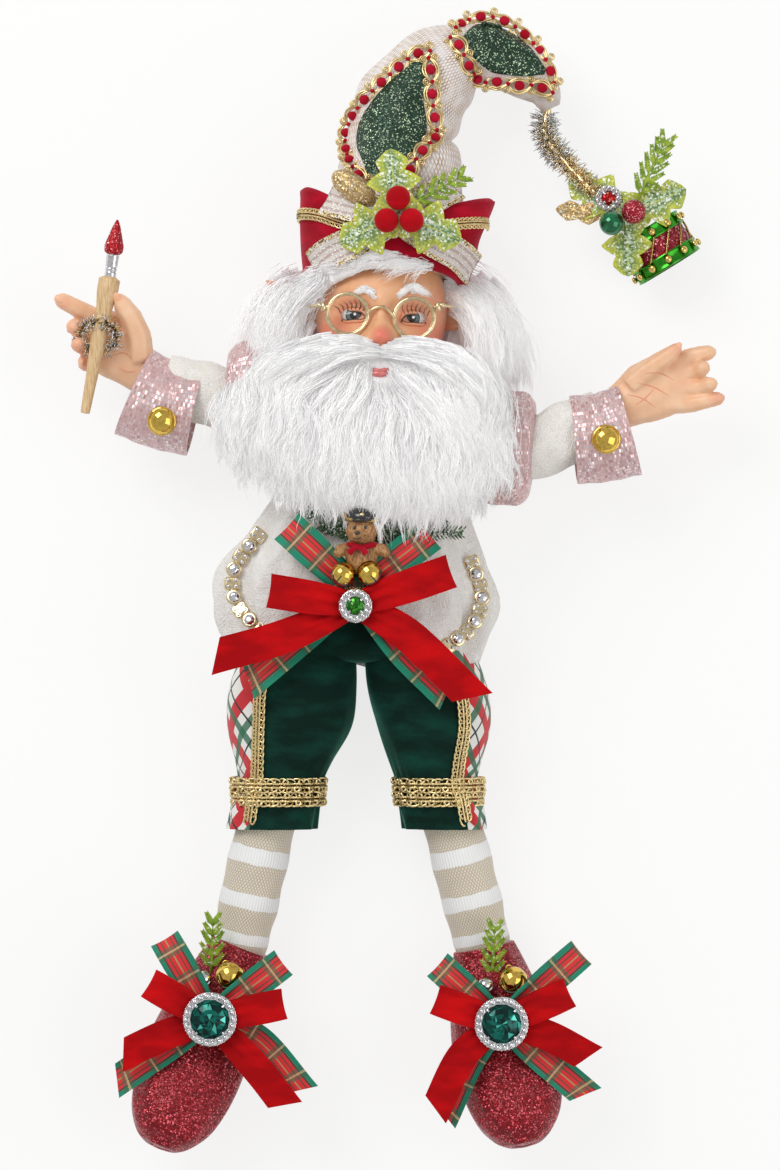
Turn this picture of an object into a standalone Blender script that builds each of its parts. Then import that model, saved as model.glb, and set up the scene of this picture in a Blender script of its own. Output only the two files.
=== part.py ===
"""A poseable cloth-bodied elf figurine, lying on its back as it comes to rest.

Lengths are in millimetres until a mesh is made, which turns them into metres.
+Y runs from the shoes to the hat, +X to the right seen from the front, and +Z up from the floor.
The origin is on the flat of the coat's back, below the bow at the waist.
"""

import math

import bmesh
import bpy
import numpy as np
from mathutils import Matrix, Vector

MM = 0.001

# General clearances
GAP = 0.45
LEAST_CUT = 0.05
LEAST_LEFT = 0.2
SLIVER = 0.2

# Body
BODY_HEIGHT = 28.0
BACK_PRESSED = 6.0
CHEST_DEPTH = 26.0
COAT_WALL = 2.6
TORSO_WIDTH = 58.0
TORSO_DEPTH = 40.0
BODY_MIDLINE = -13.5
HEM_Y = -36.0
NOTCH_HALF_WIDTH = 31.0

# Head
HEAD_CENTRE = (-4.0, 121.0, 37.5)
HEAD_RADII = (29.0, 37.0, 31.0)
HEAD_TILT_DEG = -4.0
NOSE_RADIUS = 5.2
EYE_LINE = -2.6
EYE_SPACING = 28.8

# Spectacles
RIM_RADIUS = 8.9
RIM_WIRE = 0.75
RIM_STANDOFF = 3.0

# Hat
HAT_BASE_RADIUS = 31.0
BRIM_WALL = 3.2
BRIM_FRONT_TOP = 161.0
BRIM_BOTTOM = 131.0
BRIM_TILT = 9.0
BRIM_LEFT_PEAK = 13.0
BRIM_RIGHT_PEAK = 8.5
BERRY_RADIUS = 5.3

# Ribbons
VELVET_WIDTH = 15.0
PLAID_WIDTH = 15.5
SHEER_WIDTH = 14.0
RIBBON_THICKNESS = 0.9
SHOE_RIBBON_WIDTH = 13.5
KNOT_SIZE = 9.0
KNOT_HALF_HEIGHT = 2.9
LOOP_RISE = 4.0

# Jewels and bells
STONE_RADIUS = 9.0
SETTING_RADIUS = 11.8
WAIST_SETTING_RADIUS = 7.4
ORNAMENT_SETTING_RADIUS = 5.8
SETTING_THICKNESS = 2.6
WAIST_BELL_RADIUS = 5.3
SHOE_BELL_RADIUS = 6.2
SHOE_BEAD_RADIUS = 3.6
BALL_RADIUS = 5.4
CUFF_BUTTON_RADIUS = 6.0

# Limbs
SLEEVE_RADIUS = 12.5
WRIST_RADIUS = 8.5
CUFF_WALL = 1.8
CUFF_MOUTH_RADIUS = 18.0
STOCKING_RADIUS = 13.2
SHOE_HALF_WIDTH = 22.0
SHOE_DEPTH = 17.0
TOE_LIFT = 24.0

# Paintbrush
BRUSH_LENGTH = 61.0
BRUSH_TOP_RADIUS = 4.7
BRUSH_FOOT_RADIUS = 2.1
FERRULE_RADIUS = 2.8
FERRULE_LENGTH = 9.5
BRISTLE_RADIUS = 4.1
BRISTLE_LENGTH = 15.5

# Drum ornament
DRUM_RADIUS = 15.4
DRUM_HEIGHT = 20.0
HOOP_HEIGHT = 6.0
TINSEL_RADIUS = 3.4

WAYS = (("EXACT", False), ("EXACT", True), ("MANIFOLD", False))
LIGHTENED = {
    "beard": 0.68,
    "wig": 0.5,
    "velvet_breeches": 0.7,
    "left_cuff": 0.7,
    "plaid_waist_bow": 0.7,
    "left_shoe_plaid_bow": 0.75,
    "right_shoe_plaid_bow": 0.75,
}
MADE = {}


def start_clean():
    """Removes whatever the scene held."""
    for thing in list(bpy.data.objects):
        bpy.data.objects.remove(thing, do_unlink=True)


def finish_of(name, colour, roughness, metallic=0.0):
    """A plain material, shared by the pieces that are made of it."""
    material = bpy.data.materials.get(name) or bpy.data.materials.new(name)
    material.use_nodes = True
    shader = material.node_tree.nodes["Principled BSDF"]
    shader.inputs["Base Color"].default_value = (*colour, 1.0)
    shader.inputs["Roughness"].default_value = roughness
    shader.inputs["Metallic"].default_value = metallic
    return material


FINISHES = {
    "skin": ((0.80, 0.52, 0.38), 0.45, 0.0),
    "white_fur": ((0.93, 0.93, 0.95), 0.9, 0.0),
    "white_plush": ((0.88, 0.86, 0.82), 0.85, 0.0),
    "pink_sequin": ((0.72, 0.52, 0.50), 0.4, 0.3),
    "green_velvet": ((0.01, 0.12, 0.08), 0.7, 0.0),
    "red_velvet": ((0.62, 0.01, 0.02), 0.8, 0.0),
    "plaid_ribbon": ((0.45, 0.08, 0.06), 0.6, 0.0),
    "sheer_ribbon": ((0.70, 0.58, 0.52), 0.5, 0.2),
    "hat_mesh": ((0.75, 0.66, 0.55), 0.5, 0.3),
    "stocking_mesh": ((0.85, 0.80, 0.72), 0.6, 0.1),
    "red_glitter": ((0.42, 0.01, 0.04), 0.4, 0.3),
    "gold": ((0.83, 0.60, 0.16), 0.2, 1.0),
    "silver": ((0.80, 0.80, 0.82), 0.2, 1.0),
    "gold_glitter": ((0.66, 0.48, 0.20), 0.4, 0.6),
    "holly": ((0.40, 0.50, 0.10), 0.6, 0.0),
    "pine": ((0.08, 0.17, 0.08), 0.7, 0.0),
    "berry": ((0.55, 0.01, 0.02), 0.15, 0.0),
    "green_stone": ((0.01, 0.16, 0.10), 0.05, 0.0),
    "green_metal": ((0.02, 0.30, 0.08), 0.15, 0.6),
    "tinsel": ((0.72, 0.50, 0.22), 0.25, 0.9),
    "wood": ((0.76, 0.58, 0.34), 0.55, 0.0),
    "bear": ((0.42, 0.22, 0.09), 0.6, 0.0),
}


def keep(name, thing, finish):
    """Names a finished piece, gives it its material and lists it."""
    thing.name = name
    thing.data.name = name
    thing.data.materials.clear()
    thing.data.materials.append(finish_of(finish, *FINISHES[finish]))
    thing.data.shade_smooth()
    thing.data.set_sharp_from_angle(angle=math.radians(40))
    MADE[name] = thing
    return thing


def object_from(points, faces):
    """A mesh object from points in millimetres, with its faces turned outwards."""
    mesh = bpy.data.meshes.new("shape")
    mesh.from_pydata([Vector(p) * MM for p in points], [], faces)
    shape = bmesh.new()
    shape.from_mesh(mesh)
    bmesh.ops.recalc_face_normals(shape, faces=shape.faces)
    shape.to_mesh(mesh)
    shape.free()
    thing = bpy.data.objects.new("shape", mesh)
    bpy.context.scene.collection.objects.link(thing)
    return thing


def spline(rows, count):
    """A smooth curve through the control rows, read at count even steps."""
    rows = np.array(rows, float)
    padded = np.vstack([2 * rows[0] - rows[1], rows, 2 * rows[-1] - rows[-2]])
    at = np.linspace(0, len(rows) - 1, count)
    low = np.minimum(at.astype(int), len(rows) - 2)
    t = (at - low)[:, None]
    a, b, c, d = (padded[low + step] for step in range(4))
    return 0.5 * (2 * b + (c - a) * t + (2 * a - 5 * b + 4 * c - d) * t**2 + (3 * b - a - 3 * c + d) * t**3)


def unit(vectors):
    return vectors / np.maximum(np.linalg.norm(vectors, axis=-1, keepdims=True), 1e-9)


def skin_of(rings):
    """Faces of a closed skin over rings of points, capped at both ends."""
    count, sides = rings.shape[:2]
    faces = []
    for row in range(count - 1):
        for side in range(sides):
            low, high = row * sides + side, row * sides + (side + 1) % sides
            faces.append((low, high, high + sides, low + sides))
    faces.append(tuple(range(sides)))
    faces.append(tuple(range((count - 1) * sides, count * sides)))
    return faces


def loft(stations, sides, rings, floor=None, lobes=0, lobe_depth=0.0, sway=0.0, upright=False):
    """A closed skin over ellipses along a path.

    Each station is (x, y, z, half width, depth towards the front, depth towards the back).
    Lobes flute the skin, and sway makes the flutes wander from side to side along the path.
    Upright sections stay square to +Y, so that wide ones don't cross where the path leans.
    """
    rows = spline(stations, rings)
    centre = rows[:, :3]
    along = unit(np.gradient(centre, axis=0))
    if upright:
        along = along * 0 + np.sign(along[:, 1:2]) * np.array([0.0, 1.0, 0.0])
    up = np.array([0.0, 0.0, 1.0])
    front = unit(up - along * (along @ up)[:, None])
    across = np.cross(along, front)
    angle = np.linspace(0, 2 * math.pi, sides, endpoint=False)
    wander = sway * np.sin(np.linspace(0, 2 * math.pi, rings))[:, None]
    wave = 1 + lobe_depth * np.cos(lobes * (angle + wander))
    radii = np.maximum(rows[:, 3:], 0.2)
    wide = radii[:, :1] * np.cos(angle) * wave
    deep = np.where(np.sin(angle) > 0, radii[:, 1:2], radii[:, 2:3]) * np.sin(angle) * wave
    points = centre[:, None] + across[:, None] * wide[..., None] + front[:, None] * deep[..., None]
    if floor is not None:
        points[..., 2] = np.maximum(points[..., 2], floor)
    return object_from(points.reshape(-1, 3), skin_of(points))


def ball(centre, radii, segments=12, rings=8, turn_deg=0.0):
    """An ellipsoid, turned about +Z."""
    shape = bmesh.new()
    bmesh.ops.create_uvsphere(shape, u_segments=segments, v_segments=rings, radius=MM)
    radii = (radii,) * 3 if np.isscalar(radii) else radii
    place = Matrix.Translation(Vector(centre) * MM) @ Matrix.Rotation(math.radians(turn_deg), 4, "Z")
    bmesh.ops.transform(shape, matrix=place @ Matrix.Diagonal((*radii, 1.0)), verts=shape.verts)
    mesh = bpy.data.meshes.new("ball")
    shape.to_mesh(mesh)
    shape.free()
    thing = bpy.data.objects.new("ball", mesh)
    bpy.context.scene.collection.objects.link(thing)
    return thing


def turned(profile, base, along, sides):
    """A solid turned from (distance along the axis, radius) pairs; a radius of 0 closes it on the axis."""
    along = Vector(along).normalized()
    one = along.orthogonal().normalized()
    two = along.cross(one)
    rings = []
    for reach, radius in profile:
        turn = [2 * math.pi * k / sides for k in range(sides)]
        middle, radius = Vector(base) + along * reach, max(radius, 0.15)
        rings.append([tuple(middle + (one * math.cos(a) + two * math.sin(a)) * radius) for a in turn])
    rings = np.array(rings)
    return object_from(rings.reshape(-1, 3), skin_of(rings))


def strap(path, sides, width, thickness, slant=0.0):
    """A flat ribbon along a path. sides are the directions of its width, and slant cuts its far end askew."""
    path = np.array(path, float)
    sides = unit(np.broadcast_to(np.array(sides, float), path.shape))
    along = unit(np.gradient(path, axis=0))
    sides = unit(sides - along * (sides * along).sum(1, keepdims=True))
    normal = np.cross(along, sides)
    half, thick = width / 2, thickness / 2
    corners = []
    for across, through in ((-1, -1), (1, -1), (1, 1), (-1, 1)):
        lean = np.zeros_like(path)
        lean[-1] = along[-1] * slant * across
        corners.append(path + sides * half * across + normal * thick * through + lean)
    rings = np.stack(corners, axis=1)
    return object_from(rings.reshape(-1, 3), skin_of(rings))


def plate(outline, crown, thickness, fold=0.0):
    """A leaf: an outline in its own plane, thick in z, raised along its rib and drooping by crown."""
    outline = np.array(outline, float)
    shape = bmesh.new()
    half = thickness / 2

    def height(x, y):
        return -crown * x * x - fold * abs(y)

    length = outline[:, 0].max()
    rib = [(length * share, 0.0) for share in (0.03, 0.3, 0.6, 0.85)]
    tops, bottoms = [], []
    for x, y in outline:
        tops.append(shape.verts.new(Vector((x, y, height(x, y) + half)) * MM))
        bottoms.append(shape.verts.new(Vector((x, y, height(x, y) - half)) * MM))
    top_rib = [shape.verts.new(Vector((x, y, height(x, y) + half * 1.6)) * MM) for x, y in rib]
    low_rib = [shape.verts.new(Vector((x, y, height(x, y) - half)) * MM) for x, y in rib]
    count = len(outline)

    def nearest(k):
        middle = (outline[k, 0] + outline[(k + 1) % count, 0]) / 2
        return min(range(len(rib)), key=lambda r: abs(rib[r][0] - middle))

    for edge, spine, flip in ((tops, top_rib, False), (bottoms, low_rib, True)):
        for k in range(count):
            a, b = edge[k], edge[(k + 1) % count]
            here, there = spine[nearest(k)], spine[nearest((k + 1) % count)]
            corner = (a, b, here)
            shape.faces.new(corner[::-1] if flip else corner)
            if here is not there:
                corner = (b, there, here)
                shape.faces.new(corner[::-1] if flip else corner)
    for k in range(count):
        after = (k + 1) % count
        shape.faces.new((tops[k], bottoms[k], bottoms[after], tops[after]))
    bmesh.ops.recalc_face_normals(shape, faces=shape.faces)
    mesh = bpy.data.meshes.new("leaf")
    shape.to_mesh(mesh)
    shape.free()
    thing = bpy.data.objects.new("leaf", mesh)
    bpy.context.scene.collection.objects.link(thing)
    return thing


def moved(thing, place):
    """Applies a placing matrix whose shift is in millimetres."""
    place = place.copy()
    place.translation = place.translation * MM
    thing.data.transform(place)
    return thing


def volume_of(mesh):
    """The volume a mesh encloses in cubic millimetres, or nothing where it isn't closed."""
    shape = bmesh.new()
    shape.from_mesh(mesh)
    whole = len(shape.faces) > 3 and all(len(edge.link_faces) == 2 for edge in shape.edges)
    volume = shape.calc_volume(signed=True) / MM**3 if whole else None
    shape.free()
    return volume


def combine(target, tool, operation, ways=WAYS):
    """Joins or cuts one solid with another and keeps the result as a plain mesh.

    Walls that cross themselves can mislead the exact way, so the volume it leaves is looked at.
    """
    first, second = volume_of(target.data), volume_of(tool.data)
    joining = operation == "UNION"
    least, most = first * LEAST_LEFT, first * 1.02
    if joining:
        least, most = max(first, second) * 0.98, (first + second) * 1.02
    for solver, crossing in ways:
        modifier = target.modifiers.new(operation.lower(), "BOOLEAN")
        modifier.operation = operation
        modifier.object = tool
        modifier.solver = solver
        modifier.use_self = crossing
        bpy.context.view_layer.update()
        graph = bpy.context.evaluated_depsgraph_get()
        made = bpy.data.meshes.new_from_object(target.evaluated_get(graph))
        target.modifiers.clear()
        volume = volume_of(made) or 0.0
        if least <= volume <= most and (joining or crossing or abs(first - volume) > LEAST_CUT):
            break
    target.data = made
    bpy.data.objects.remove(tool, do_unlink=True)
    return target


def join(first, *others):
    """One solid from several that overlap."""
    for other in others:
        combine(first, other, "UNION")
    return first


def swollen(thing, by):
    """A copy of a solid with every wall moved out by the clearance."""
    copy = bpy.data.objects.new("swollen", thing.data.copy())
    bpy.context.scene.collection.objects.link(copy)
    for sliver in (SLIVER if by > SLIVER else 0.0, 0.0):
        shape = bmesh.new()
        shape.from_mesh(thing.data)
        if sliver:
            bmesh.ops.dissolve_degenerate(shape, edges=shape.edges, dist=sliver * MM)
        shape.normal_update()
        shifts = [vertex.normal * by * MM * min(vertex.calc_shell_factor(), 1.8) for vertex in shape.verts]
        for vertex, shift in zip(shape.verts, shifts):
            vertex.co += shift
        shape.to_mesh(copy.data)
        shape.free()
        if volume_of(copy.data):
            break
    return copy


def largest_island(thing):
    """Drops the crumbs that a cut leaves and keeps the biggest piece."""
    shape = bmesh.new()
    shape.from_mesh(thing.data)
    waiting = set(shape.faces)
    islands = []
    while waiting:
        seed = waiting.pop()
        island, edge = {seed}, [seed]
        while edge:
            for link in edge.pop().edges:
                for face in link.link_faces:
                    if face in waiting:
                        waiting.discard(face)
                        island.add(face)
                        edge.append(face)
        islands.append(island)
    biggest = max(islands, key=lambda island: sum(face.calc_area() for face in island))
    bmesh.ops.delete(shape, geom=[face for face in shape.faces if face not in biggest], context="FACES")
    shape.to_mesh(thing.data)
    bmesh.ops.dissolve_degenerate(shape, edges=shape.edges, dist=0.25 * SLIVER * MM)
    cleaner = thing.data.copy()
    shape.to_mesh(cleaner)
    shape.free()
    if volume_of(cleaner):
        thing.data = cleaner
    return thing


def boxes_meet(one, other):
    """Whether the boxes of two solids overlap, so that a cut is worth making."""
    spans = []
    for thing in (one, other):
        spots = np.empty(len(thing.data.vertices) * 3)
        thing.data.vertices.foreach_get("co", spots)
        spots = spots.reshape(-1, 3)
        spans.append((spots.min(0), spots.max(0)))
    (low, high), (other_low, other_high) = spans
    return bool(((low < other_high) & (other_low < high)).all())


def seat(name, *carriers, clear=GAP):
    """Cuts a piece back so that it lies the clearance away from what carries it.

    Locks of hair cross one another so closely that the exact way leaves slivers of them behind.
    """
    hairy = "beard" in (name, *carriers)
    for carrier in carriers:
        tool = swollen(MADE[carrier], clear)
        if not boxes_meet(MADE[name], tool):
            bpy.data.objects.remove(tool, do_unlink=True)
            continue
        before = MADE[name].data
        combine(MADE[name], tool, "DIFFERENCE", WAYS[::-1] if hairy else WAYS)
        largest_island(MADE[name])
        if abs(volume_of(before) - volume_of(MADE[name].data)) < LEAST_CUT:
            MADE[name].data = before


# Cloth body and coat

def coat_stations():
    """The coat from the neck to its flared hem, its back pressed flat where the figure lies on it."""
    front, back = CHEST_DEPTH, BODY_HEIGHT + BACK_PRESSED
    edges = (
        (91.0, -24.0, 15.0, 0.62),
        (84.0, -44.0, 34.0, 0.86),
        (66.0, -46.0, 35.0, 1.0),
        (41.0, -51.0, 34.0, 1.0),
        (25.0, -61.0, 35.5, 1.0),
        (8.0, -74.0, 41.0, 1.04),
        (-10.0, -75.0, 46.0, 1.08),
        (-24.0, -70.0, 43.0, 1.06),
        (HEM_Y, -65.0, 38.0, 1.0),
    )
    return [((l + r) / 2, y, BODY_HEIGHT, (r - l) / 2, front * k, back) for y, l, r, k in edges]


def coat_height(x, y):
    """How high the coat's front stands over a place on it."""
    edges = sorted(coat_stations(), key=lambda row: row[1])
    levels = [row[1] for row in edges]
    middle, half, front = (np.interp(y, levels, [row[k] for row in edges]) for k in (0, 3, 4))
    share = min(abs(x - middle) / half, 0.99)
    return BODY_HEIGHT + front * math.sqrt(1 - share**2)


def make_torso():
    half, front = TORSO_WIDTH / 2, TORSO_DEPTH / 2
    stations = (
        (-6, 90, BODY_HEIGHT + 4, half * 0.34, front * 0.5, front * 0.5),
        (-8, 80, BODY_HEIGHT, half * 0.92, front * 0.85, front * 0.85),
        (-11, 50, BODY_HEIGHT, half, front, front),
        (BODY_MIDLINE, 10, BODY_HEIGHT, half * 0.92, front, front),
        (BODY_MIDLINE, -14, BODY_HEIGHT, half * 0.96, front * 0.95, front * 0.95),
    )
    keep("stuffed_torso", loft(stations, 12, 6, upright=True), "white_plush")


def make_coat():
    outer = loft(coat_stations(), 20, 9, floor=0.0, upright=True)
    inner_rows = []
    for x, y, z, half, front, back in coat_stations()[1:]:
        inner_rows.append((x, y, z, half - COAT_WALL, front - COAT_WALL, back - COAT_WALL))
    x, y, z, half, front, back = inner_rows[-1]
    inner_rows[0] = (*inner_rows[0][:3], inner_rows[0][3] * 0.7, *inner_rows[0][4:])
    inner_rows.append((x, y - 12, z, half, front, back))
    coat = combine(outer, loft(inner_rows, 16, 8, floor=COAT_WALL, upright=True), "DIFFERENCE")
    corner = -1.0
    foot_y = HEM_Y - 10
    notch = [(BODY_MIDLINE, corner)]
    notch += [(BODY_MIDLINE - NOTCH_HALF_WIDTH * 1.45, foot_y), (BODY_MIDLINE + NOTCH_HALF_WIDTH * 1.1, foot_y)]
    low = [(x, y, BODY_HEIGHT) for x, y in notch]
    high = [(x, y, BODY_HEIGHT + 2 * CHEST_DEPTH) for x, y in notch]
    wedge = object_from(low + high, [(0, 1, 2), (3, 4, 5), (0, 1, 4, 3), (1, 2, 5, 4), (2, 0, 3, 5)])
    keep("plush_coat", combine(coat, wedge, "DIFFERENCE"), "white_plush")


def make_jewelled_trim(name, path, boss_radius):
    """A gold chain of flower bosses on the coat's skirt, a boss at every step of its route."""
    rows = spline([(x, y, coat_height(x, y) + 0.6) for x, y in path], 5)
    chain = loft([(*row, boss_radius * 0.5, boss_radius * 0.5, boss_radius * 0.5) for row in rows], 5, 6)
    for row in rows:
        outward = Vector((row[0] - BODY_MIDLINE, 0, row[2] - BODY_HEIGHT))
        profile = ((-1.2, boss_radius * 0.8), (0.4, boss_radius), (1.6, boss_radius * 0.5))
        join(chain, turned(profile, row, outward, 6))
    keep(name, chain, "gold")


def make_breeches():
    pelvis = (
        (BODY_MIDLINE, -12, 26, 33, 22, 22),
        (BODY_MIDLINE, -22, 26, 45, 23, 23),
        (BODY_MIDLINE, -34, 26, 51, 23, 24),
        (BODY_MIDLINE, -44, 26, 50, 19, 20),
    )
    left = (
        (-38, -26, 26, 22, 21, 23),
        (-42.5, -44, 26, 28, 23, 24.5),
        (-44, -62, 25, 27.5, 22, 23.5),
        (-47, -78, 24, 21.5, 19.5, 21),
        (-49, -88, 23, 18.5, 17.5, 19),
        (-50.5, -95, 22.5, 19.5, 18, 20),
        (-52, -108, 21.5, 20, 18, 20),
    )
    right = (
        (11, -26, 26, 22, 21, 23),
        (16.5, -44, 26, 26.5, 23, 24.5),
        (19.8, -62, 25, 25, 22, 23.5),
        (20, -78, 24, 20.5, 19.5, 21),
        (20.5, -88, 23, 17.6, 17, 19),
        (22, -95, 22.5, 18.6, 17.5, 20),
        (24.5, -108, 21.5, 18.6, 17.5, 20),
    )
    body = loft(pelvis, 14, 3, floor=1.0, upright=True)
    for rows in (left, right):
        join(body, loft(rows, 12, 10, floor=1.0, upright=True))
    for rows in (left, right):
        x, y, z, half, front, back = rows[4]
        band = [(x + 0.3 * step, y - step, z, half + 1.4, front + 1.4, back + 1.4) for step in (-4.5, 4.5)]
        join(body, loft(band, 12, 2, floor=0.4, upright=True))
    keep("velvet_breeches", body, "green_velvet")


# Legs and feet

LEGS = {
    "left": {"knee": (-53.0, -97.0, 22.0), "ankle": (-68.5, -167.0, 18.0), "toe": (-101.5, -247.0)},
    "right": {"knee": (25.5, -97.0, 22.0), "ankle": (43.0, -167.0, 18.0), "toe": (59.0, -246.0)},
}


def make_stocking(side):
    knee, ankle = np.array(LEGS[side]["knee"]), np.array(LEGS[side]["ankle"])
    radius = STOCKING_RADIUS
    rows = []
    for share, swell in ((0.0, 0.96), (0.3, 1.0), (0.6, 1.0), (0.85, 0.94), (1.0, 0.88)):
        rows.append((*(knee + (ankle - knee) * share), *(radius * swell,) * 3))
    keep(side + "_stocking", loft(rows, 14, 5), "stocking_mesh")


def shoe_stations(side):
    """The shoe from its throat at the ankle to its rounded toe, heel on the floor."""
    ankle, toe = LEGS[side]["ankle"], LEGS[side]["toe"]
    half, deep = SHOE_HALF_WIDTH, SHOE_DEPTH
    rows = []
    stages = (
        (-0.08, 0.5, 0.62, 0.80, 0.85),
        (0.06, 0.5, 0.76, 0.95, 1.0),
        (0.24, 0.9, 0.92, 1.06, 1.05),
        (0.45, 4.5, 1.02, 1.02, 1.0),
        (0.66, 11.0, 1.02, 0.96, 0.92),
        (0.84, 18.0, 0.88, 0.82, 0.80),
        (0.95, 22.0, 0.60, 0.62, 0.62),
        (1.0, TOE_LIFT, 0.24, 0.26, 0.26),
    )
    for share, lift, wide, front, back in stages:
        x = ankle[0] + (toe[0] - ankle[0]) * share
        y = ankle[1] + (toe[1] - ankle[1]) * share
        z = ankle[2] + lift * TOE_LIFT / 24.0
        rows.append((x, y, z, half * wide, deep * front, deep * back))
    return rows


def make_shoe(side):
    keep(side + "_shoe", loft(shoe_stations(side), 16, 11, floor=0.0), "red_glitter")


# Ribbon bows

LOOP_ROUTE = (
    (0.04, 0.25),
    (0.35, 0.85),
    (0.75, 1.0),
    (0.98, 0.45),
    (0.95, -0.25),
    (0.7, -0.6),
    (0.35, -0.5),
    (0.04, -0.2),
)


def bow(centre, loops, tails, width):
    """A tied bow: loops that open towards the viewer, tails cut askew, and the knot that holds them.

    A loop is the place of its tip, and a tail a list of points and the slant of its cut end.
    """
    x, y, z = centre
    block = ball((x, y, z), (KNOT_SIZE * 0.62, KNOT_SIZE * 0.72, KNOT_HALF_HEIGHT), 8, 4)
    for tip_x, tip_y in loops:
        reach = np.array([tip_x - x, tip_y - y, 0.0])
        side = (-reach[1], reach[0], 0.0)
        path = [np.array(centre) + reach * share + np.array([0, 0, LOOP_RISE * lift]) for share, lift in LOOP_ROUTE]
        combine(block, strap(spline(path, 8), side, width, RIBBON_THICKNESS), "UNION")
    for points, slant in tails:
        path = spline([centre] + points, 5)
        along = np.gradient(path, axis=0)
        side = np.stack([-along[:, 1], along[:, 0], np.zeros(len(path))], axis=1)
        combine(block, strap(path, side, width, RIBBON_THICKNESS, slant), "UNION")
    return block


WAIST = (-15.0, -8.5)
PLAID_Z = 59.5
VELVET_Z = 65.5


def make_waist_bows():
    x, y = WAIST
    plaid = bow(
        (x, y + 6, PLAID_Z),
        [(-45.0, 25.5), (17.5, 22.0)],
        [([(-36, -20, 59), (-62, -42, 56.5)], 3.0), ([(6, -28, 60), (25, -47, 57.5)], -3.0)],
        PLAID_WIDTH,
    )
    keep("plaid_waist_bow", plaid, "plaid_ribbon")
    velvet = bow(
        (x, y, VELVET_Z),
        [(-52.5, -2.5), (26.5, 6.0)],
        [([(-45, -22, 65.5), (-76, -31, 63.5)], 4.0), ([(8, -22, 67), (36, -49, 65)], 5.0)],
        VELVET_WIDTH,
    )
    keep("velvet_waist_bow", velvet, "red_velvet")


SHOE_BOWS = {
    "left": {
        "centre": (-78.8, -190.0),
        "velvet": ([(-105.5, -174.5), (-46.5, -183.5)], [[(-98, -197), (-117, -206)], [(-60, -210), (-46, -228)]]),
        "plaid": ([(-99.0, -155.5), (-47.0, -166.0)], [[(-98, -203), (-120, -218)], [(-58, -200), (-39, -222)]]),
        "bell": (-70.6, -172.0),
        "bead": (-82.0, -173.5),
    },
    "right": {
        "centre": (48.8, -192.0),
        "velvet": ([(20.0, -181.5), (78.5, -178.5)], [[(32, -206), (20, -230)], [(68, -197), (87, -207)]]),
        "plaid": ([(21.0, -167.0), (84.0, -161.5)], [[(36, -207), (24, -233)], [(66, -207), (86, -224)]]),
        "bell": (54.2, -174.0),
        "bead": (42.0, -176.5),
    },
}
SHOE_PLAID_Z = 45.0
SHOE_VELVET_Z = 51.5


def make_shoe_bows(side):
    place = SHOE_BOWS[side]
    x, y = place["centre"]
    heights = {"plaid": SHOE_PLAID_Z, "velvet": SHOE_VELVET_Z}
    finish = {"plaid": "plaid_ribbon", "velvet": "red_velvet"}
    for kind, z in heights.items():
        tips, tails = place[kind]
        fall = [([(a[0], a[1], z + 0.5), (b[0], b[1], z - 2.0)], 3.5) for a, b in tails]
        made = bow((x, y, z), tips, fall, SHOE_RIBBON_WIDTH)
        if kind == "plaid":
            stem = loft([(x, y, z - 16, 4, 4, 4), (x, y + 0.5, z, 3.5, 3.5, 3.5)], 8, 3)
            join(made, stem)
        keep(f"{side}_shoe_{kind}_bow", made, finish[kind])


# Jewels, bells and beads

def setting(centre, radius, bosses):
    """A cut stone in a ring of small ones, on one flat-backed mount."""
    x, y, z = centre
    outline = []
    for k in range(bosses * 2):
        angle = 2 * math.pi * k / (bosses * 2)
        reach = radius * (1 + 0.04 * math.cos(bosses * angle))
        outline.append((math.cos(angle) * reach, math.sin(angle) * reach))
    inner = STONE_RADIUS / SETTING_RADIUS
    top = SETTING_THICKNESS
    levels = ((0.0, 0.94), (1.0, 1.0), (top, 0.92), (top, inner), (top + radius * 0.16, 0.04))
    rings = np.array([[(x + u * k, y + v * k, z + lift) for u, v in outline] for lift, k in levels])
    return object_from(rings.reshape(-1, 3), skin_of(rings))


def bell(centre, radius, slot_deg):
    """A round bell with its slot and the small eye that ties it on."""
    body = ball(centre, radius, 10, 8)
    angle = math.radians(slot_deg)
    way = Vector((math.cos(angle), math.sin(angle), 0.25)).normalized()
    slot_width, slot_depth = radius * 0.16, radius * 0.5
    middle = Vector(centre) + way * radius
    half = radius * 0.55
    lean = way.orthogonal().normalized()
    thick = way.cross(lean)
    corners = [
        middle + lean * half * a + thick * slot_width * b + way * slot_depth * c
        for a in (-1, 1) for b in (-1, 1) for c in (-1, 1)
    ]
    faces = [(0, 1, 3, 2), (4, 6, 7, 5), (0, 4, 5, 1), (2, 3, 7, 6), (0, 2, 6, 4), (1, 5, 7, 3)]
    return combine(body, object_from(corners, faces), "DIFFERENCE")


def make_waist_trimmings():
    x, y = WAIST
    top = VELVET_Z + KNOT_HALF_HEIGHT + GAP
    keep("waist_jewel", setting((x, y - 0.5, top), WAIST_SETTING_RADIUS, 9), "silver")
    level = PLAID_Z + 8.0
    keep("left_waist_bell", bell((-20.5, 4.6, level), WAIST_BELL_RADIUS, -130), "gold")
    keep("right_waist_bell", bell((-8.9, 4.9, level), WAIST_BELL_RADIUS, -50), "gold")


def make_shoe_trimmings(side):
    place = SHOE_BOWS[side]
    x, y = place["centre"]
    top = SHOE_VELVET_Z + KNOT_HALF_HEIGHT + GAP
    keep(side + "_shoe_jewel", setting((x, y, top), SETTING_RADIUS, 10), "green_stone")
    bx, by = place["bell"]
    keep(side + "_shoe_bell", bell((bx, by, 41.5), SHOE_BELL_RADIUS, 45), "gold")
    sx, sy = place["bead"]
    keep(side + "_shoe_bead", ball((sx, sy, 39.5), SHOE_BEAD_RADIUS, 10, 6), "silver")


# Greenery

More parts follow.
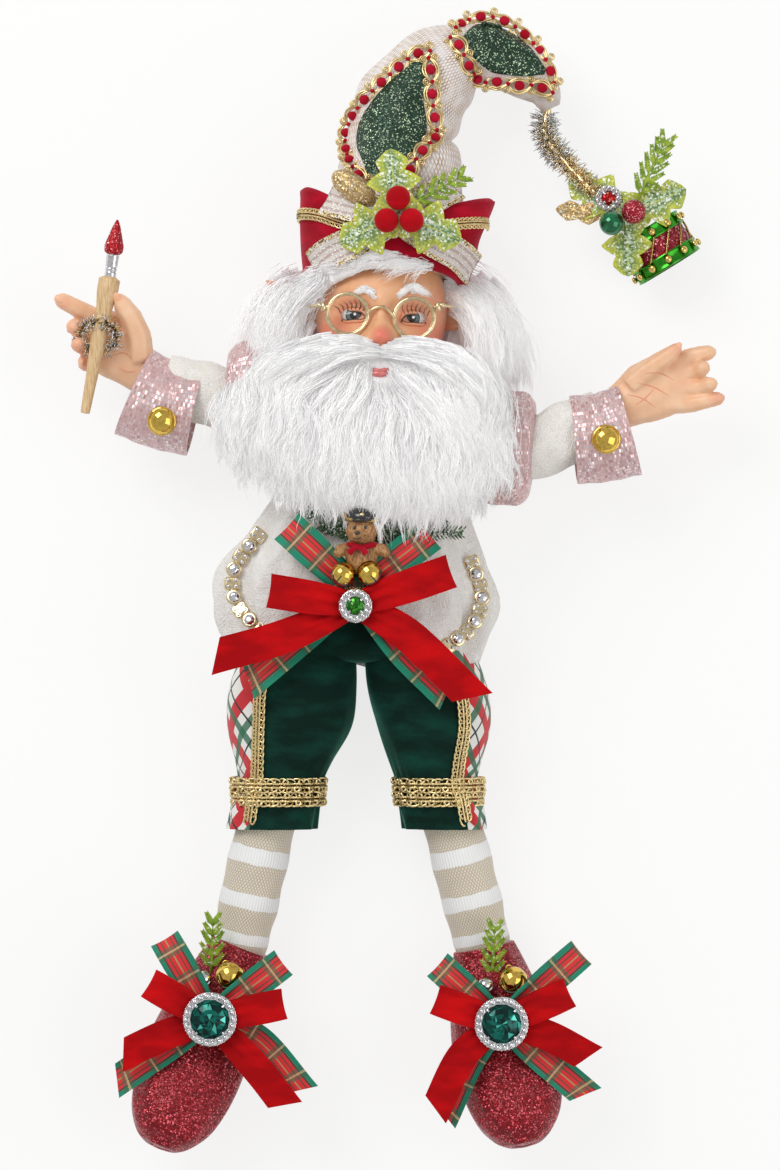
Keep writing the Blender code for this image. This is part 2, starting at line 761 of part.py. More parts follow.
def sprig(root, tip, twigs, twig_length, radius, spread_deg, lift):
    """A stem with pointed needles in pairs, leaning towards its tip."""
    root, tip = np.array(root, float), np.array(tip, float)
    thick, thin = (radius * 1.3,) * 3, (radius * 0.5,) * 3
    stem = loft([(*root, *thick), (*tip, *thin)], 5, 2)
    way = tip - root
    base = math.atan2(way[1], way[0])
    for k in range(twigs):
        share = 0.25 + 0.7 * k / max(twigs - 1, 1)
        start = root + way * share
        turn = base + math.radians(spread_deg) * (1 if k % 2 else -1)
        reach = twig_length * (1.1 - 0.5 * share)
        rise = lift * (1 if k % 3 else -0.6)
        end = start + np.array([math.cos(turn) * reach, math.sin(turn) * reach, rise])
        back = start - (end - start) * 0.06
        needle = loft([(*back, radius, radius, radius), (*end, 0.3, 0.3, 0.3)], 4, 2)
        join(stem, needle)
    return stem


def holly_outline(length, width, points):
    """Half the edge of a holly leaf is a row of hollows between prickles; the other half mirrors it."""
    edge = [(0.0, width * 0.07)]
    for k in range(points):
        share = (k + 0.5) / points
        belly = math.sin(math.pi * (0.12 + 0.8 * share)) * width / 2
        edge.append((length * (share - 0.28 / points), belly * 0.72))
        edge.append((length * (share + 0.16 / points), belly * 1.06))
    far = [(length, 0.0)]
    return edge + far + [(x, -y) for x, y in reversed(edge)]


def holly(centre, leaves, thickness, crown):
    """Leaves that share one wired heart. A leaf is (direction in degrees, length, width, droop)."""
    heart = ball(centre, (3.4, 3.4, 1.4), 8, 5)
    for turn, length, width, fold in leaves:
        leaf = plate(holly_outline(length, width, 2), crown, thickness, fold)
        moved(leaf, Matrix.Translation(Vector(centre)) @ Matrix.Rotation(math.radians(turn), 4, "Z"))
        join(heart, leaf)
    return heart


# Head, hair and beard

def make_head():
    shape = bmesh.new()
    bmesh.ops.create_uvsphere(shape, u_segments=18, v_segments=12, radius=1.0)
    for vertex in shape.verts:
        x, y, z = vertex.co.x, vertex.co.z, -vertex.co.y
        cheek = 2.2 * sum(math.exp(-((x - s * 0.45) ** 2 + (y + 0.28) ** 2) / 0.06) for s in (-1, 1))
        socket = -2.0 * sum(math.exp(-((x - s * 0.42) ** 2 + (y - 0.02) ** 2) / 0.03) for s in (-1, 1))
        brow = 1.2 * math.exp(-((y - 0.3) ** 2) / 0.02 - x * x / 0.4)
        chin = 2.0 * math.exp(-((y + 0.8) ** 2) / 0.05 - x * x / 0.08)
        push = (cheek + socket + brow + chin) if z > 0 else 0.0
        jaw = 1.0 - 0.16 * max(0.0, -y - 0.3)
        vertex.co = Vector((x * HEAD_RADII[0] * jaw, y * HEAD_RADII[1], z * HEAD_RADII[2] + push)) * MM
    mesh = bpy.data.meshes.new("skull")
    shape.to_mesh(mesh)
    shape.free()
    skull = bpy.data.objects.new("skull", mesh)
    bpy.context.scene.collection.objects.link(skull)
    deep = HEAD_RADII[2]
    bridge = (0, 3, deep - 2.5, 2.2, 2.6, 4.0)
    bulb = (0, -13.5, deep + 2.6, NOSE_RADIUS, NOSE_RADIUS * 0.8, 9.0)
    nose = (bridge, (0, -5, deep - 0.2, 3.2, 3.2, 5.0), bulb, (0, -18, deep - 1, 2.4, 2.4, 8.0))
    join(skull, loft(nose, 7, 5))
    for side in (-1, 1):
        reach = HEAD_RADII[0]
        ear = (
            (side * (reach - 5), 4, -2, 5.5, 3.0, 3.0),
            (side * (reach + 4), 8, -1, 6.0, 2.4, 2.4),
            (side * (reach + 13), 11, 0, 3.8, 1.7, 1.7),
            (side * (reach + 21.5), 12.5, 0, 0.6, 0.6, 0.6),
        )
        join(skull, loft(ear, 7, 5))
    place = Matrix.Translation(Vector(HEAD_CENTRE)) @ Matrix.Rotation(math.radians(HEAD_TILT_DEG), 4, "Z")
    keep("head", moved(skull, place), "skin")


def wire(points, radius, count, sides=4):
    """A round wire along a smooth route."""
    rows = spline(points, count)
    return loft(np.hstack([rows, np.full((count, 3), radius)]), sides, count)


def hoop(centre, radius, wire_radius, segments, sides):
    """A wire ring in the plane of the face."""
    points, faces = [], []
    for k in range(segments):
        turn = 2 * math.pi * k / segments
        for m in range(sides):
            roll = 2 * math.pi * m / sides
            reach = radius + wire_radius * math.cos(roll)
            rise = wire_radius * math.sin(roll)
            points.append((centre[0] + reach * math.cos(turn), centre[1] + reach * math.sin(turn), centre[2] + rise))
    for k in range(segments):
        for m in range(sides):
            a, b = k * sides + m, k * sides + (m + 1) % sides
            c, d = ((k + 1) % segments) * sides + (m + 1) % sides, ((k + 1) % segments) * sides + m
            faces.append((a, b, c, d))
    return object_from(points, faces)


def make_spectacles():
    x, y, _ = HEAD_CENTRE
    level = y + EYE_LINE
    half = EYE_SPACING / 2
    z = HEAD_CENTRE[2] + HEAD_RADII[2] + RIM_STANDOFF
    edge = half - RIM_RADIUS
    frame = hoop((x - half, level + 1.0, z), RIM_RADIUS, RIM_WIRE, 16, 4)
    join(frame, hoop((x + half, level - 1.0, z), RIM_RADIUS, RIM_WIRE, 16, 4))
    bridge = [(x - edge - 0.5, level + 1, z), (x - edge * 0.4, level + 3.6, z + 1)]
    bridge += [(x + edge * 0.4, level + 3.4, z + 1), (x + edge + 0.5, level - 1, z)]
    join(frame, wire(bridge, RIM_WIRE * 0.9, 6))
    for side in (-1, 1):
        rim = x + side * (half + RIM_RADIUS)
        temple = x + side * (HEAD_RADII[0] + 2.2)
        arm = [(rim - side * 0.4, level + 2.5, z), (rim + side * 4, level + 3, z - 1.5)]
        arm += [(temple, level + 3, z - 9), (temple + side * 0.6, level + 4, z - 24)]
        join(frame, wire(arm, RIM_WIRE * 1.1, 5))
    keep("spectacles", frame, "gold")


def make_wig():
    left = (
        (-33, 133, 42, 4, 6, 10),
        (-44, 124, 40, 12, 16, 20),
        (-49, 113, 38, 14.5, 18, 24),
        (-49, 101, 36, 13, 17, 24),
        (-44, 90, 33, 8, 10, 20),
    )
    right = (
        (30, 131, 42, 4, 6, 10),
        (37, 122, 40, 11, 16, 20),
        (42, 108, 38, 13, 18, 24),
        (46, 96, 36, 13, 17, 24),
        (44, 84, 33, 8, 10, 20),
    )
    fringe = (
        (-36, 126, 50, 7, 7, 7),
        (-27, 134, 62, 7, 5, 6),
        (-12, 139.5, 70, 6, 4, 5),
        (4, 141, 72, 5, 4, 5),
        (17, 141, 67, 2.4, 2, 3),
    )
    back = (
        (-4, 137, 20, 26, 12, 20),
        (-5, 122, 20, 45, 18, 20),
        (-4, 104, 20, 47, 20, 20),
        (-4, 94, 18, 38, 14, 18),
    )
    hair = loft(back, 10, 4, floor=0.0, upright=True)
    for lock in (left, right):
        join(hair, loft(lock, 12, 6, floor=0.5, lobes=3, lobe_depth=0.06))
    join(hair, loft(fringe, 6, 5))
    keep("wig", hair, "white_fur")


BEARD_LOCKS = (
    ((-60, 84, 58), (-79, 79, 54)),
    ((-58, 72, 58), (-76, 66, 54)),
    ((-54, 60, 58), (-66, 50, 56)),
    ((-40, 50, 62), (-50, 37, 58)),
    ((-22, 44, 66), (-28, 31, 60)),
    ((-6, 40, 68), (-5, 27, 64)),
    ((10, 40, 68), (14, 25, 64)),
    ((24, 42, 66), (30, 30, 60)),
    ((36, 50, 62), (45, 37, 56)),
    ((42, 62, 60), (54, 50, 56)),
)

MOUSTACHE = (
    (
        (-5, 104, 74, 4.0, 4, 6),
        (-18, 103, 77, 7.5, 6, 8),
        (-38, 99, 75, 9.5, 7, 9),
        (-56, 90, 67, 8.0, 6, 8),
        (-68, 78, 58, 2.0, 2, 3),
    ),
    (
        (-3, 104, 74, 4.0, 4, 6),
        (10, 102, 77, 7.5, 6, 8),
        (27, 97, 75, 9.0, 7, 9),
        (42, 85, 69, 7.5, 6, 8),
        (48, 70, 62, 2.0, 2, 3),
    ),
)


def make_beard():
    body = (
        (-4, 108, 62, 20, 10, 14),
        (-6, 101, 58, 44, 18, 12),
        (-9, 91, 56, 58, 24, 11),
        (-11, 80, 56, 64, 26, 11),
        (-10, 67, 56, 61, 26, 9),
        (-8, 55, 57, 57, 24, 6),
        (0, 43, 58, 45, 20, 4),
        (4, 35, 60, 27, 13, 4),
        (6, 30, 62, 10, 5, 3),
    )
    beard = loft(body, 44, 12, lobes=11, lobe_depth=0.035, sway=0.09, upright=True)
    for number, (root, tip) in enumerate(BEARD_LOCKS):
        root, tip = np.array(root, float), np.array(tip, float)
        bend = np.array([2.5 if number % 2 else -2.5, 0.0, 0.0])
        rows = [(*root, 7, 6, 6), (*((root + tip) / 2 + bend), 6.5, 5, 5), (*tip, 1.0, 0.8, 0.8)]
        join(beard, loft(rows, 5, 4))
    for rows in MOUSTACHE:
        join(beard, loft(rows, 8, 7, lobes=4, lobe_depth=0.10, sway=0.3))
    keep("beard", beard, "white_fur")


# Hat

HAT_ROUTE = (
    (-2, 139, 36, 1.0, 1.0),
    (0, 156, 35, 0.98, 0.97),
    (3, 170, 34, 0.94, 0.92),
    (4.5, 184, 33, 0.88, 0.86),
    (4.0, 198, 31, 0.76, 0.76),
    (10, 213, 29, 0.76, 0.70),
    (21, 227, 27, 0.66, 0.60),
    (35, 235, 25, 0.47, 0.50),
    (48, 233, 24, 0.43, 0.44),
    (60, 227, 23, 0.38, 0.38),
    (68, 219, 22, 0.26, 0.28),
    (71.5, 211.5, 21.5, 0.13, 0.13),
)


def make_hat():
    radius = HAT_BASE_RADIUS
    rows = [(x, y, z, radius * wide, radius * deep, radius * deep) for x, y, z, wide, deep in HAT_ROUTE]
    keep("hat_cone", loft(rows, 15, 16, floor=0.6), "hat_mesh")


def make_brim():
    """The turned-up cuff: a band round the hat that rises into a point at each side."""
    steps = 32
    x0, _, z0 = HAT_ROUTE[0][:3]
    inner = HAT_BASE_RADIUS + GAP
    rings = []
    for k in range(steps):
        turn = 2 * math.pi * k / steps
        side, front = math.cos(turn), math.sin(turn)
        bottom = BRIM_BOTTOM + BRIM_TILT * max(front, -0.4)
        right, left = max(side, 0), max(-side, 0)
        peak = BRIM_RIGHT_PEAK * right**2 + BRIM_LEFT_PEAK * left**3 * (4 - 3 * left)
        top = BRIM_FRONT_TOP + peak - 4.0 * max(-front, 0)
        flare = 3.5 + 9.5 * right**2 + 0.5 * left**2
        foot = inner + BRIM_WALL * 1.3
        lip = inner + BRIM_WALL * 0.4 + flare
        section = (
            (inner, bottom),
            (foot, bottom + 0.6),
            ((foot + lip) / 2 + 0.8, (bottom + top) / 2),
            (lip + BRIM_WALL * 0.5, top),
            (lip - BRIM_WALL * 0.5, top + 0.3),
            (inner, (bottom + top) / 2),
        )
        rings.append([(x0 + side * r, y, max(z0 + front * r, 0.5)) for r, y in section])
    count = len(rings[0])
    points = [p for ring in rings for p in ring]
    faces = []
    for k in range(steps):
        for m in range(count):
            a, b = k * count + m, k * count + (m + 1) % count
            c, d = ((k + 1) % steps) * count + (m + 1) % count, ((k + 1) % steps) * count + m
            faces.append((a, b, c, d))
    keep("hat_brim", object_from(points, faces), "red_velvet")


def brim_front(x):
    """How high the brim's outside stands over a place across the hat."""
    x0, _, z0 = HAT_ROUTE[0][:3]
    reach = HAT_BASE_RADIUS + BRIM_WALL + 4.5
    return z0 + math.sqrt(max(reach**2 - (x - x0) ** 2, 60.0))


def make_hat_bow():
    lift = 2.4
    centre = (3.0, 160.0, brim_front(3.0) + lift)

    def over(x, y, extra=0.0):
        return (x, y, brim_front(x) + lift + extra)

    block = ball(centre, (5.0, 6.0, 2.6), 8, 6)
    arms = (
        ([over(-14, 164, 1.5), over(-28, 168, 1.5)], 2.0),
        ([over(18, 168, 1.5), over(28, 174, 1.5)], -2.0),
        ([over(-14, 150), over(-27, 144), over(-34, 138, 1.0)], 3.0),
        ([over(18, 150), over(30, 144), over(37, 138, 2.0)], -3.0),
    )
    for points, slant in arms:
        path = spline([centre] + points, 6)
        along = np.gradient(path, axis=0)
        side = np.stack([-along[:, 1], along[:, 0], np.zeros(len(path))], axis=1)
        join(block, strap(path, side, SHEER_WIDTH, RIBBON_THICKNESS, slant))
    keep("sheer_hat_bow", block, "sheer_ribbon")


def make_hat_trimmings():
    top = brim_front(3.0) + 7.4
    leaves = ((96, 28, 20, 0.10), (207, 27, 21, 0.10), (-22, 29, 21, 0.10))
    keep("hat_holly", holly((3.2, 160.5, top), leaves, 1.3, 0.008), "holly")
    z = top + 1.4 + BERRY_RADIUS
    bunch = ball((3.5, 167.0, z), BERRY_RADIUS, 8, 6)
    reach = BERRY_RADIUS * 1.02
    for side in (-1, 1):
        join(bunch, ball((3.9 + side * reach, 157.3, z), BERRY_RADIUS, 8, 6))
    join(bunch, ball((3.9, 160.6, z - 2.4), (4.2, 4.2, 3.0), 8, 5))
    keep("hat_berries", bunch, "berry")
    pod = ball((-15.5, 172.0, brim_front(-15) + 3.0), (11.5, 5.6, 5.2), 10, 8, -36)
    keep("glitter_pod", pod, "gold_glitter")
    green = sprig((10, 165, top - 1.0), (30, 177, brim_front(28) + 9), 5, 9, 0.8, 38, 1.5)
    keep("hat_sprig", green, "holly")


# Arms, cuffs and hands

ARMS = {
    "left": {"shoulder": (-36.0, 79.0, 35.0), "elbow": (-66.0, 80.0, 36.0), "wrist": (-107.0, 92.0, 35.0)},
    "right": {"shoulder": (34.0, 62.0, 34.0), "elbow": (62.0, 60.0, 36.0), "wrist": (101.0, 77.5, 36.0)},
}


def make_sleeve(side):
    arm = ARMS[side]
    wrist = np.array(arm["wrist"])
    elbow = np.array(arm["elbow"])
    end = wrist - unit(wrist - elbow) * 9.0
    r = SLEEVE_RADIUS
    rows = [(*arm["shoulder"], r * 1.25, r * 1.15, r * 1.15), (*elbow, r * 1.05, r, r)]
    rows += [(*((elbow + end) / 2), r * 1.12, r, r), (*end, r * 0.94, r * 0.9, r * 0.9)]
    keep(side + "_sleeve", loft(rows, 12, 8, lobes=4, lobe_depth=0.04), "white_plush")


def make_cap_sleeve(side):
    arm = ARMS[side]
    shoulder, elbow = np.array(arm["shoulder"]), np.array(arm["elbow"])
    r = SLEEVE_RADIUS
    way = elbow - shoulder
    if side == "left":
        rows = (
            (*(shoulder + way * 0.10 + (0, 2, 0)), r * 1.5, r * 1.35, r * 1.4),
            (*(shoulder + way * 0.50 + (0, 2, 0)), r * 1.95, r * 1.42, r * 1.7),
            (*(shoulder + way * 0.95 + (0, 2, 0)), r * 2.0, r * 1.42, r * 1.7),
            (*(shoulder + way * 1.20 + (0, 2, 0)), r * 1.45, r * 1.35, r * 1.4),
        )
    else:
        rows = (
            (*(shoulder + way * 0.02), r * 1.55, r * 1.4, r * 1.5),
            (*(shoulder + way * 0.40), r * 1.95, r * 1.42, r * 1.8),
            (*(shoulder + way * 0.80), r * 2.0, r * 1.42, r * 1.8),
            (*(shoulder + way * 1.04), r * 1.55, r * 1.35, r * 1.5),
        )
    keep(side + "_cap_sleeve", loft(rows, 14, 7, floor=3.0, lobes=7, lobe_depth=0.05), "pink_sequin")


CUFFS = {
    "left": {"near": (-84.0, 80.0, 36.0), "far": (-110.0, 91.5, 35.0), "drop": (-3.0, -6.5)},
    "right": {"near": (80.0, 67.0, 36.0), "far": (104.0, 73.5, 36.0), "drop": (1.5, -5.0)},
}


def make_cuff(side):
    """A wide turned-back cuff: an open sleeve of sequinned cloth, split below where its corners hang."""
    cuff = CUFFS[side]
    near, far = np.array(cuff["near"]), np.array(cuff["far"])
    drop = np.array([*cuff["drop"], 0.0])
    r = CUFF_MOUTH_RADIUS
    wide = [(*(near + drop * 0.6), r * 1.08, r * 0.86, r * 0.9)]
    wide += [(*((near + far) / 2 + drop), r * 1.08, r * 0.88, r * 0.92), (*(far + drop), r * 1.12, r * 0.88, r * 0.94)]
    way = (far - near) * 0.4
    bore = []
    for x, y, z, half, front, back in wide:
        bore.append((x, y, z, half - CUFF_WALL, front - CUFF_WALL, back - CUFF_WALL))
    first, last = np.array(bore[0]), np.array(bore[-1])
    bore = [tuple(first - np.array([*way, 0, 0, 0])), *bore, tuple(last + np.array([*way, 0, 0, 0]))]
    outside, inside = loft(wide, 14, 3, lobes=3, lobe_depth=0.02), loft(bore, 14, 5, lobes=3, lobe_depth=0.02)
    made = combine(outside, inside, "DIFFERENCE")
    keep(side + "_cuff", made, "pink_sequin")


def make_cuff_button(side):
    spots = {"left": (-100.0, 72.0), "right": (94.7, 63.9)}
    x, y = spots[side]
    cuff = CUFFS[side]
    middle = (np.array(cuff["near"]) + np.array(cuff["far"])) / 2 + np.array([*cuff["drop"], 0.0])
    off = math.hypot(x - middle[0], y - middle[1])
    share = off / (CUFF_MOUTH_RADIUS * 1.08)
    rise = middle[2] + CUFF_MOUTH_RADIUS * 0.88 * math.sqrt(max(1 - share**2, 0.2))
    out = Vector((x - middle[0], y - middle[1], 2.2 * CUFF_MOUTH_RADIUS))
    r = CUFF_BUTTON_RADIUS
    profile = ((-2.4, r * 0.45), (0.6, r * 0.5), (0.8, r), (2.0, r * 0.94), (3.6, r * 0.62), (4.4, r * 0.12))
    keep(side + "_cuff_button", turned(profile, (x, y, rise), out, 12), "gold")


def finger(points, radii, count=4):
    """A rounded finger along its joints."""
    rows = [(*p, r, r, r) for p, r in zip(points, radii)]
    last, before = np.array(points[-1], float), np.array(points[-2], float)
    tip = last + unit(last - before) * radii[-1] * 0.8
    rows.append((*tip, radii[-1] * 0.35, radii[-1] * 0.35, radii[-1] * 0.35))
    return loft(rows, 6, count)


def make_left_hand():
    """The hand that holds the paintbrush, its first finger pointing."""
    w = WRIST_RADIUS
    palm = (
        (-100, 86, 35, w, w * 0.85, w * 0.85),
        (-109, 93, 35, w * 1.05, w * 0.8, w * 0.8),
        (-118, 103, 35, w * 1.7, w * 0.82, w * 0.8),
        (-127, 110, 35, w * 1.55, w * 0.72, w * 0.7),
        (-132, 113, 35, w * 1.0, w * 0.5, w * 0.5),
    )
    hand = loft(palm, 10, 7)
    join(hand, finger([(-126, 116, 36), (-137, 121.5, 39), (-145, 125.5, 41)], [4.4, 4.0, 3.5]))
    join(hand, finger([(-129, 112, 34), (-139.5, 114, 37), (-139, 113.5, 45)], [4.2, 4.4, 4.0]))
    join(hand, finger([(-127, 106, 34), (-138, 106.2, 37), (-137, 106, 45)], [4.2, 4.2, 3.8]))
    join(hand, finger([(-124, 99, 34), (-135.5, 98, 37), (-135.5, 98, 44)], [4.0, 3.9, 3.6]))
    thumb = [(-110, 100, 38), (-111, 112, 43), (-116, 121, 46), (-119.5, 125.5, 47.5)]
    join(hand, finger(thumb, [6.2, 5.4, 4.6, 3.4], 6))
    keep("left_hand", hand, "skin")


def make_right_hand():
    """The open hand, palm to the viewer."""
    w = WRIST_RADIUS
    palm = (
        (93, 74, 36, w, w * 0.85, w * 0.85),
        (102, 78.5, 36, w * 1.15, w * 0.8, w * 0.8),
        (112, 84.5, 37, w * 1.6, w * 0.78, w * 0.72),
        (123, 89, 38, w * 1.6, w * 0.62, w * 0.62),
        (130, 91, 38, w * 1.2, w * 0.4, w * 0.45),
    )
    hand = loft(palm, 10, 7)
    join(hand, finger([(125, 98, 38), (134, 101, 38), (141, 102.5, 40)], [4.2, 3.9, 3.4]))
    join(hand, finger([(127, 93, 38), (135, 94.5, 39), (138, 95.5, 45)], [4.1, 3.9, 3.4]))
    join(hand, finger([(127, 87.5, 38), (137, 87, 39), (141.5, 88.5, 44)], [4.0, 3.8, 3.3]))
    join(hand, finger([(120, 80, 38), (132, 79.5, 38.5), (145, 82.2, 41)], [4.6, 3.8, 3.0]))
    thumb = [(106, 88, 40), (114, 95, 43), (121.5, 100, 45), (126, 104, 46)]
    join(hand, finger(thumb, [5.6, 5.0, 4.0, 2.8], 6))
    keep("right_hand", hand, "skin")


BRUSH_HEIGHT = 47.0
BRUSH_HEAD = (-122.9, 135.3)
BRUSH_FOOT_WAY = (-11.0, -59.8)


def make_paintbrush():
    x, y = BRUSH_HEAD
    down = Vector((*BRUSH_FOOT_WAY, 0.0)).normalized()
    up = Vector((3.2, 24.4, 0.0)).normalized()
    top, foot, length = BRUSH_TOP_RADIUS, BRUSH_FOOT_RADIUS, BRUSH_LENGTH
    start = Vector((x, y, BRUSH_HEIGHT))
    handle = [(0, top * 0.8), (1.2, top), (6, top), (14, top * 0.78)]
    handle += [(length * 0.5, (top + foot) / 2), (length - 1, foot), (length, foot * 0.8)]
    keep("brush_handle", turned(handle, start, down, 12), "wood")
    base = start + up * GAP
    band = FERRULE_RADIUS
    ferrule = ((0, band * 0.92), (FERRULE_LENGTH * 0.5, band * 0.9), (FERRULE_LENGTH, band * 1.1))
    keep("brush_ferrule", turned(ferrule, base, up, 12), "silver")
    base = base + up * (FERRULE_LENGTH + GAP)
    r, tall = BRISTLE_RADIUS, BRISTLE_LENGTH
    tuft = [(0, r * 0.62), (1.4, r * 0.95), (3.6, r)]
    tuft += [(tall * 0.5, r * 0.74), (tall * 0.85, r * 0.36), (tall, r * 0.1)]
    keep("brush_bristles", turned(tuft, base, up, 12), "red_glitter")


# Ornament on the hat's tail

DRUM_CENTRE = (119.3, 150.0, 16.4)
DRUM_AXIS = (-0.523, 0.852, 0.0)
CLUSTER = (104.5, 163.5)


def make_tinsel():
    rows = [(70.5, 212.0, 22), (68.6, 203, 22.5), (70.5, 196, 24)]
    rows += [(77, 188, 26), (83.5, 180.5, 29), (91, 173.0, 31.5)]
    stations = [(*row, TINSEL_RADIUS, TINSEL_RADIUS, TINSEL_RADIUS) for row in rows]
    keep("tinsel_stem", loft(stations, 9, 11, lobes=3, lobe_depth=0.12), "tinsel")


def make_drum():
    r, tall, band = DRUM_RADIUS, DRUM_HEIGHT, HOOP_HEIGHT
    profile = (
        (0, r * 0.93), (0, r), (band, r), (band, r * 0.93),
        (tall - band, r * 0.93), (tall - band, r), (tall, r), (tall, r * 0.93),
    )
    axis = Vector(DRUM_AXIS).normalized()
    drum = turned(profile, DRUM_CENTRE, axis, 18)
    sideways = axis.cross(Vector((0, 0, 1)))
    for side in (-1, 1):
        knob = Vector(DRUM_CENTRE) + axis * band * 0.5 + sideways * side * (r + 1.4)
        join(drum, ball(tuple(knob), 2.0, 8, 4))
    keep("drum_ornament", drum, "green_metal")


def make_ornament_trimmings():
    x, y = CLUSTER
    z = DRUM_CENTRE[2] + DRUM_RADIUS + 1.2
    leaves = ((147, 29, 20, 0.10), (24, 28, 20, 0.10), (-88, 26, 19, 0.10))
    keep("ornament_holly", holly((x, y, z), leaves, 1.3, 0.006), "holly")
    level = z + 1.4 + BALL_RADIUS
    keep("green_bauble", ball((97.5, 159.4, level), BALL_RADIUS, 10, 8), "green_metal")
    keep("red_bauble", ball((107.3, 164.4, level), BALL_RADIUS, 10, 8), "red_glitter")
    keep("ornament_jewel", setting((96.6, 170.9, level - 3.0), ORNAMENT_SETTING_RADIUS, 7), "silver")
    edge = [(0, 0.8), (4, 2.6), (10, 4.6), (16, 3.6)]
    leaf = plate(edge + [(20.5, 0)] + [(x, -y) for x, y in reversed(edge)], 0.004, 1.4, 0.1)
    place = Matrix.Translation(Vector((93.5, 163.5, z - 1.5)))
    moved(leaf, place @ Matrix.Rotation(math.radians(172), 4, "Z"))
    keep("gold_glitter_leaf", leaf, "gold_glitter")
    keep("ornament_sprig", sprig((109, 170, z + 0.5), (120.5, 194, z + 3), 5, 9, 0.8, 34, 1.5), "holly")


def make_bear():
    x, y, z = -12.3, 12.0, 63.5
    body = ball((x, y, z), (7.6, 8.6, 6.2), 8, 6)
    head = ball((x, y + 11.5, z + 3.5), (7.4, 6.8, 6.4), 8, 6)
    join(body, head)
    join(body, ball((x - 1.8, y + 9.4, z + 9.4), (3.2, 2.7, 2.8), 6, 5))
    for side, lean in ((-1, 1.5), (1, -1.0)):
        join(body, ball((x + side * 6.2, y + 16.6 + lean, z + 3), (2.9, 2.9, 1.7), 7, 4))
        arm = [(x + side * 5, y + 4, z + 2, 3, 3, 3), (x + side * 9.5, y + 3, z + 3.5, 3, 2.8, 2.8)]
        arm += [(x + side * 11.5, y + 1.0, z + 5, 1.8, 1.8, 1.8)]
        join(body, loft(arm, 6, 3))
    cap = ((0, 5.6), (2.4, 6.2), (5.0, 5.2), (6.0, 2.0))
    join(body, turned(cap, (x, y + 15.8, z + 3.6), (0.05, 1, 0.15), 10))
    keep("resin_bear", body, "bear")


def make_pine_sprays():
    level = 57.5
    middle = (-10.0, 20.0, level)
    heart = ball(middle, (8, 6, 2.0), 8, 5)
    fans = ((-38, 33, 5), (15, 38, 4), (28, 35, 5), (31, 23, 5))
    for x, y, needles in fans:
        way = sprig(middle, (x, y, level + 0.5), needles, 9.5, 0.75, 42, 0.6)
        join(heart, way)
    keep("pine_sprays", heart, "pine")


def lighten():
    """Takes the crowded little faces out of the soft pieces that many cuts have crossed."""
    for name, share in LIGHTENED.items():
        thing = MADE[name]
        before = thing.data
        modifier = thing.modifiers.new("lighten", "DECIMATE")
        modifier.ratio = share
        graph = bpy.context.evaluated_depsgraph_get()
        thing.data = bpy.data.meshes.new_from_object(thing.evaluated_get(graph))
        thing.modifiers.clear()
        if volume_of(thing.data):
            largest_island(thing)
        else:
            thing.data = before


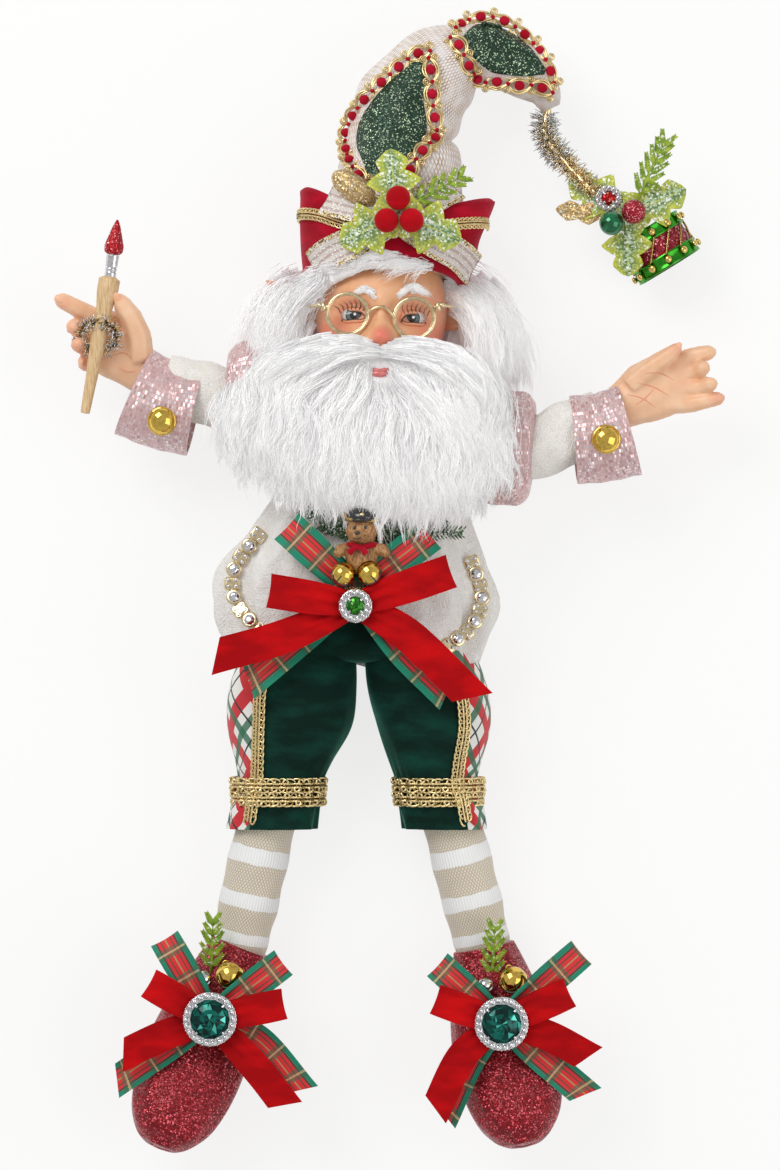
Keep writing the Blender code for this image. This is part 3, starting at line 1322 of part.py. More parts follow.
def build():
    start_clean()
    make_head()
    make_spectacles()
    make_hat()
    seat("hat_cone", "head")
    make_brim()
    seat("hat_brim", "head", "hat_cone")
    make_torso()
    seat("stuffed_torso", "head")
    make_coat()
    seat("plush_coat", "head", "stuffed_torso")
    make_wig()
    seat("wig", "head", "spectacles", "hat_cone", "hat_brim", "plush_coat")
    make_left_hand()
    make_right_hand()
    make_paintbrush()
    seat("left_hand", "brush_handle")
    for side in ("left", "right"):
        make_sleeve(side)
        seat(side + "_sleeve", side + "_hand", "plush_coat", "wig")
        make_cap_sleeve(side)
        seat(side + "_cap_sleeve", "wig", "stuffed_torso", "plush_coat", side + "_sleeve")
        make_cuff(side)
        seat(side + "_cuff", side + "_hand", side + "_sleeve")
        make_cuff_button(side)
        seat(side + "_cuff", side + "_cuff_button")
        make_stocking(side)
    make_breeches()
    seat("velvet_breeches", "stuffed_torso", "plush_coat", "left_stocking", "right_stocking")
    make_beard()
    seat("beard", "head", "left_cap_sleeve", "right_cap_sleeve", clear=2 * GAP)
    seat("beard", "spectacles", "wig", "plush_coat", "hat_brim")
    seat("beard", "left_sleeve", "right_sleeve", "stuffed_torso")
    make_hat_bow()
    seat("sheer_hat_bow", "hat_brim", "hat_cone", "wig")
    make_hat_trimmings()
    seat("glitter_pod", "hat_cone", "hat_brim", "sheer_hat_bow")
    seat("hat_holly", "sheer_hat_bow", "glitter_pod")
    seat("hat_berries", "hat_holly")
    seat("hat_sprig", "hat_cone", "hat_brim", "sheer_hat_bow", "hat_holly", "hat_berries")
    make_waist_bows()
    make_waist_trimmings()
    make_bear()
    seat("velvet_waist_bow", "left_waist_bell", "right_waist_bell", "waist_jewel")
    seat("plaid_waist_bow", "plush_coat", "velvet_breeches", "velvet_waist_bow")
    seat("plaid_waist_bow", "left_waist_bell", "right_waist_bell", "beard")
    seat("resin_bear", "plush_coat", "plaid_waist_bow", "left_waist_bell", "right_waist_bell")
    seat("resin_bear", "velvet_waist_bow", "beard")
    make_pine_sprays()
    seat("pine_sprays", "plush_coat", "beard", "resin_bear", "plaid_waist_bow")
    make_jewelled_trim("left_coat_trim", [(-58, 22), (-68.5, 7), (-67.5, -8), (-57, -20)], 3.6)
    make_jewelled_trim("right_coat_trim", [(36, 10), (40.5, -5), (36, -18), (25, -27)], 3.6)
    for side in ("left", "right"):
        seat(side + "_coat_trim", "plush_coat", "plaid_waist_bow", "velvet_waist_bow")
        make_shoe(side)
        seat(side + "_shoe", side + "_stocking")
        make_shoe_bows(side)
        make_shoe_trimmings(side)
        seat(side + "_shoe_velvet_bow", side + "_shoe_jewel", side + "_shoe_bell", side + "_shoe_bead")
        seat(side + "_shoe_plaid_bow", side + "_shoe", side + "_stocking", side + "_shoe_velvet_bow")
        seat(side + "_shoe_plaid_bow", side + "_shoe_bell", side + "_shoe_bead")
        x, y = SHOE_BOWS[side]["bead"]
        green = sprig((x + 3, y + 2, 33), (x + 4, y + 24, 40), 5, 9, 0.8, 34, 1.6)
        keep(side + "_shoe_sprig", green, "holly")
        seat(side + "_shoe_sprig", side + "_stocking", side + "_shoe_bead", side + "_shoe_bell")
        seat(side + "_shoe_sprig", side + "_shoe_plaid_bow", side + "_shoe")
    make_drum()
    make_ornament_trimmings()
    seat("ornament_holly", "drum_ornament")
    seat("gold_glitter_leaf", "ornament_holly", "drum_ornament")
    seat("ornament_sprig", "ornament_holly")
    make_tinsel()
    seat("tinsel_stem", "hat_cone", "ornament_holly", "drum_ornament")
    lighten()
    seat("beard", "head", "left_cap_sleeve", clear=0.3 * GAP)


build()
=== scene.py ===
# %% [markdown]
# # A poseable elf figurine, dressed for a render
# The figure is a cloth doll with a painted resin head and hands. It wears plush, velvet, ribbon and glitter,
# and a mass of white hair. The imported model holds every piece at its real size. This lesson adds what light
# needs: fibres, weave, gimp braid, crystals and painted features, all worked out in code.
# Lengths below are in millimetres, and turn into metres when a mesh is made.

import bpy
import numpy as np
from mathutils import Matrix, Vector
from mathutils.bvhtree import BVHTree


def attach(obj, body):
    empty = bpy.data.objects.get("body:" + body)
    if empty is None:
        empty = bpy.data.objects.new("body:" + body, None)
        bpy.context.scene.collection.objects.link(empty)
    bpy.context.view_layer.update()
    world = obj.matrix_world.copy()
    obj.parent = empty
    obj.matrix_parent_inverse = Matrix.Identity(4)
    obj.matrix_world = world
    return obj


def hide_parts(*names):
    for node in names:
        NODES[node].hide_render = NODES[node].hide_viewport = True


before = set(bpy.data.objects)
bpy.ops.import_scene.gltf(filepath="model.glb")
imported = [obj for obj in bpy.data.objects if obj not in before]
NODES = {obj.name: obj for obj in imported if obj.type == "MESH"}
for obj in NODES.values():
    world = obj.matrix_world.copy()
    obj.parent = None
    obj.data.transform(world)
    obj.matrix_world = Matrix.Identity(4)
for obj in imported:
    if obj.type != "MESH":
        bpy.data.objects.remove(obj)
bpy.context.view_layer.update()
MM = 0.001
SEED = 7
UP = np.array([0.0, 0.0, 1.0])
print("nodes:", len(NODES))

# %% [markdown]
# ## The camera
# The photograph looks straight at the figure's front through a long lens, with hardly any perspective. The
# figure lies on its back, so the camera hangs above it and looks down. The frame is 780 by 1170 pixels, and a
# pixel is 0.44 mm on the figure, so the view is 515 mm tall at the height of the chest.

# %% Hang the camera
PHOTO_HEIGHT = 1170
PIXEL = 0.44
VIEW_TALL = PHOTO_HEIGHT * PIXEL * MM
CAMERA_HEIGHT = 2.4
CHEST_LEVEL = 0.042
SENSOR = 36.0

camera_data = bpy.data.cameras.new("camera")
camera_data.sensor_width = SENSOR
camera_data.lens = SENSOR * (CAMERA_HEIGHT - CHEST_LEVEL) / VIEW_TALL
camera = bpy.data.objects.new("camera", camera_data)
camera.location = (0.0, 0.0, CAMERA_HEIGHT)
bpy.context.scene.collection.objects.link(camera)
bpy.context.scene.camera = camera
bpy.context.scene.view_settings.view_transform = "Standard"
print("lens:", round(camera_data.lens, 1), "mm")

# %% [markdown]
# ## Smooth routes and grids of points
# Nearly every piece here is a surface over two parameters: how far along a route, and how far round or across
# it. These helpers read a smooth curve through a few given points, and list the faces of such a grid.

# %% Curves and grids
def spline(rows, count):
    """Catmull-Rom: each stretch is a cubic through two points, with its slope taken from their neighbours."""
    rows = np.array(rows, float)
    padded = np.vstack([2 * rows[0] - rows[1], rows, 2 * rows[-1] - rows[-2]])
    at = np.linspace(0, len(rows) - 1, count)
    low = np.minimum(at.astype(int), len(rows) - 2)
    t = (at - low)[:, None]
    a, b, c, d = (padded[low + step] for step in range(4))
    return 0.5 * (2 * b + (c - a) * t + (2 * a - 5 * b + 4 * c - d) * t**2 + (3 * b - a - 3 * c + d) * t**3)


def reached(path):
    """How far along a path each of its points lies: the running sum of the steps' lengths."""
    return np.concatenate([[0], np.cumsum(np.linalg.norm(np.diff(path, axis=0), axis=1))])


def evened(path, count):
    """The same curve read at even steps of its length."""
    reach = reached(path)
    at = np.linspace(0, reach[-1], count)
    return np.stack([np.interp(at, reach, path[:, k]) for k in range(path.shape[1])], -1)


def unit(vectors):
    """Each vector divided by its length."""
    return vectors / np.maximum(np.linalg.norm(vectors, axis=-1, keepdims=True), 1e-9)


def sideways(along):
    """Directions turned a quarter round to the left, in the plane of the table."""
    return np.stack([-along[:, 1], along[:, 0], 0 * along[:, 0]], -1)


def round_angles(count):
    """Even angles once round, without the end that repeats the start."""
    return np.linspace(0, 2 * np.pi, count, endpoint=False)


def grid_faces(rows, cols, around=True):
    """Corner numbers of the quads of a grid; around joins the last column to the first."""
    row = np.arange(rows - 1)[:, None]
    col = np.arange(cols if around else cols - 1)[None]
    a = row * cols + col
    b = row * cols + (col + 1) % cols
    return np.stack([a, b, b + cols, a + cols], -1).reshape(-1, 4)


def ring_faces(rows, cols):
    """A grid joined both ways, as on a ring: its last row leads back to its first."""
    return grid_faces(rows + 1, cols) % (rows * cols)


def grid_uv(rows, cols, around=True, across=1.0, along=1.0):
    """UV corners that match grid_faces, so that the seam column doesn't fold back."""
    row = np.arange(rows - 1)[:, None] + np.zeros((1, cols if around else cols - 1))
    col = np.arange(cols if around else cols - 1)[None] + np.zeros((rows - 1, 1))
    steps = np.stack([np.stack([col + c, row + r], -1) for c, r in ((0, 0), (1, 0), (1, 1), (0, 1))], -2)
    size = (across / (cols if around else cols - 1), along / (rows - 1))
    return (steps * size).reshape(-1, 2)


print("a 3 by 4 ring grid has", len(grid_faces(3, 4)), "quads")

# %% [markdown]
# ## From arrays to pieces
# A piece is one mesh with its finish, riding on the figure's only body. When it stands for a solid of the
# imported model, that solid is hidden. The signed volume of its triangles tells whether the faces point
# outwards: if it comes out negative, every face is turned round.

# %% Make a piece
def tell_volume(points, faces):
    """A sixth of the sum of a . (b x c) over the triangles of a fan in each face."""
    total = 0.0
    for group in faces:
        for k in range(1, group.shape[1] - 1):
            a, b, c = points[group[:, 0]], points[group[:, k]], points[group[:, k + 1]]
            total += float((a * np.cross(b, c)).sum()) / 6
    return total


def groups_of(faces):
    """Groups of faces as a list, also where there is only one."""
    return faces if isinstance(faces, list) else [faces]


def piece(name, points, faces, finish, stands_for=(), uv=None, sharp=None, tint=None):
    """A mesh object from points in millimetres and groups of corner numbers, all with one finish."""
    points = np.asarray(points, float).reshape(-1, 3)
    groups = [np.asarray(group, int) for group in groups_of(faces)]
    if tell_volume(points - points.mean(0), groups) < 0:
        groups = [group[:, ::-1] for group in groups]
        if uv is not None:
            cut = np.cumsum([group.size for group in groups])[:-1]
            parts = np.split(np.asarray(uv), cut)
            turned_round = [part.reshape(*g.shape, 2)[:, ::-1] for part, g in zip(parts, groups)]
            uv = np.concatenate([part.reshape(-1, 2) for part in turned_round])
    mesh = bpy.data.meshes.new(name)
    mesh.from_pydata((points * MM).tolist(), [], [row for group in groups for row in group.tolist()])
    if uv is not None:
        layer = mesh.uv_layers.new(name="UVMap")
        layer.data.foreach_set("uv", np.asarray(uv, np.float32).reshape(-1))
    if tint is not None:
        layer = mesh.attributes.new("tint", "FLOAT", "POINT")
        layer.data.foreach_set("value", np.asarray(tint, np.float32).reshape(-1))
    mesh.shade_smooth()
    if sharp is not None:
        mesh.set_sharp_from_angle(angle=np.radians(sharp))
    mesh.materials.append(finish)
    made = bpy.data.objects.new(name, mesh)
    bpy.context.scene.collection.objects.link(made)
    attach(made, "root")
    stands_for = [stands_for] if isinstance(stands_for, str) else stands_for
    if stands_for:
        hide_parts(*stands_for)
    return made


def solid(points):
    """A closed skin as (points, faces): a grid's quads, and a fan about a middle point at each end."""
    rows, cols = points.shape[:2]
    flat = points.reshape(-1, 3)
    ends = np.stack([points[0].mean(0), points[-1].mean(0)])
    first, last = rows * cols, rows * cols + 1
    col = np.arange(cols)
    after = (col + 1) % cols
    low = np.stack([np.full(cols, first), after, col], -1)
    high = np.stack([np.full(cols, last), (rows - 1) * cols + col, (rows - 1) * cols + after], -1)
    return np.vstack([flat, ends]), [grid_faces(rows, cols), low, high]


def surface(name, points, finish, stands_for=(), across=1.0, along=1.0, sharp=None):
    """A closed skin over rings of points, with its UVs running round and along in the sizes given."""
    rows, cols = points.shape[:2]
    spots, faces = solid(points)
    caps = np.tile([[across / 2, 0.0]], (3 * cols, 1))
    uv = np.vstack([grid_uv(rows, cols, True, across, along), caps, caps + [0.0, along]])
    return piece(name, spots, faces, finish, stands_for, uv, sharp)


def merged(parts):
    """Several (points, faces) shapes as one list of points and faces."""
    spots, groups, start = [], {}, 0
    for points, faces in parts:
        points = np.asarray(points).reshape(-1, 3)
        for group in groups_of(faces):
            groups.setdefault(group.shape[1], []).append(group + start)
        spots.append(points)
        start += len(points)
    return np.vstack(spots), [np.vstack(groups[size]) for size in sorted(groups)]


def copies(points, faces, places, turns=None):
    """One small shape repeated: every copy is turned by its 3x3 matrix, then moved to its place."""
    places = np.asarray(places, float).reshape(-1, 3)
    count = len(places)
    turns = np.broadcast_to(np.eye(3), (count, 3, 3)) if turns is None else turns
    spots = np.einsum("nij,pj->npi", turns, points) + places[:, None]
    steps = np.arange(count)[:, None, None] * len(points)
    groups = [(group[None] + steps).reshape(-1, group.shape[1]) for group in groups_of(faces)]
    return spots.reshape(-1, 3), groups


# %% [markdown]
# ## Lofts, tubes, turned shapes and balls
# A loft carries an ellipse along a route, with one depth to the front and another to the back, so that a limb
# can bulge at the front and lie flat behind. A tube is the same with a round section. A turned shape is a
# profile spun about an axis, and a ball is one whose profile is half a circle.

# %% Forms
def loft(stations, sides, rings, floor=None, upright=False, shape=None):
    """Ellipse of (half width, front, back) at each (x, y, z) of a route; shape(angle, share) scales it."""
    rows = spline(stations, rings)
    centre = rows[:, :3]
    along = unit(np.gradient(centre, axis=0))
    if upright:
        along = along * 0 + np.sign(along[:, 1:2]) * np.array([0.0, 1.0, 0.0])
    front = unit(UP - along * (along @ UP)[:, None])
    across = np.cross(along, front)
    angle = round_angles(sides)
    share = np.linspace(0, 1, rings)[:, None]
    wave = 1.0 if shape is None else shape(angle[None], share)
    radii = np.maximum(rows[:, 3:], 0.05)
    wide = radii[:, :1] * np.cos(angle) * wave
    deep = np.where(np.sin(angle) > 0, radii[:, 1:2], radii[:, 2:3]) * np.sin(angle) * wave
    points = centre[:, None] + across[:, None] * wide[..., None] + front[:, None] * deep[..., None]
    if floor is not None:
        points[..., 2] = np.maximum(points[..., 2], floor)
    return points


def frames(path):
    """A direction along the path at each point, and two more square to it that don't twist with the view."""
    along = unit(np.gradient(path, axis=0))
    lean = np.where(np.abs(along[:, 2:3]) > 0.9, [[1.0, 0.0, 0.0]], [[0.0, 0.0, 1.0]])
    one = unit(np.cross(along, lean))
    return along, one, np.cross(along, one)


def circled(one, two, sides):
    """Directions to the corners of a circle, for each pair of directions that span its plane."""
    angle = round_angles(sides)[None, :, None]
    return one[:, None] * np.cos(angle) + two[:, None] * np.sin(angle)


def on_circle(angle, radius, level=0.0):
    """Places at these angles round a flat circle of a radius, at a level."""
    return np.stack([np.cos(angle) * radius, np.sin(angle) * radius, 0 * angle + level], -1)


def tube(path, radius, sides=8):
    """A circle of the given radius, or of one radius for each point, carried along a path."""
    path = np.asarray(path, float)
    _, one, two = frames(path)
    return path[:, None] + circled(one, two, sides) * np.broadcast_to(radius, len(path))[:, None, None]


def loop(path, radius, sides=6):
    """A tube whose end joins its start."""
    path = np.asarray(path, float)
    along = unit(np.roll(path, -1, 0) - np.roll(path, 1, 0))
    one = unit(np.cross(along, UP))
    points = path[:, None] + circled(one, np.cross(along, one), sides) * radius
    return points.reshape(-1, 3), [ring_faces(len(path), sides)]


def turned(profile, base, axis, sides=24):
    """(distance, radius) pairs of a profile, spun about an axis from its base."""
    profile = np.array(profile, float)
    axis = unit(np.array(axis, float))
    lean = UP if abs(axis[2]) < 0.9 else np.array([1.0, 0.0, 0.0])
    one = unit(np.cross(axis, lean))
    ring = circled(one[None], np.cross(axis, one)[None], sides)
    middle = np.array(base, float) + axis * profile[:, :1]
    return middle[:, None] + ring * np.maximum(profile[:, 1], 0.02)[:, None, None]


def ball(centre, radii, rings=16, sides=24, axis=(0, 0, 1)):
    """A half circle of rings spun about an axis, then scaled to its radii when they differ."""
    angle = np.linspace(0.0, np.pi, rings)
    profile = np.stack([-np.cos(angle), np.sin(angle)], -1)
    return turned(profile, (0, 0, 0), axis, sides) * np.broadcast_to(radii, 3) + np.array(centre, float)


print("a ball of 16 by 24 has", 15 * 24, "quads")

# %% [markdown]
# ## Ribbons
# A ribbon is a thin strip with rounded edges, carried across a path. It can dip in its middle, crease where it
# is drawn together and be cut askew at its end. Its UVs are in millimetres, so that a woven pattern keeps its
# size on every bow.

# %% Ribbons
def ribbon(path, sides, width, thick, columns=11, slant=0.0, curl=0.0, crease=0.0):
    """A strip across a path: a slant cut at its end, a curl that dips its middle, and creases near a knot."""
    path = np.asarray(path, float)
    along = unit(np.gradient(path, axis=0))
    sides = unit(np.broadcast_to(np.asarray(sides, float), path.shape))
    sides = unit(sides - along * (sides * along).sum(1, keepdims=True))
    normal = np.cross(along, sides)
    across = np.linspace(-1, 1, columns)
    low = across[::-1]
    spots = np.concatenate([across, low])
    face = np.concatenate([np.ones(columns), -np.ones(columns)])
    width = np.broadcast_to(np.asarray(width, float), len(path))
    creases = np.broadcast_to(np.asarray(crease, float), len(path))[:, None] * np.cos(spots * 8.5)[None]
    height = (face * thick / 2 - curl * (1 - spots**2))[None] + creases
    lean = np.zeros(len(path))
    lean[-max(len(path) // 5, 2):] = np.linspace(0, 1, max(len(path) // 5, 2))
    points = path[:, None] + sides[:, None] * (spots[None] * width[:, None] / 2)[..., None]
    points = points + normal[:, None] * height[..., None]
    points = points + along[:, None] * (lean[:, None] * spots[None] * slant)[..., None]
    reach = reached(path)
    return points, spots * width.max() / 2, reach


def ribbon_part(path, sides, width, thick, **shape):
    """A ribbon as (points, faces, uv), its UVs in millimetres across from the middle and along."""
    points, across, reach = ribbon(path, sides, width, thick, **shape)
    rows, cols = points.shape[:2]
    spots, faces = solid(points)
    col = np.arange(cols)
    after = (col + 1) % cols
    quads = []
    for c, r in ((col, 0), (after, 0), (after, 1), (col, 1)):
        u = np.broadcast_to(across[c][None], (rows - 1, cols))
        v = np.broadcast_to((reach[:-1] if r == 0 else reach[1:])[:, None], (rows - 1, cols))
        quads.append(np.stack([u, v], -1))
    quads = np.stack(quads, -2).reshape(-1, 2)
    caps = np.zeros((3 * cols, 2))
    return spots, faces, [quads, caps, caps + [0.0, reach[-1]]]


def ribbons(name, parts, finish, stands_for=()):
    """Several ribbon parts as one piece."""
    spots, quads, tris, quad_uv, tri_uv, start = [], [], [], [], [], 0
    for points, faces, uv in parts:
        spots.append(points)
        quads.append(faces[0] + start)
        tris.append(np.vstack(faces[1:]) + start)
        quad_uv.append(uv[0])
        tri_uv.append(np.vstack(uv[1:]))
        start += len(points)
    uv = np.vstack(quad_uv + tri_uv)
    return piece(name, np.vstack(spots), [np.vstack(quads), np.vstack(tris)], finish, stands_for, uv, 50)


print("ribbons ready")

# %% [markdown]
# ## Shader maths as expressions
# A finish is a small net of nodes. Wrapping a socket in a class whose operators add Math nodes lets a mask be
# written as a formula. Everything else comes from one method that takes a node's type, settings and values.

# %% Sockets that take part in sums
class Value:
    """A number socket that takes part in sums: value * 2 + other adds the Math nodes."""

    def __init__(self, paint, socket):
        self.paint = paint
        self.socket = socket

    def run(self, operation, *others):
        """One Math node on this socket and others."""
        inputs = dict(enumerate([self.socket, *others]))
        made = self.paint.node("ShaderNodeMath", {"operation": operation}, inputs)
        return Value(self.paint, made.outputs[0])

    def __add__(self, other):
        return self.run("ADD", other)

    def __sub__(self, other):
        return self.run("SUBTRACT", other)

    def __mul__(self, other):
        return self.run("MULTIPLY", other)

    def __truediv__(self, other):
        return self.run("DIVIDE", other)

    def __rsub__(self, other):
        return (self * -1) + other

    __radd__ = __add__
    __rmul__ = __mul__

    def sin(self):
        return self.run("SINE")

    def size(self):
        return self.run("ABSOLUTE")

    def least(self, other):
        return self.run("MINIMUM", other)

    def most(self, other):
        return self.run("MAXIMUM", other)

    def part(self):
        return self.run("FRACT")

    def whole(self):
        return self.run("FLOOR")

    def below(self, other):
        return self.run("LESS_THAN", other)

    def above(self, other):
        return self.run("GREATER_THAN", other)

    def power(self, other):
        return self.run("POWER", other)

    def held(self):
        """Held between 0 and 1."""
        return self.most(0.0).least(1.0)

    def step(self, low, high):
        """A ramp from 0 at low to 1 at high, held outside."""
        return ((self - low) / (high - low)).held()


print("a value knows", len([name for name in dir(Value) if name[0] != "_"]), "operations by name")

# %% [markdown]
# ## A paint box
# A Paint holds one material and makes the nodes that most finishes share: noise for clouded colours, cells for
# flakes, a bump for relief, and mixes that lay one colour over another. Numbers that stay the same go straight
# into the shader's sockets, and only what changes over a surface gets nodes.

# %% A paint box for node materials
class Paint:
    """One material: its nodes, the places a pattern can follow, and its Principled shader."""

    def __init__(self, name, **sockets):
        self.material = bpy.data.materials.new(name)
        self.material.use_nodes = True
        self.tree = self.material.node_tree
        self.shader = self.tree.nodes["Principled BSDF"]
        self.give(self.shader, sockets)
        self.spots = self.tree.nodes.new("ShaderNodeTexCoord")

    def give(self, node, inputs):
        """Sets each named socket of a node: a link from another socket, a colour or a number."""
        for key, value in inputs.items():
            key = key.replace("_", " ") if isinstance(key, str) else key
            socket = node.inputs[key]
            value = value.socket if isinstance(value, Value) else value
            if isinstance(value, bpy.types.NodeSocket):
                self.tree.links.new(value, socket)
            elif isinstance(value, (tuple, list)) and len(socket.default_value) == 4:
                socket.default_value = (*value[:3], 1.0)
            else:
                socket.default_value = value

    def node(self, kind, settings=None, inputs=None):
        """Any node: its settings first, and then its sockets."""
        made = self.tree.nodes.new(kind)
        for key, value in (settings or {}).items():
            setattr(made, key, value)
        self.give(made, inputs or {})
        return made

    def value(self, socket):
        """A number socket as a Value."""
        return Value(self, socket)

    def vectors(self, operation, one, other=None):
        """A vector from one or two others; SCALE takes a number for the second."""
        inputs = {0: one} if other is None else {0: one, "Scale" if operation == "SCALE" else 1: other}
        return self.node("ShaderNodeVectorMath", {"operation": operation}, inputs).outputs[0]

    def object_mm(self):
        """Object coordinates in millimetres, as a vector socket."""
        return self.vectors("SCALE", self.spots.outputs["Object"], 1000.0)

    def uv(self):
        """The piece's own UV map, as a vector socket."""
        return self.spots.outputs["UV"]

    def axes(self, vector):
        """The three numbers of a vector."""
        split = self.node("ShaderNodeSeparateXYZ", None, {0: vector})
        return tuple(self.value(split.outputs[k]) for k in range(3))

    def stretched(self, vector, x, y, z):
        """A vector scaled by its own factor along each axis."""
        return self.vectors("MULTIPLY", vector, (x, y, z))

    def noise(self, vector, scale, detail=2.0, rough=0.5):
        """Clouds between 0 and 1, as a Value."""
        inputs = {"Vector": vector, "Scale": scale, "Detail": detail, "Roughness": rough}
        return self.value(self.node("ShaderNodeTexNoise", None, inputs).outputs[0])

    def cells(self, vector, scale):
        """Scattered cells: (distance from the middle, one random number for each cell, its colour socket)."""
        made = self.node("ShaderNodeTexVoronoi", {"feature": "F1"}, {"Vector": vector, "Scale": scale})
        chance = self.node("ShaderNodeSeparateColor", None, {0: made.outputs["Color"]})
        return self.value(made.outputs["Distance"]), self.value(chance.outputs[0]), made.outputs["Color"]

    def blend(self, share, one, two):
        """A mix of two colours, each a triple or a socket."""
        made = self.node("ShaderNodeMix", {"data_type": "RGBA", "blend_type": "MIX"}, {"Factor": share})
        for socket, colour in ((made.inputs[6], one), (made.inputs[7], two)):
            if isinstance(colour, (tuple, list)):
                socket.default_value = (*colour[:3], 1.0)
            else:
                self.tree.links.new(colour, socket)
        return made.outputs[2]

    def over(self, colour, *layers):
        """A colour with others laid over it in turn, each given as (share, colour)."""
        for share, laid in layers:
            colour = self.blend(share, colour, laid)
        return colour

    def bump(self, height, distance, strength=1.0):
        """A bump of a height field whose full range stands the distance, in millimetres."""
        inputs = {"Height": height, "Distance": distance * MM, "Strength": strength}
        return self.node("ShaderNodeBump", None, inputs).outputs[0]

    def sparkle(self, colour, spread):
        """The surface's normal tipped in each cell by that cell's random colour, as loose flakes lie."""
        tipped = self.vectors("SCALE", self.vectors("SUBTRACT", colour, (0.5, 0.5, 0.5)), spread)
        normal = self.node("ShaderNodeNewGeometry").outputs["Normal"]
        return self.vectors("NORMALIZE", self.vectors("ADD", tipped, normal))

    def shade(self, **sockets):
        """Fills the shader's last sockets and gives the finished material."""
        self.give(self.shader, sockets)
        return self.material


print("paint box ready")

# %% [markdown]
# ## Cloth and fur finishes
# Velvet is dark where it faces the eye and light at its edges, which is what a sheen lobe does; its lighter
# streaks are painted sheen, standing for crushed pile that catches the light, and come from stretched noise.
# Plush is crushed, so its pile lies in patches, with painted shade in the hollows of its folds and painted
# glints. Hair gets its look from thousands of real strands: a lock has its own tone between grey and white, and
# each strand pales towards its tip, its darker root being painted shade. Plush and hair also have painted
# light: a faint glow of their own stands in for the light that scatters among their fibres.

# %% Velvet, plush, fur
def velvet(name, deep, light, sheen_tint):
    """Deep pile: painted sheen in lighter streaks of stretched noise, and a sheen lobe lighting the edges."""
    paint = Paint(name, Roughness=0.85, Sheen_Weight=0.55, Sheen_Roughness=0.35, Specular_IOR_Level=0.15)
    paint.give(paint.shader, {"Sheen Tint": sheen_tint})
    spots = paint.object_mm()
    patches = paint.noise(paint.stretched(spots, 0.05, 0.12, 0.05), 1.0, 3.0).step(0.42, 0.72)
    pile = paint.noise(spots, 2.2, 2.0)
    # painted sheen: the lighter streaks stand for crushed pile that catches the light
    colour = paint.blend(patches * 0.7 + pile * 0.15, deep, light)
    return paint.shade(Base_Color=colour, Normal=paint.bump(pile + patches, 0.25, 0.5))


def plush(name, white, fold_shade, crush, depth):
    """Crushed pile: painted shade in fold hollows, painted glints and glow, and a bump of the given depth."""
    paint = Paint(name, Roughness=0.9, Sheen_Weight=0.5, Sheen_Roughness=0.5, Specular_IOR_Level=0.2)
    spots = paint.object_mm()
    folds = paint.noise(spots, crush, 4.0, 0.62)
    pile = paint.noise(spots, 1.6, 3.0)
    glints = paint.noise(paint.stretched(spots, 0.5, 0.2, 0.4), 1.0, 3.0).step(0.56, 0.66)
    # painted shade: the low parts of the folds are blended towards the darker white
    colour = paint.blend((folds * 0.9 + pile * 0.3 - 0.25).held(), fold_shade, white)
    # painted glints: stretched noise lightens a few patches almost to white
    colour = paint.blend(glints * 0.6, colour, (0.98, 0.98, 0.98))
    bump = paint.bump(folds * 2 + pile, depth, 0.7)
    # painted light: a faint glow stands in for light scattered among the fibres
    return paint.shade(Base_Color=colour, Normal=bump, Emission_Color=colour, Emission_Strength=0.07)


def hair(name, root, tip):
    """The tint attribute leads each strand from a painted-shade root to its tip's colour; the glow is painted."""
    paint = Paint(name, Roughness=0.55, Sheen_Weight=0.3, Sheen_Roughness=0.4, Specular_IOR_Level=0.35)
    tint = paint.value(paint.node("ShaderNodeAttribute", {"attribute_name": "tint"}).outputs["Fac"])
    # painted shade: the darker root colour stands for the shade deep in the hair
    colour = paint.blend(tint.held(), root, tip)
    # painted light: a faint glow stands in for light scattered among the strands
    return paint.shade(Base_Color=colour, Emission_Color=colour, Emission_Strength=0.17)


RED_VELVET = velvet("red_velvet_pile", (0.34, 0.0, 0.002), (0.68, 0.002, 0.004), (1.0, 0.16, 0.12))
GREEN_VELVET = velvet("green_velvet_pile", (0.001, 0.012, 0.008), (0.004, 0.058, 0.038), (0.22, 0.8, 0.6))
BRIM_VELVET = velvet("brim_velvet_pile", (0.30, 0.001, 0.01), (0.62, 0.003, 0.03), (1.0, 0.25, 0.35))
COAT_PLUSH = plush("coat_plush", (1.0, 0.985, 0.96), (0.84, 0.81, 0.76), 0.14, 1.6)
SLEEVE_PLUSH = plush("sleeve_plush", (1.0, 0.985, 0.95), (0.86, 0.82, 0.74), 0.20, 1.4)
TORSO_CLOTH = plush("torso_cloth", (0.98, 0.96, 0.92), (0.86, 0.83, 0.77), 1.2, 0.3)
WHITE_HAIR = hair("white_hair", (0.66, 0.65, 0.66), (1.0, 0.995, 0.99))
# painted shade: the bulk under the strands is greyer, for the shade deep in the hair
HAIR_SHADE = plush("hair_depth_shade", (0.94, 0.93, 0.93), (0.74, 0.73, 0.73), 0.5, 0.5)
print("cloth finishes made")
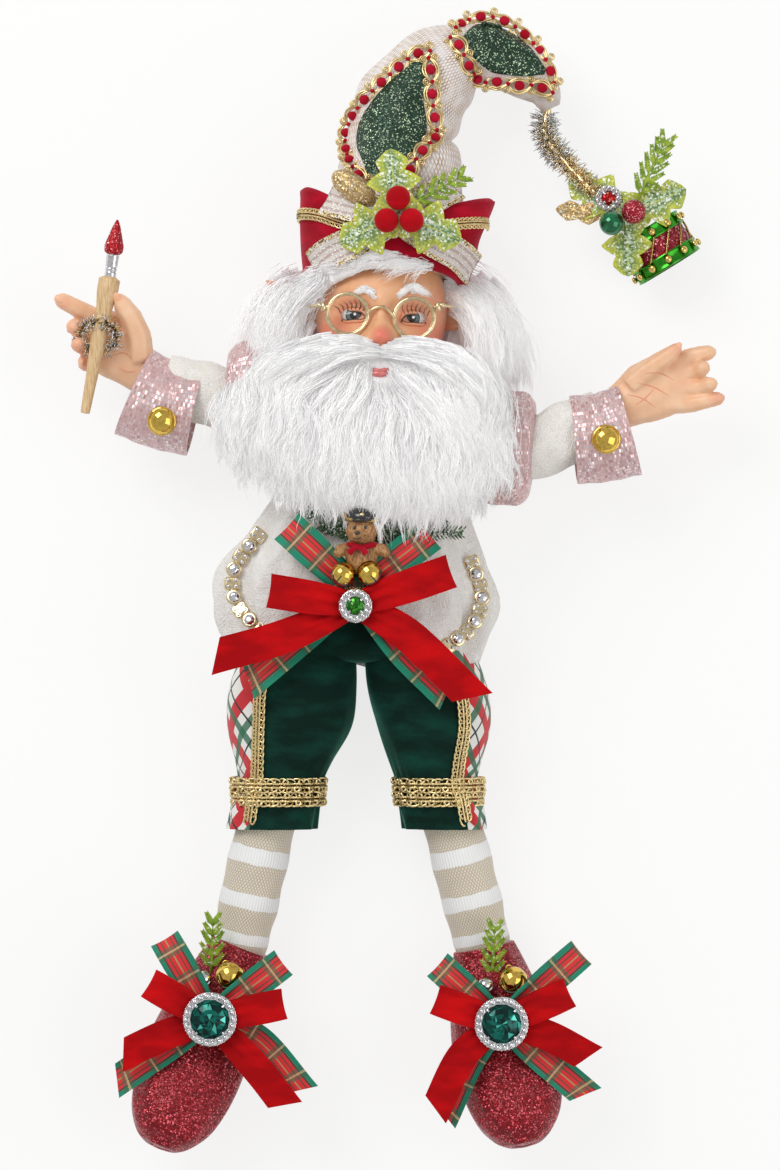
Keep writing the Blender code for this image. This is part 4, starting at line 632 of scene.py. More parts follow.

# %% [markdown]
# ## Woven and sequinned finishes
# Ribbons, plaid, net and sequin cloth repeat along the piece, so these finishes follow its UVs, which are kept
# in millimetres. A tartan ribbon is stripes along it crossed by paler bands. Sequin cloth is rows of little
# mirror bars, each with its own random brightness, on a pink ground; the brightest are painted highlights.

# %% Ribbons, plaid, net and sequins
def ribbon_plaid(name, half):
    """Stripes by the distance from the ribbon's middle, crossed every 13 mm by a band and a gold line."""
    paint = Paint(name, Roughness=0.55, Sheen_Weight=0.2)
    u, v, _ = paint.axes(paint.uv())
    off = u.size() / half
    weave = ((u * 9.0).sin() * (v * 9.0).sin()) * 0.5 + 0.5
    cross = (v / 13.0).part()
    band = (cross - 0.5).size().below(0.17)
    gold_line = (cross - 0.5).size().below(0.035)
    red, dark, green = (0.76, 0.010, 0.014), (0.02, 0.05, 0.03), (0.0, 0.26, 0.15)
    colour = paint.over(
        paint.blend(off.above(0.62), red, green),
        ((off - 0.56).size().below(0.05), dark),
        ((off - 0.30).size().below(0.03), dark),
        (off.below(0.04), (0.45, 0.30, 0.12)),
        (band * off.below(0.62) * 0.62, (0.01, 0.12, 0.06)),
        (band * off.above(0.62) * 0.35, (0.10, 0.05, 0.02)),
        (gold_line * weave.above(0.45), (0.80, 0.60, 0.32)),
        (weave * 0.16, (0.02, 0.02, 0.015)),
    )
    shine = gold_line * weave.above(0.45) * 0.8 + off.above(0.62) * 0.35
    return paint.shade(Base_Color=colour, Metallic=shine, Normal=paint.bump(weave, 0.12, 0.6))


def cotton_plaid(name):
    """Two families of slanted stripes, 21 mm apart; where both meet, the red is full."""
    paint = Paint(name, Roughness=0.9, Sheen_Weight=0.2)
    u, v, _ = paint.axes(paint.uv())
    one, two = (u * 0.75 + v * 0.66) / 21.0, (u * 0.75 - v * 0.66) / 21.0
    a, b = one.part(), two.part()
    weave = ((u * 7.0).sin() * (v * 7.0).sin()) * 0.5 + 0.5
    white, red, green = (0.88, 0.87, 0.82), (0.62, 0.01, 0.02), (0.0, 0.14, 0.06)
    wide = (a.below(0.26) + b.below(0.26)) * 0.5
    colour = paint.over(
        paint.blend(wide.above(0.2) * (wide + 0.5).held(), white, red),
        ((a - 0.5).size().below(0.07) * 0.9, green),
        ((b - 0.5).size().below(0.07) * 0.9, green),
        ((b - 0.75).size().below(0.018), (0.01, 0.02, 0.02)),
        ((a - 0.75).size().below(0.018), (0.01, 0.02, 0.02)),
        (weave * 0.12, (0.3, 0.3, 0.28)),
    )
    return paint.shade(Base_Color=colour, Normal=paint.bump(weave, 0.1, 0.5))


def net(name, ground, thread, step, shine):
    """Two families of threads that cross aslant, over a paler ground."""
    paint = Paint(name, Roughness=0.5, Sheen_Weight=0.15)
    u, v, _ = paint.axes(paint.uv())
    one = ((u + v * 0.62) * (2 * np.pi / step)).sin()
    two = ((u - v * 0.62) * (2 * np.pi / step)).sin()
    line = one.most(two).step(0.45, 0.8)
    wander = paint.noise(paint.object_mm(), 0.16, 3.0).step(0.30, 0.66)
    colour = paint.blend(line * (wander * 0.9 + 0.12).held(), ground, thread)
    return paint.shade(Base_Color=colour, Metallic=line * shine, Normal=paint.bump(line, 0.25, 0.7))


def striped_stocking(name, pitch):
    """Ribbed white knit bands between bands of gold net, along v; painted shade in the troughs of the ribs."""
    paint = Paint(name, Roughness=0.6, Sheen_Weight=0.3)
    u, v, _ = paint.axes(paint.uv())
    wobble = paint.noise(paint.object_mm(), 0.12, 1.0) * 1.6
    white = ((v + wobble) / pitch).part().below(0.36)
    rib = (u * 4.6).sin() * 0.5 + 0.5
    one = ((u + v * 0.7) * 4.4).sin()
    two = ((u - v * 0.7) * 4.4).sin()
    thread = one.most(two).step(0.2, 0.75) * (1 - white)
    colour = paint.over(
        paint.blend(white, (0.80, 0.76, 0.68), (0.93, 0.93, 0.92)),
        (thread * 0.85, (0.56, 0.44, 0.28)),
        # painted shade: the troughs between the ribs are greyed
        (white * (1 - rib) * 0.3, (0.62, 0.62, 0.62)),
    )
    height = white * (rib * 0.5 + 0.6) + thread * 0.4
    return paint.shade(Base_Color=colour, Metallic=thread * 0.35, Normal=paint.bump(height, 0.5, 0.7))


def sequins(name, wide, tall):
    """Bars wide by tall millimetres in staggered rows, every bar as bright as its own random number."""
    paint = Paint(name, Roughness=0.32, Specular_IOR_Level=0.6)
    u, v, _ = paint.axes(paint.uv())
    row = (u / tall).whole()
    along = v / wide + row * 0.37
    cell = paint.node("ShaderNodeCombineXYZ", None, {0: along.whole(), 1: row, 2: 0.0}).outputs[0]
    dice = paint.node("ShaderNodeTexWhiteNoise", {"noise_dimensions": "3D"}, {"Vector": cell})
    chance = paint.value(dice.outputs["Value"])
    inside = (along.part() - 0.5).size().below(0.38) * ((u / tall).part() - 0.5).size().below(0.36)
    wander = paint.noise(paint.object_mm(), 0.09, 2.0).step(0.35, 0.68)
    silver = paint.blend(chance, (0.50, 0.34, 0.36), (0.93, 0.86, 0.90))
    # painted highlights: the brightest bars are blended almost to white
    silver = paint.blend(chance.above(0.86) * 0.85, silver, (1.0, 0.99, 1.0))
    colour = paint.blend(inside * (wander * 0.5 + 0.5), (0.66, 0.40, 0.38), silver)
    tipped = paint.sparkle(dice.outputs["Color"], 0.55)
    return paint.shade(Base_Color=colour, Metallic=inside * 0.72, Normal=tipped)


def sheer(name, half):
    """Fine gold, mauve and white threads lengthwise, with metallic edges and scattered painted glints."""
    paint = Paint(name, Roughness=0.42, Sheen_Weight=0.2)
    u, v, _ = paint.axes(paint.uv())
    off = u.size() / half
    threads = (u * 6.0).sin() * 0.5 + 0.5
    knots = ((v * 4.2).sin() * (u * 9.0).sin()) * 0.5 + 0.5
    stripe = (u / 3.1).part().below(0.42)
    edge = off.above(0.74)
    _, chance, _ = paint.cells(paint.object_mm(), 1.6)
    colour = paint.over(
        paint.blend(stripe, (0.80, 0.76, 0.74), (0.56, 0.42, 0.44)),
        (threads * 0.45, (0.75, 0.62, 0.42)),
        (edge, (0.74, 0.52, 0.20)),
        (chance.above(0.66) * edge, (0.22, 0.11, 0.03)),
        (chance.below(0.34) * edge, (1.0, 0.94, 0.70)),
        # painted glints: a few cells are lightened almost to white
        (chance.above(0.86), (1.0, 0.97, 0.94)),
    )
    metal = (edge + threads * 0.3).held()
    return paint.shade(Base_Color=colour, Metallic=metal * 0.8, Normal=paint.bump(threads + knots, 0.25, 0.7))


PLAID_RIBBON = ribbon_plaid("tartan_ribbon", 7.6)
COTTON_PLAID = cotton_plaid("plaid_cotton")
HAT_NET = net("hat_gold_net", (0.93, 0.88, 0.87), (0.50, 0.33, 0.17), 2.1, 0.4)
STOCKING_KNIT = striped_stocking("banded_stocking", 17.0)
PINK_SEQUINS = sequins("pink_sequin_cloth", 1.0, 1.9)
SHEER_RIBBON = sheer("sheer_metallic_ribbon", 7.0)
print("woven finishes made")

# %% [markdown]
# ## Glitter, metal, glass and paint
# Glitter is flakes that lie every way: cells of about half a millimetre, each with its own tipped normal and
# brightness, and a few are painted glints. Plated metal is smooth, with a faint unevenness that breaks its
# reflections. Cut glass is dark and very glossy; its facets do the rest, and a few carry a painted flash.

# %% Glitter, metal, stones
def glitter(name, deep, bright, spark, flake, metallic=0.55, sparks=0.9):
    """Flakes as cells of a size in mm: each has its own brightness and tip, and a few are painted glints."""
    paint = Paint(name, Roughness=0.3, Specular_IOR_Level=0.6)
    spots = paint.object_mm()
    _, chance, colour_cells = paint.cells(spots, 1.0 / flake)
    wander = paint.noise(spots, 0.18, 3.0).step(0.3, 0.75)
    colour = paint.blend(chance.power(2.0) * 0.8 + wander * 0.15, deep, bright)
    # painted glints: cells above the sparks threshold take the bright spark colour
    colour = paint.blend(chance.above(sparks), colour, spark)
    return paint.shade(Base_Color=colour, Metallic=metallic, Normal=paint.sparkle(colour_cells, 0.7))


def metal(name, colour, roughness, worn=0.04):
    """Plated metal whose colour and roughness follow one faint unevenness."""
    paint = Paint(name, Metallic=1.0)
    uneven = paint.noise(paint.object_mm(), 0.6, 3.0)
    shade = tuple(c * 0.72 for c in colour)
    mixed = paint.blend(uneven.step(0.35, 0.7), shade, colour)
    return paint.shade(
        Base_Color=mixed, Roughness=uneven * worn * 2 + roughness, Normal=paint.bump(uneven, 0.05, 0.4)
    )


def lacquer(name, deep, light, roughness=0.12, metallic=0.0):
    """Glossy paint or glass: a coat over a colour that drifts a little."""
    paint = Paint(name, Metallic=metallic, Coat_Roughness=0.03, Specular_IOR_Level=0.6)
    paint.give(paint.shader, {"Coat Weight": 0.6})
    drift = paint.noise(paint.object_mm(), 0.35, 2.0)
    return paint.shade(
        Base_Color=paint.blend(drift.step(0.3, 0.7), deep, light), Roughness=drift * 0.05 + roughness
    )


def cut_glass(name, deep, light, flash):
    """Foiled glass: each facet's UV holds its own random numbers, for dark or clear and for a painted flash."""
    paint = Paint(name, Metallic=0.55, Roughness=0.04, Specular_IOR_Level=0.5)
    chance, other, _ = paint.axes(paint.uv())
    drift = paint.noise(paint.object_mm(), 0.5, 2.0)
    colour = paint.blend((chance.power(2.0) * 1.1 + drift * 0.15).held(), deep, light)
    # painted highlight: a few facets take the bright flash colour
    colour = paint.blend(other.above(0.93) * 0.9, colour, flash)
    return paint.shade(Base_Color=colour)


RED_GLITTER = glitter(
    "red_glitter_cloth", (0.12, 0.0, 0.003), (0.50, 0.0, 0.012), (0.98, 0.14, 0.18), 0.5, 0.42
)
GREEN_GLITTER = glitter(
    "green_glitter_cloth", (0.002, 0.016, 0.007), (0.015, 0.085, 0.035), (0.60, 0.78, 0.50), 0.42, 0.35, 0.91
)
GOLD_GLITTER = glitter("gold_glitter", (0.40, 0.25, 0.09), (0.95, 0.74, 0.38), (1.0, 0.96, 0.80), 0.5, 0.75)
BAUBLE_GLITTER = glitter(
    "red_glitter_bauble", (0.22, 0.002, 0.012), (0.65, 0.02, 0.05), (1.0, 0.45, 0.45), 0.45
)
DRUM_GLITTER = glitter("drum_red_glitter", (0.16, 0.002, 0.010), (0.50, 0.015, 0.03), (1.0, 0.40, 0.42), 0.6)
BRISTLE_GLITTER = glitter(
    "bristle_red_glitter", (0.30, 0.002, 0.008), (0.62, 0.01, 0.02), (1.0, 0.5, 0.5), 0.5
)
GOLD = metal("plated_gold", (0.86, 0.62, 0.20), 0.14)
MIRROR_GOLD = metal("mirror_gold", (0.90, 0.60, 0.12), 0.05, 0.02)
PALE_GOLD = metal("pale_gold_wire", (0.90, 0.74, 0.46), 0.18)
BRAID_GOLD = metal("gimp_gold_thread", (0.98, 0.78, 0.40), 0.24, 0.06)
SILVER = metal("silver_plate", (0.82, 0.82, 0.84), 0.12)
GREEN_METAL = metal("green_metallic_band", (0.05, 0.36, 0.03), 0.16)
CRYSTAL = metal("foiled_crystal", (0.90, 0.90, 0.92), 0.05, 0.02)
EMERALD = cut_glass("emerald_glass", (0.0, 0.004, 0.005), (0.0, 0.17, 0.13), (0.10, 0.62, 0.50))
RUBY = cut_glass("ruby_glass", (0.22, 0.0, 0.002), (0.80, 0.01, 0.01), (1.0, 0.45, 0.30))
PERIDOT = cut_glass("peridot_glass", (0.0, 0.06, 0.005), (0.06, 0.36, 0.02), (0.62, 0.92, 0.35))
LASH_PAINT = lacquer("lash_paint", (0.045, 0.012, 0.006), (0.12, 0.035, 0.018), 0.35)
LIP_PAINT = lacquer("lip_paint", (0.56, 0.10, 0.10), (0.74, 0.24, 0.21), 0.3)
BERRY_RED = velvet("berry_flock", (0.36, 0.0, 0.004), (0.62, 0.002, 0.012), (1.0, 0.22, 0.22))
GREEN_BALL = lacquer("green_bauble_paint", (0.0, 0.09, 0.03), (0.0, 0.20, 0.07), 0.05, 0.6)
RIBBON_BEAD = velvet("red_cord_bead", (0.36, 0.001, 0.012), (0.60, 0.01, 0.04), (1.0, 0.4, 0.4))
# black paint on the bear, and painted shade in the bells' slots
BLACK_ENAMEL_AND_SLOT_SHADE = lacquer("black_enamel_and_slot_shade", (0.004, 0.004, 0.005), (0.012, 0.012, 0.014), 0.18)

print("hard finishes made")

# %% [markdown]
# ## Leaves, wood, tinsel, painted resin
# Silk holly is yellow-green at its rim and frosted in its middle. Sprigs are lime plastic. The brush is pale
# turned wood. The skin of the head and hands is airbrushed resin, warm with redder cheeks, nose and knuckles.

# %% Natural and painted finishes
def frosted_leaf(name, rim, middle, frost):
    """The leaf's u runs from 0 at its midrib to 1 at its rim; a few painted glints are scattered over it."""
    paint = Paint(name, Roughness=0.55, Sheen_Weight=0.1)
    u, _, _ = paint.axes(paint.uv())
    spots = paint.object_mm()
    _, chance, flake = paint.cells(spots, 1.25)
    drift = paint.noise(spots, 0.22, 3.0)
    off = u.size()
    frosting = (1.05 - off + drift * 0.9 - 0.75).step(0.10, 0.75)
    colour = paint.over(
        paint.blend((off + drift * 0.7 - 0.35).held(), middle, rim),
        (chance.below(0.45) * (1 - off * 0.75) * 0.8, (0.05, 0.14, 0.05)),
        (frosting * chance.above(0.5) * 0.75, frost),
        (off.below(0.06) * 0.5, rim),
        # painted glints: a few cells anywhere on the leaf are lightened almost to white
        (chance.above(0.90) * 0.85, (0.98, 1.0, 0.96)),
    )
    return paint.shade(
        Base_Color=colour, Normal=paint.sparkle(flake, 0.5), Coat_Weight=chance.above(0.7) * 0.8
    )


def lime_plastic(name, deep, light, frost=0.0):
    """Clouded plastic; the given share of its cells is frosted white."""
    paint = Paint(name, Roughness=0.45)
    spots = paint.object_mm()
    drift = paint.noise(spots, 0.4, 3.0)
    _, chance, _ = paint.cells(spots, 1.4)
    colour = paint.blend(drift.step(0.35, 0.7), deep, light)
    colour = paint.blend(chance.above(1 - frost) * 0.8, colour, (0.90, 0.93, 0.88))
    return paint.shade(Base_Color=colour, Normal=paint.bump(drift, 0.2, 0.5))


def turned_wood(name):
    """Grain as noise drawn out ten times along the handle."""
    paint = Paint(name, Roughness=0.5)
    spots = paint.object_mm()
    grain = paint.noise(paint.stretched(spots, 1.6, 0.16, 1.6), 1.0, 4.0, 0.6)
    colour = paint.blend(grain.step(0.32, 0.68), (0.52, 0.32, 0.14), (0.82, 0.60, 0.34))
    return paint.shade(Base_Color=colour, Normal=paint.bump(grain, 0.15, 0.5))


def resin(name, blushes, deep=(0.86, 0.50, 0.30), light=(0.92, 0.60, 0.39)):
    """Peach paint with soft blushes: each is (x, y, radius in millimetres, strength)."""
    paint = Paint(name, Roughness=0.38, Specular_IOR_Level=0.45)
    spots = paint.object_mm()
    x, y, _ = paint.axes(spots)
    drift = paint.noise(spots, 0.12, 3.0)
    colour = paint.blend(drift.step(0.35, 0.7), deep, light)
    for middle_x, middle_y, radius, strength in blushes:
        dx, dy = (x - middle_x) / radius, (y - middle_y) / radius
        near = (1 - (dx * dx + dy * dy)).held()
        colour = paint.blend(near * strength, colour, (0.80, 0.19, 0.13))
    pores = paint.noise(spots, 1.1, 2.0)
    return paint.shade(Base_Color=colour, Normal=paint.bump(pores, 0.05, 0.4))


HAT_HOLLY = frosted_leaf("frosted_holly", (0.60, 0.63, 0.05), (0.22, 0.36, 0.10), (0.62, 0.76, 0.66))
LIME = lime_plastic("lime_sprig", (0.14, 0.27, 0.01), (0.44, 0.56, 0.05), 0.07)
PINE = lime_plastic("frosted_pine", (0.020, 0.050, 0.018), (0.09, 0.17, 0.07), 0.16)
WOOD = turned_wood("turned_pale_wood")
FACE_BLUSH = [
    (-27, 106, 13, 0.85), (21.0, 105.5, 13, 0.85), (-3.6, 108.0, 5.8, 0.95),
    (-16.8, 119.5, 9.5, 0.42), (10, 118.5, 9.5, 0.42),
    (-31, 124, 8, 0.35), (23, 124, 8, 0.35),
]
FACE_TAN = (0.80, 0.40, 0.20), (0.89, 0.51, 0.30)
HEAD_RESIN = resin("head_resin", FACE_BLUSH + [(-49, 133, 7, 0.5), (43, 127, 7, 0.5)], *FACE_TAN)
HAND_RESIN = resin(
    "hand_resin",
    [
        (-144, 125, 5, 0.3), (-138, 113, 6, 0.3), (-137, 105, 5, 0.3),
        (-135, 98, 5, 0.3), (127, 104, 5, 0.3), (144, 82, 5, 0.3)
    ]
)
print("painted finishes made")

# %% [markdown]
# ## The coat
# The coat is crushed plush over a stuffed body: a bell that is narrow at the shoulders and flares to a hem
# which parts in front. It is lofted through the widths of the real coat with long soft folds that deepen
# towards the hem. Its front has an opening, so the skin is a sheet of even thickness with two free edges.

# %% Model the coat
BODY_HEIGHT = 28.0
CHEST_DEPTH = 26.0
BODY_MIDLINE = -13.5
COAT_EDGES = (
    (91.0, -24.0, 15.0, 0.62),
    (84.0, -44.0, 34.0, 0.86),
    (66.0, -46.0, 35.0, 1.0),
    (41.0, -51.0, 34.0, 1.0),
    (25.0, -61.0, 35.5, 1.0),
    (8.0, -74.0, 41.0, 1.04),
    (-10.0, -75.0, 46.0, 1.08),
    (-24.0, -70.0, 43.0, 1.06),
    (-36.0, -65.0, 38.0, 1.0),
)
FLOOR_LIFT = 0.3
COAT_WALL = 2.4
COAT_GRID = (90, 160)
COAT_CURVE = spline(COAT_EDGES, 300)[::-1]


def coat_row(y):
    """The middle, half width and front factor of the coat at any height."""
    left, right, factor = (np.interp(y, COAT_CURVE[:, 0], COAT_CURVE[:, k]) for k in (1, 2, 3))
    return (left + right) / 2, (right - left) / 2, factor


def coat_top(x, y):
    """How high the coat's front stands: half an ellipse across each level."""
    middle, half, factor = coat_row(y)
    share = np.clip(np.abs(x - middle) / half, 0, 0.98)
    return BODY_HEIGHT + CHEST_DEPTH * factor * np.sqrt(1 - share**2)


def coat_skin(inset, rows, cols):
    """Rings from one front edge round the back to the other; folds are sines that grow towards the hem."""
    y = np.linspace(90.0, -36.0, rows)[:, None]
    middle, half, factor = coat_row(y)
    gap = np.interp(-y, [1.0, 12.0, 36.0], [0.0, 0.40, 1.02]) + 0.002
    turn = np.linspace(0, 1, cols)[None]
    angle = np.pi / 2 + gap * 0.72 + (2 * np.pi - gap * 1.14) * turn
    grow = np.clip((60 - y) / 96, 0, 1)
    fold = (
        1 + 0.06 * grow * np.sin(9 * angle + 0.03 * y)
        + 0.022 * np.sin(17 * angle - 0.07 * y) + 0.012 * np.sin(31 * angle + 0.13 * y)
    )
    wide = (half - inset) * np.cos(angle) * fold
    deep = np.where(np.sin(angle) > 0, CHEST_DEPTH * factor - inset, BODY_HEIGHT + 6 - inset) * np.sin(angle)
    z = np.maximum(BODY_HEIGHT + deep * fold, FLOOR_LIFT + inset)
    y = y + 2.2 * grow**3 * np.sin(6 * angle) + np.zeros_like(angle)
    return np.stack([middle + wide, y, z], -1)


def sheet_between(outer, inner):
    """Two open grids of equal size joined round their rims into one closed sheet."""
    rows, cols = outer.shape[:2]
    flat = np.vstack([outer.reshape(-1, 3), inner.reshape(-1, 3)])
    front = grid_faces(rows, cols, False)
    back = front[:, ::-1] + rows * cols
    down, over = np.arange(rows), np.arange(cols)
    rim = np.concatenate(
        [over, down[1:] * cols + cols - 1, (rows - 1) * cols + over[::-1][1:], down[::-1][1:] * cols]
    )
    a, b = rim[:-1], rim[1:]
    side = np.stack([b, a, a + rows * cols, b + rows * cols], -1)
    return flat, [np.vstack([front, back, side])]


coat_points, coat_faces = sheet_between(coat_skin(0.0, *COAT_GRID), coat_skin(COAT_WALL, *COAT_GRID))
coat = piece("coat_skin", coat_points, coat_faces, COAT_PLUSH, "plush_coat")
print("coat quads:", len(coat_faces[0]))

# %% [markdown]
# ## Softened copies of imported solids
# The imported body, hands, fur and bear have the right forms, but facets and hard edges where their parts meet.
# A Remesh modifier rebuilds such a solid as even small quads, and a Smooth modifier melts its corners.

# %% Soften a solid
def softened(node, voxel, rounds, inflate=0.0):
    """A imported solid's mesh as even small quads, with its corners smoothed away; points in mm and faces."""
    copy = bpy.data.objects.new("copy", bpy.data.objects[node].data.copy())
    bpy.context.scene.collection.objects.link(copy)
    remesh = copy.modifiers.new("even", "REMESH")
    remesh.mode = "VOXEL"
    remesh.voxel_size = voxel * MM
    smooth = copy.modifiers.new("soft", "SMOOTH")
    smooth.iterations = rounds
    graph = bpy.context.evaluated_depsgraph_get()
    mesh = bpy.data.meshes.new_from_object(copy.evaluated_get(graph))
    spots = np.empty(len(mesh.vertices) * 3)
    mesh.vertices.foreach_get("co", spots)
    normals = np.empty(len(mesh.vertices) * 3)
    mesh.vertices.foreach_get("normal", normals)
    corners = np.empty(len(mesh.loops), int)
    mesh.loops.foreach_get("vertex_index", corners)
    bpy.data.objects.remove(copy, do_unlink=True)
    bpy.data.meshes.remove(mesh)
    return spots.reshape(-1, 3) / MM + normals.reshape(-1, 3) * inflate, [corners.reshape(-1, 4)]


torso_points, torso_faces = softened("stuffed_torso", 2.0, 8)
piece("torso_cushion", torso_points, torso_faces, TORSO_CLOTH, "stuffed_torso")
print("torso quads:", len(torso_faces[0]))

# %% [markdown]
# ## Sleeves, cap sleeves and cuffs
# Plush tubes run out to the wrists. Over the shoulders sit puffed cap sleeves of sequin cloth, gathered at both
# ends, and each wrist has a wide turned-back cuff of the same cloth with a domed gold button. The cuff is a
# tube with a wall, open at both ends and a little squarer below, where its corners hang.

# %% Model the arms
ARMS = {
    "left": {"shoulder": (-36.0, 79.0, 35.0), "elbow": (-66.0, 80.0, 36.0), "wrist": (-107.0, 92.0, 35.0)},
    "right": {"shoulder": (34.0, 62.0, 34.0), "elbow": (62.0, 60.0, 36.0), "wrist": (101.0, 77.5, 36.0)},
}
CUFFS = {
    "left": {"near": (-84.0, 80.0, 36.0), "far": (-110.0, 91.5, 35.0), "drop": (-3.0, -6.5)},
    "right": {"near": (80.0, 67.0, 36.0), "far": (104.0, 73.5, 36.0), "drop": (1.5, -5.0)},
}
SLEEVE_RADIUS = 12.5
CUFF_MOUTH_RADIUS = 18.0
CUFF_WALL = 1.6
CAP_STAGES = {
    "left": (
        (0.05, 1.35, 1.25), (0.30, 1.85, 1.42), (0.55, 2.0, 1.45),
        (0.95, 2.02, 1.45), (1.17, 1.72, 1.38), (1.22, 1.25, 1.15)
    ),
    "right": (
        (0.0, 1.45, 1.35), (0.25, 1.85, 1.42), (0.5, 2.0, 1.45),
        (0.80, 2.02, 1.45), (1.0, 1.75, 1.38), (1.05, 1.25, 1.15)
    ),
}


def crumple(amount, waves, drift):
    """A ripple round a tube that drifts along it: sines of a few whole waves, out of step."""
    def shape(angle, share):
        first = np.sin(waves * angle + drift * share * 6)
        second = np.sin((waves + 3) * angle - drift * share * 9 + 1.0)
        third = np.sin(2 * angle + share * 21)
        return 1 + amount * (0.6 * first + 0.4 * second + 0.5 * third)
    return shape


def make_sleeve(side):
    """A crumpled loft from the shoulder over the elbow to just short of the wrist."""
    arm = ARMS[side]
    wrist, elbow = np.array(arm["wrist"]), np.array(arm["elbow"])
    end = wrist - unit(wrist - elbow) * 8.0
    r = SLEEVE_RADIUS
    rows = [(*arm["shoulder"], r * 1.2, r * 1.1, r * 1.1), (*elbow, r * 1.05, r, r)]
    rows += [(*((elbow + end) / 2), r * 1.12, r, r), (*end, r * 0.95, r * 0.9, r * 0.9)]
    points = loft(rows, 72, 90, shape=crumple(0.045, 4, 1.0))
    return surface(side + "_plush_sleeve", points, SLEEVE_PLUSH, side + "_sleeve", 80, 80)


def make_cap(side):
    """A puffed loft that swells and gathers again by the stages of its side."""
    arm = ARMS[side]
    shoulder, elbow = np.array(arm["shoulder"]), np.array(arm["elbow"])
    lift = np.array([0.0, 2.0 if side == "left" else 0.0, 0.0])
    r = SLEEVE_RADIUS
    rows = []
    for share, wide, front in CAP_STAGES[side]:
        rows.append((*(shoulder + (elbow - shoulder) * share + lift), r * wide, r * front, r * front * 1.15))
    points = loft(rows, 96, 60, floor=1.0, shape=crumple(0.035, 9, 0.4))
    return surface(side + "_sequin_cap", points, PINK_SEQUINS, side + "_cap_sleeve", 150, 42)


def make_cuff(side):
    """Outer rings out to the mouth, then inner rings back: one closed wall."""
    cuff = CUFFS[side]
    near, far = np.array(cuff["near"]), np.array(cuff["far"])
    drop = np.array([*cuff["drop"], 0.0])
    r = CUFF_MOUTH_RADIUS
    stages = (
        (near + drop * 0.6, 1.08, 0.86, 0.90),
        ((near + far) / 2 + drop, 1.10, 0.88, 0.92), (far + drop, 1.14, 0.88, 0.94)
    )
    walls = []
    for inset in (0.0, CUFF_WALL):
        rows = [
            (*spot, r * wide - inset, r * front - inset, r * back - inset)
            for spot, wide, front, back in stages
        ]
        walls.append(loft(rows, 80, 22, shape=crumple(0.015, 5, 0.3)))
    rings = np.concatenate([walls[0], walls[1][::-1]])
    rows, cols = rings.shape[:2]
    uv = grid_uv(rows + 1, cols, True, 118, 60)
    return piece(side + "_sequin_cuff", rings, [ring_faces(rows, cols)], PINK_SEQUINS, side + "_cuff", uv, 60)


def cuff_button(side, x, y):
    """A domed gilt button that stands on the cuff's curved front."""
    cuff = CUFFS[side]
    middle = (np.array(cuff["near"]) + np.array(cuff["far"])) / 2 + np.array([*cuff["drop"], 0.0])
    off = np.hypot(x - middle[0], y - middle[1])
    rise = middle[2] + CUFF_MOUTH_RADIUS * 0.88 * np.sqrt(
        max(1 - (off / (CUFF_MOUTH_RADIUS * 1.08)) ** 2, 0.2)
    )
    profile = [
        (-2.0, 2.6), (0.6, 3.0), (0.7, 6.1), (1.0, 6.4), (1.4, 6.1),
        (1.5, 5.7), (2.6, 5.2), (3.7, 3.9), (4.4, 2.2), (4.7, 0.4)
    ]
    points = turned(profile, (x, y, rise), (x - middle[0], y - middle[1], 2.2 * CUFF_MOUTH_RADIUS), 40)
    return surface(side + "_gilt_button", points, MIRROR_GOLD, side + "_cuff_button", sharp=50)


for side, spot in (("left", (-100.0, 72.0)), ("right", (94.7, 63.9))):
    make_sleeve(side)
    make_cap(side)
    make_cuff(side)
    cuff_button(side, *spot)
print("arms made")

# %% [markdown]
# ## The breeches
# Each leg of the velvet breeches puffs out at the thigh and draws in to a braided band above the knee, with a
# flounce below it. The outer side of each leg is a panel of plaid cotton, and a narrow gold braid hides the
# seam. The legs are lofts. Which cloth a face belongs to follows from its angle round the leg.

# %% Model the breeches
LEG_STAGES = {
    "left": (
        (-38, -20, 26, 22, 21, 23), (-42.5, -44, 26, 28, 23, 24.5), (-44, -62, 25, 27.5, 22, 23.5),
        (-47, -78, 24, 21.5, 19.5, 21), (-49, -88, 23, 18.5, 17.5, 19), (-50.5, -95, 22.5, 19.5, 18, 20),
        (-52, -108, 21.5, 20, 18, 20),
    ),
    "right": (
        (11, -20, 26, 22, 21, 23), (16.5, -44, 26, 26.5, 23, 24.5), (19.8, -62, 25, 25, 22, 23.5),
        (20, -78, 24, 20.5, 19.5, 21), (20.5, -88, 23, 17.6, 17, 19), (22, -95, 22.5, 18.6, 17.5, 20),
        (24.5, -108, 21.5, 18.6, 17.5, 20),
    ),
}
PELVIS = (
    (BODY_MIDLINE, -12, 26, 33, 22, 22), (BODY_MIDLINE, -20, 26, 42, 23, 23),
    (BODY_MIDLINE, -28, 26, 44, 22, 22), (BODY_MIDLINE, -33, 26, 36, 15, 16),
    (BODY_MIDLINE, -34.5, 26, 20, 6, 8),
)


def leg_folds(angle, share):
    """Gathers that fan out from the band, and broad soft folds above."""
    near_band = np.exp(-((share - 0.74) / 0.16) ** 2)
    flounce = np.clip((share - 0.86) / 0.14, 0, 1)
    gathers = 0.030 * near_band * np.sin(22 * angle) + 0.035 * flounce * np.sin(13 * angle + 1)
    return 1 + gathers + 0.025 * np.sin(3 * angle + 7 * share) + 0.015 * np.sin(7 * angle - 9 * share)


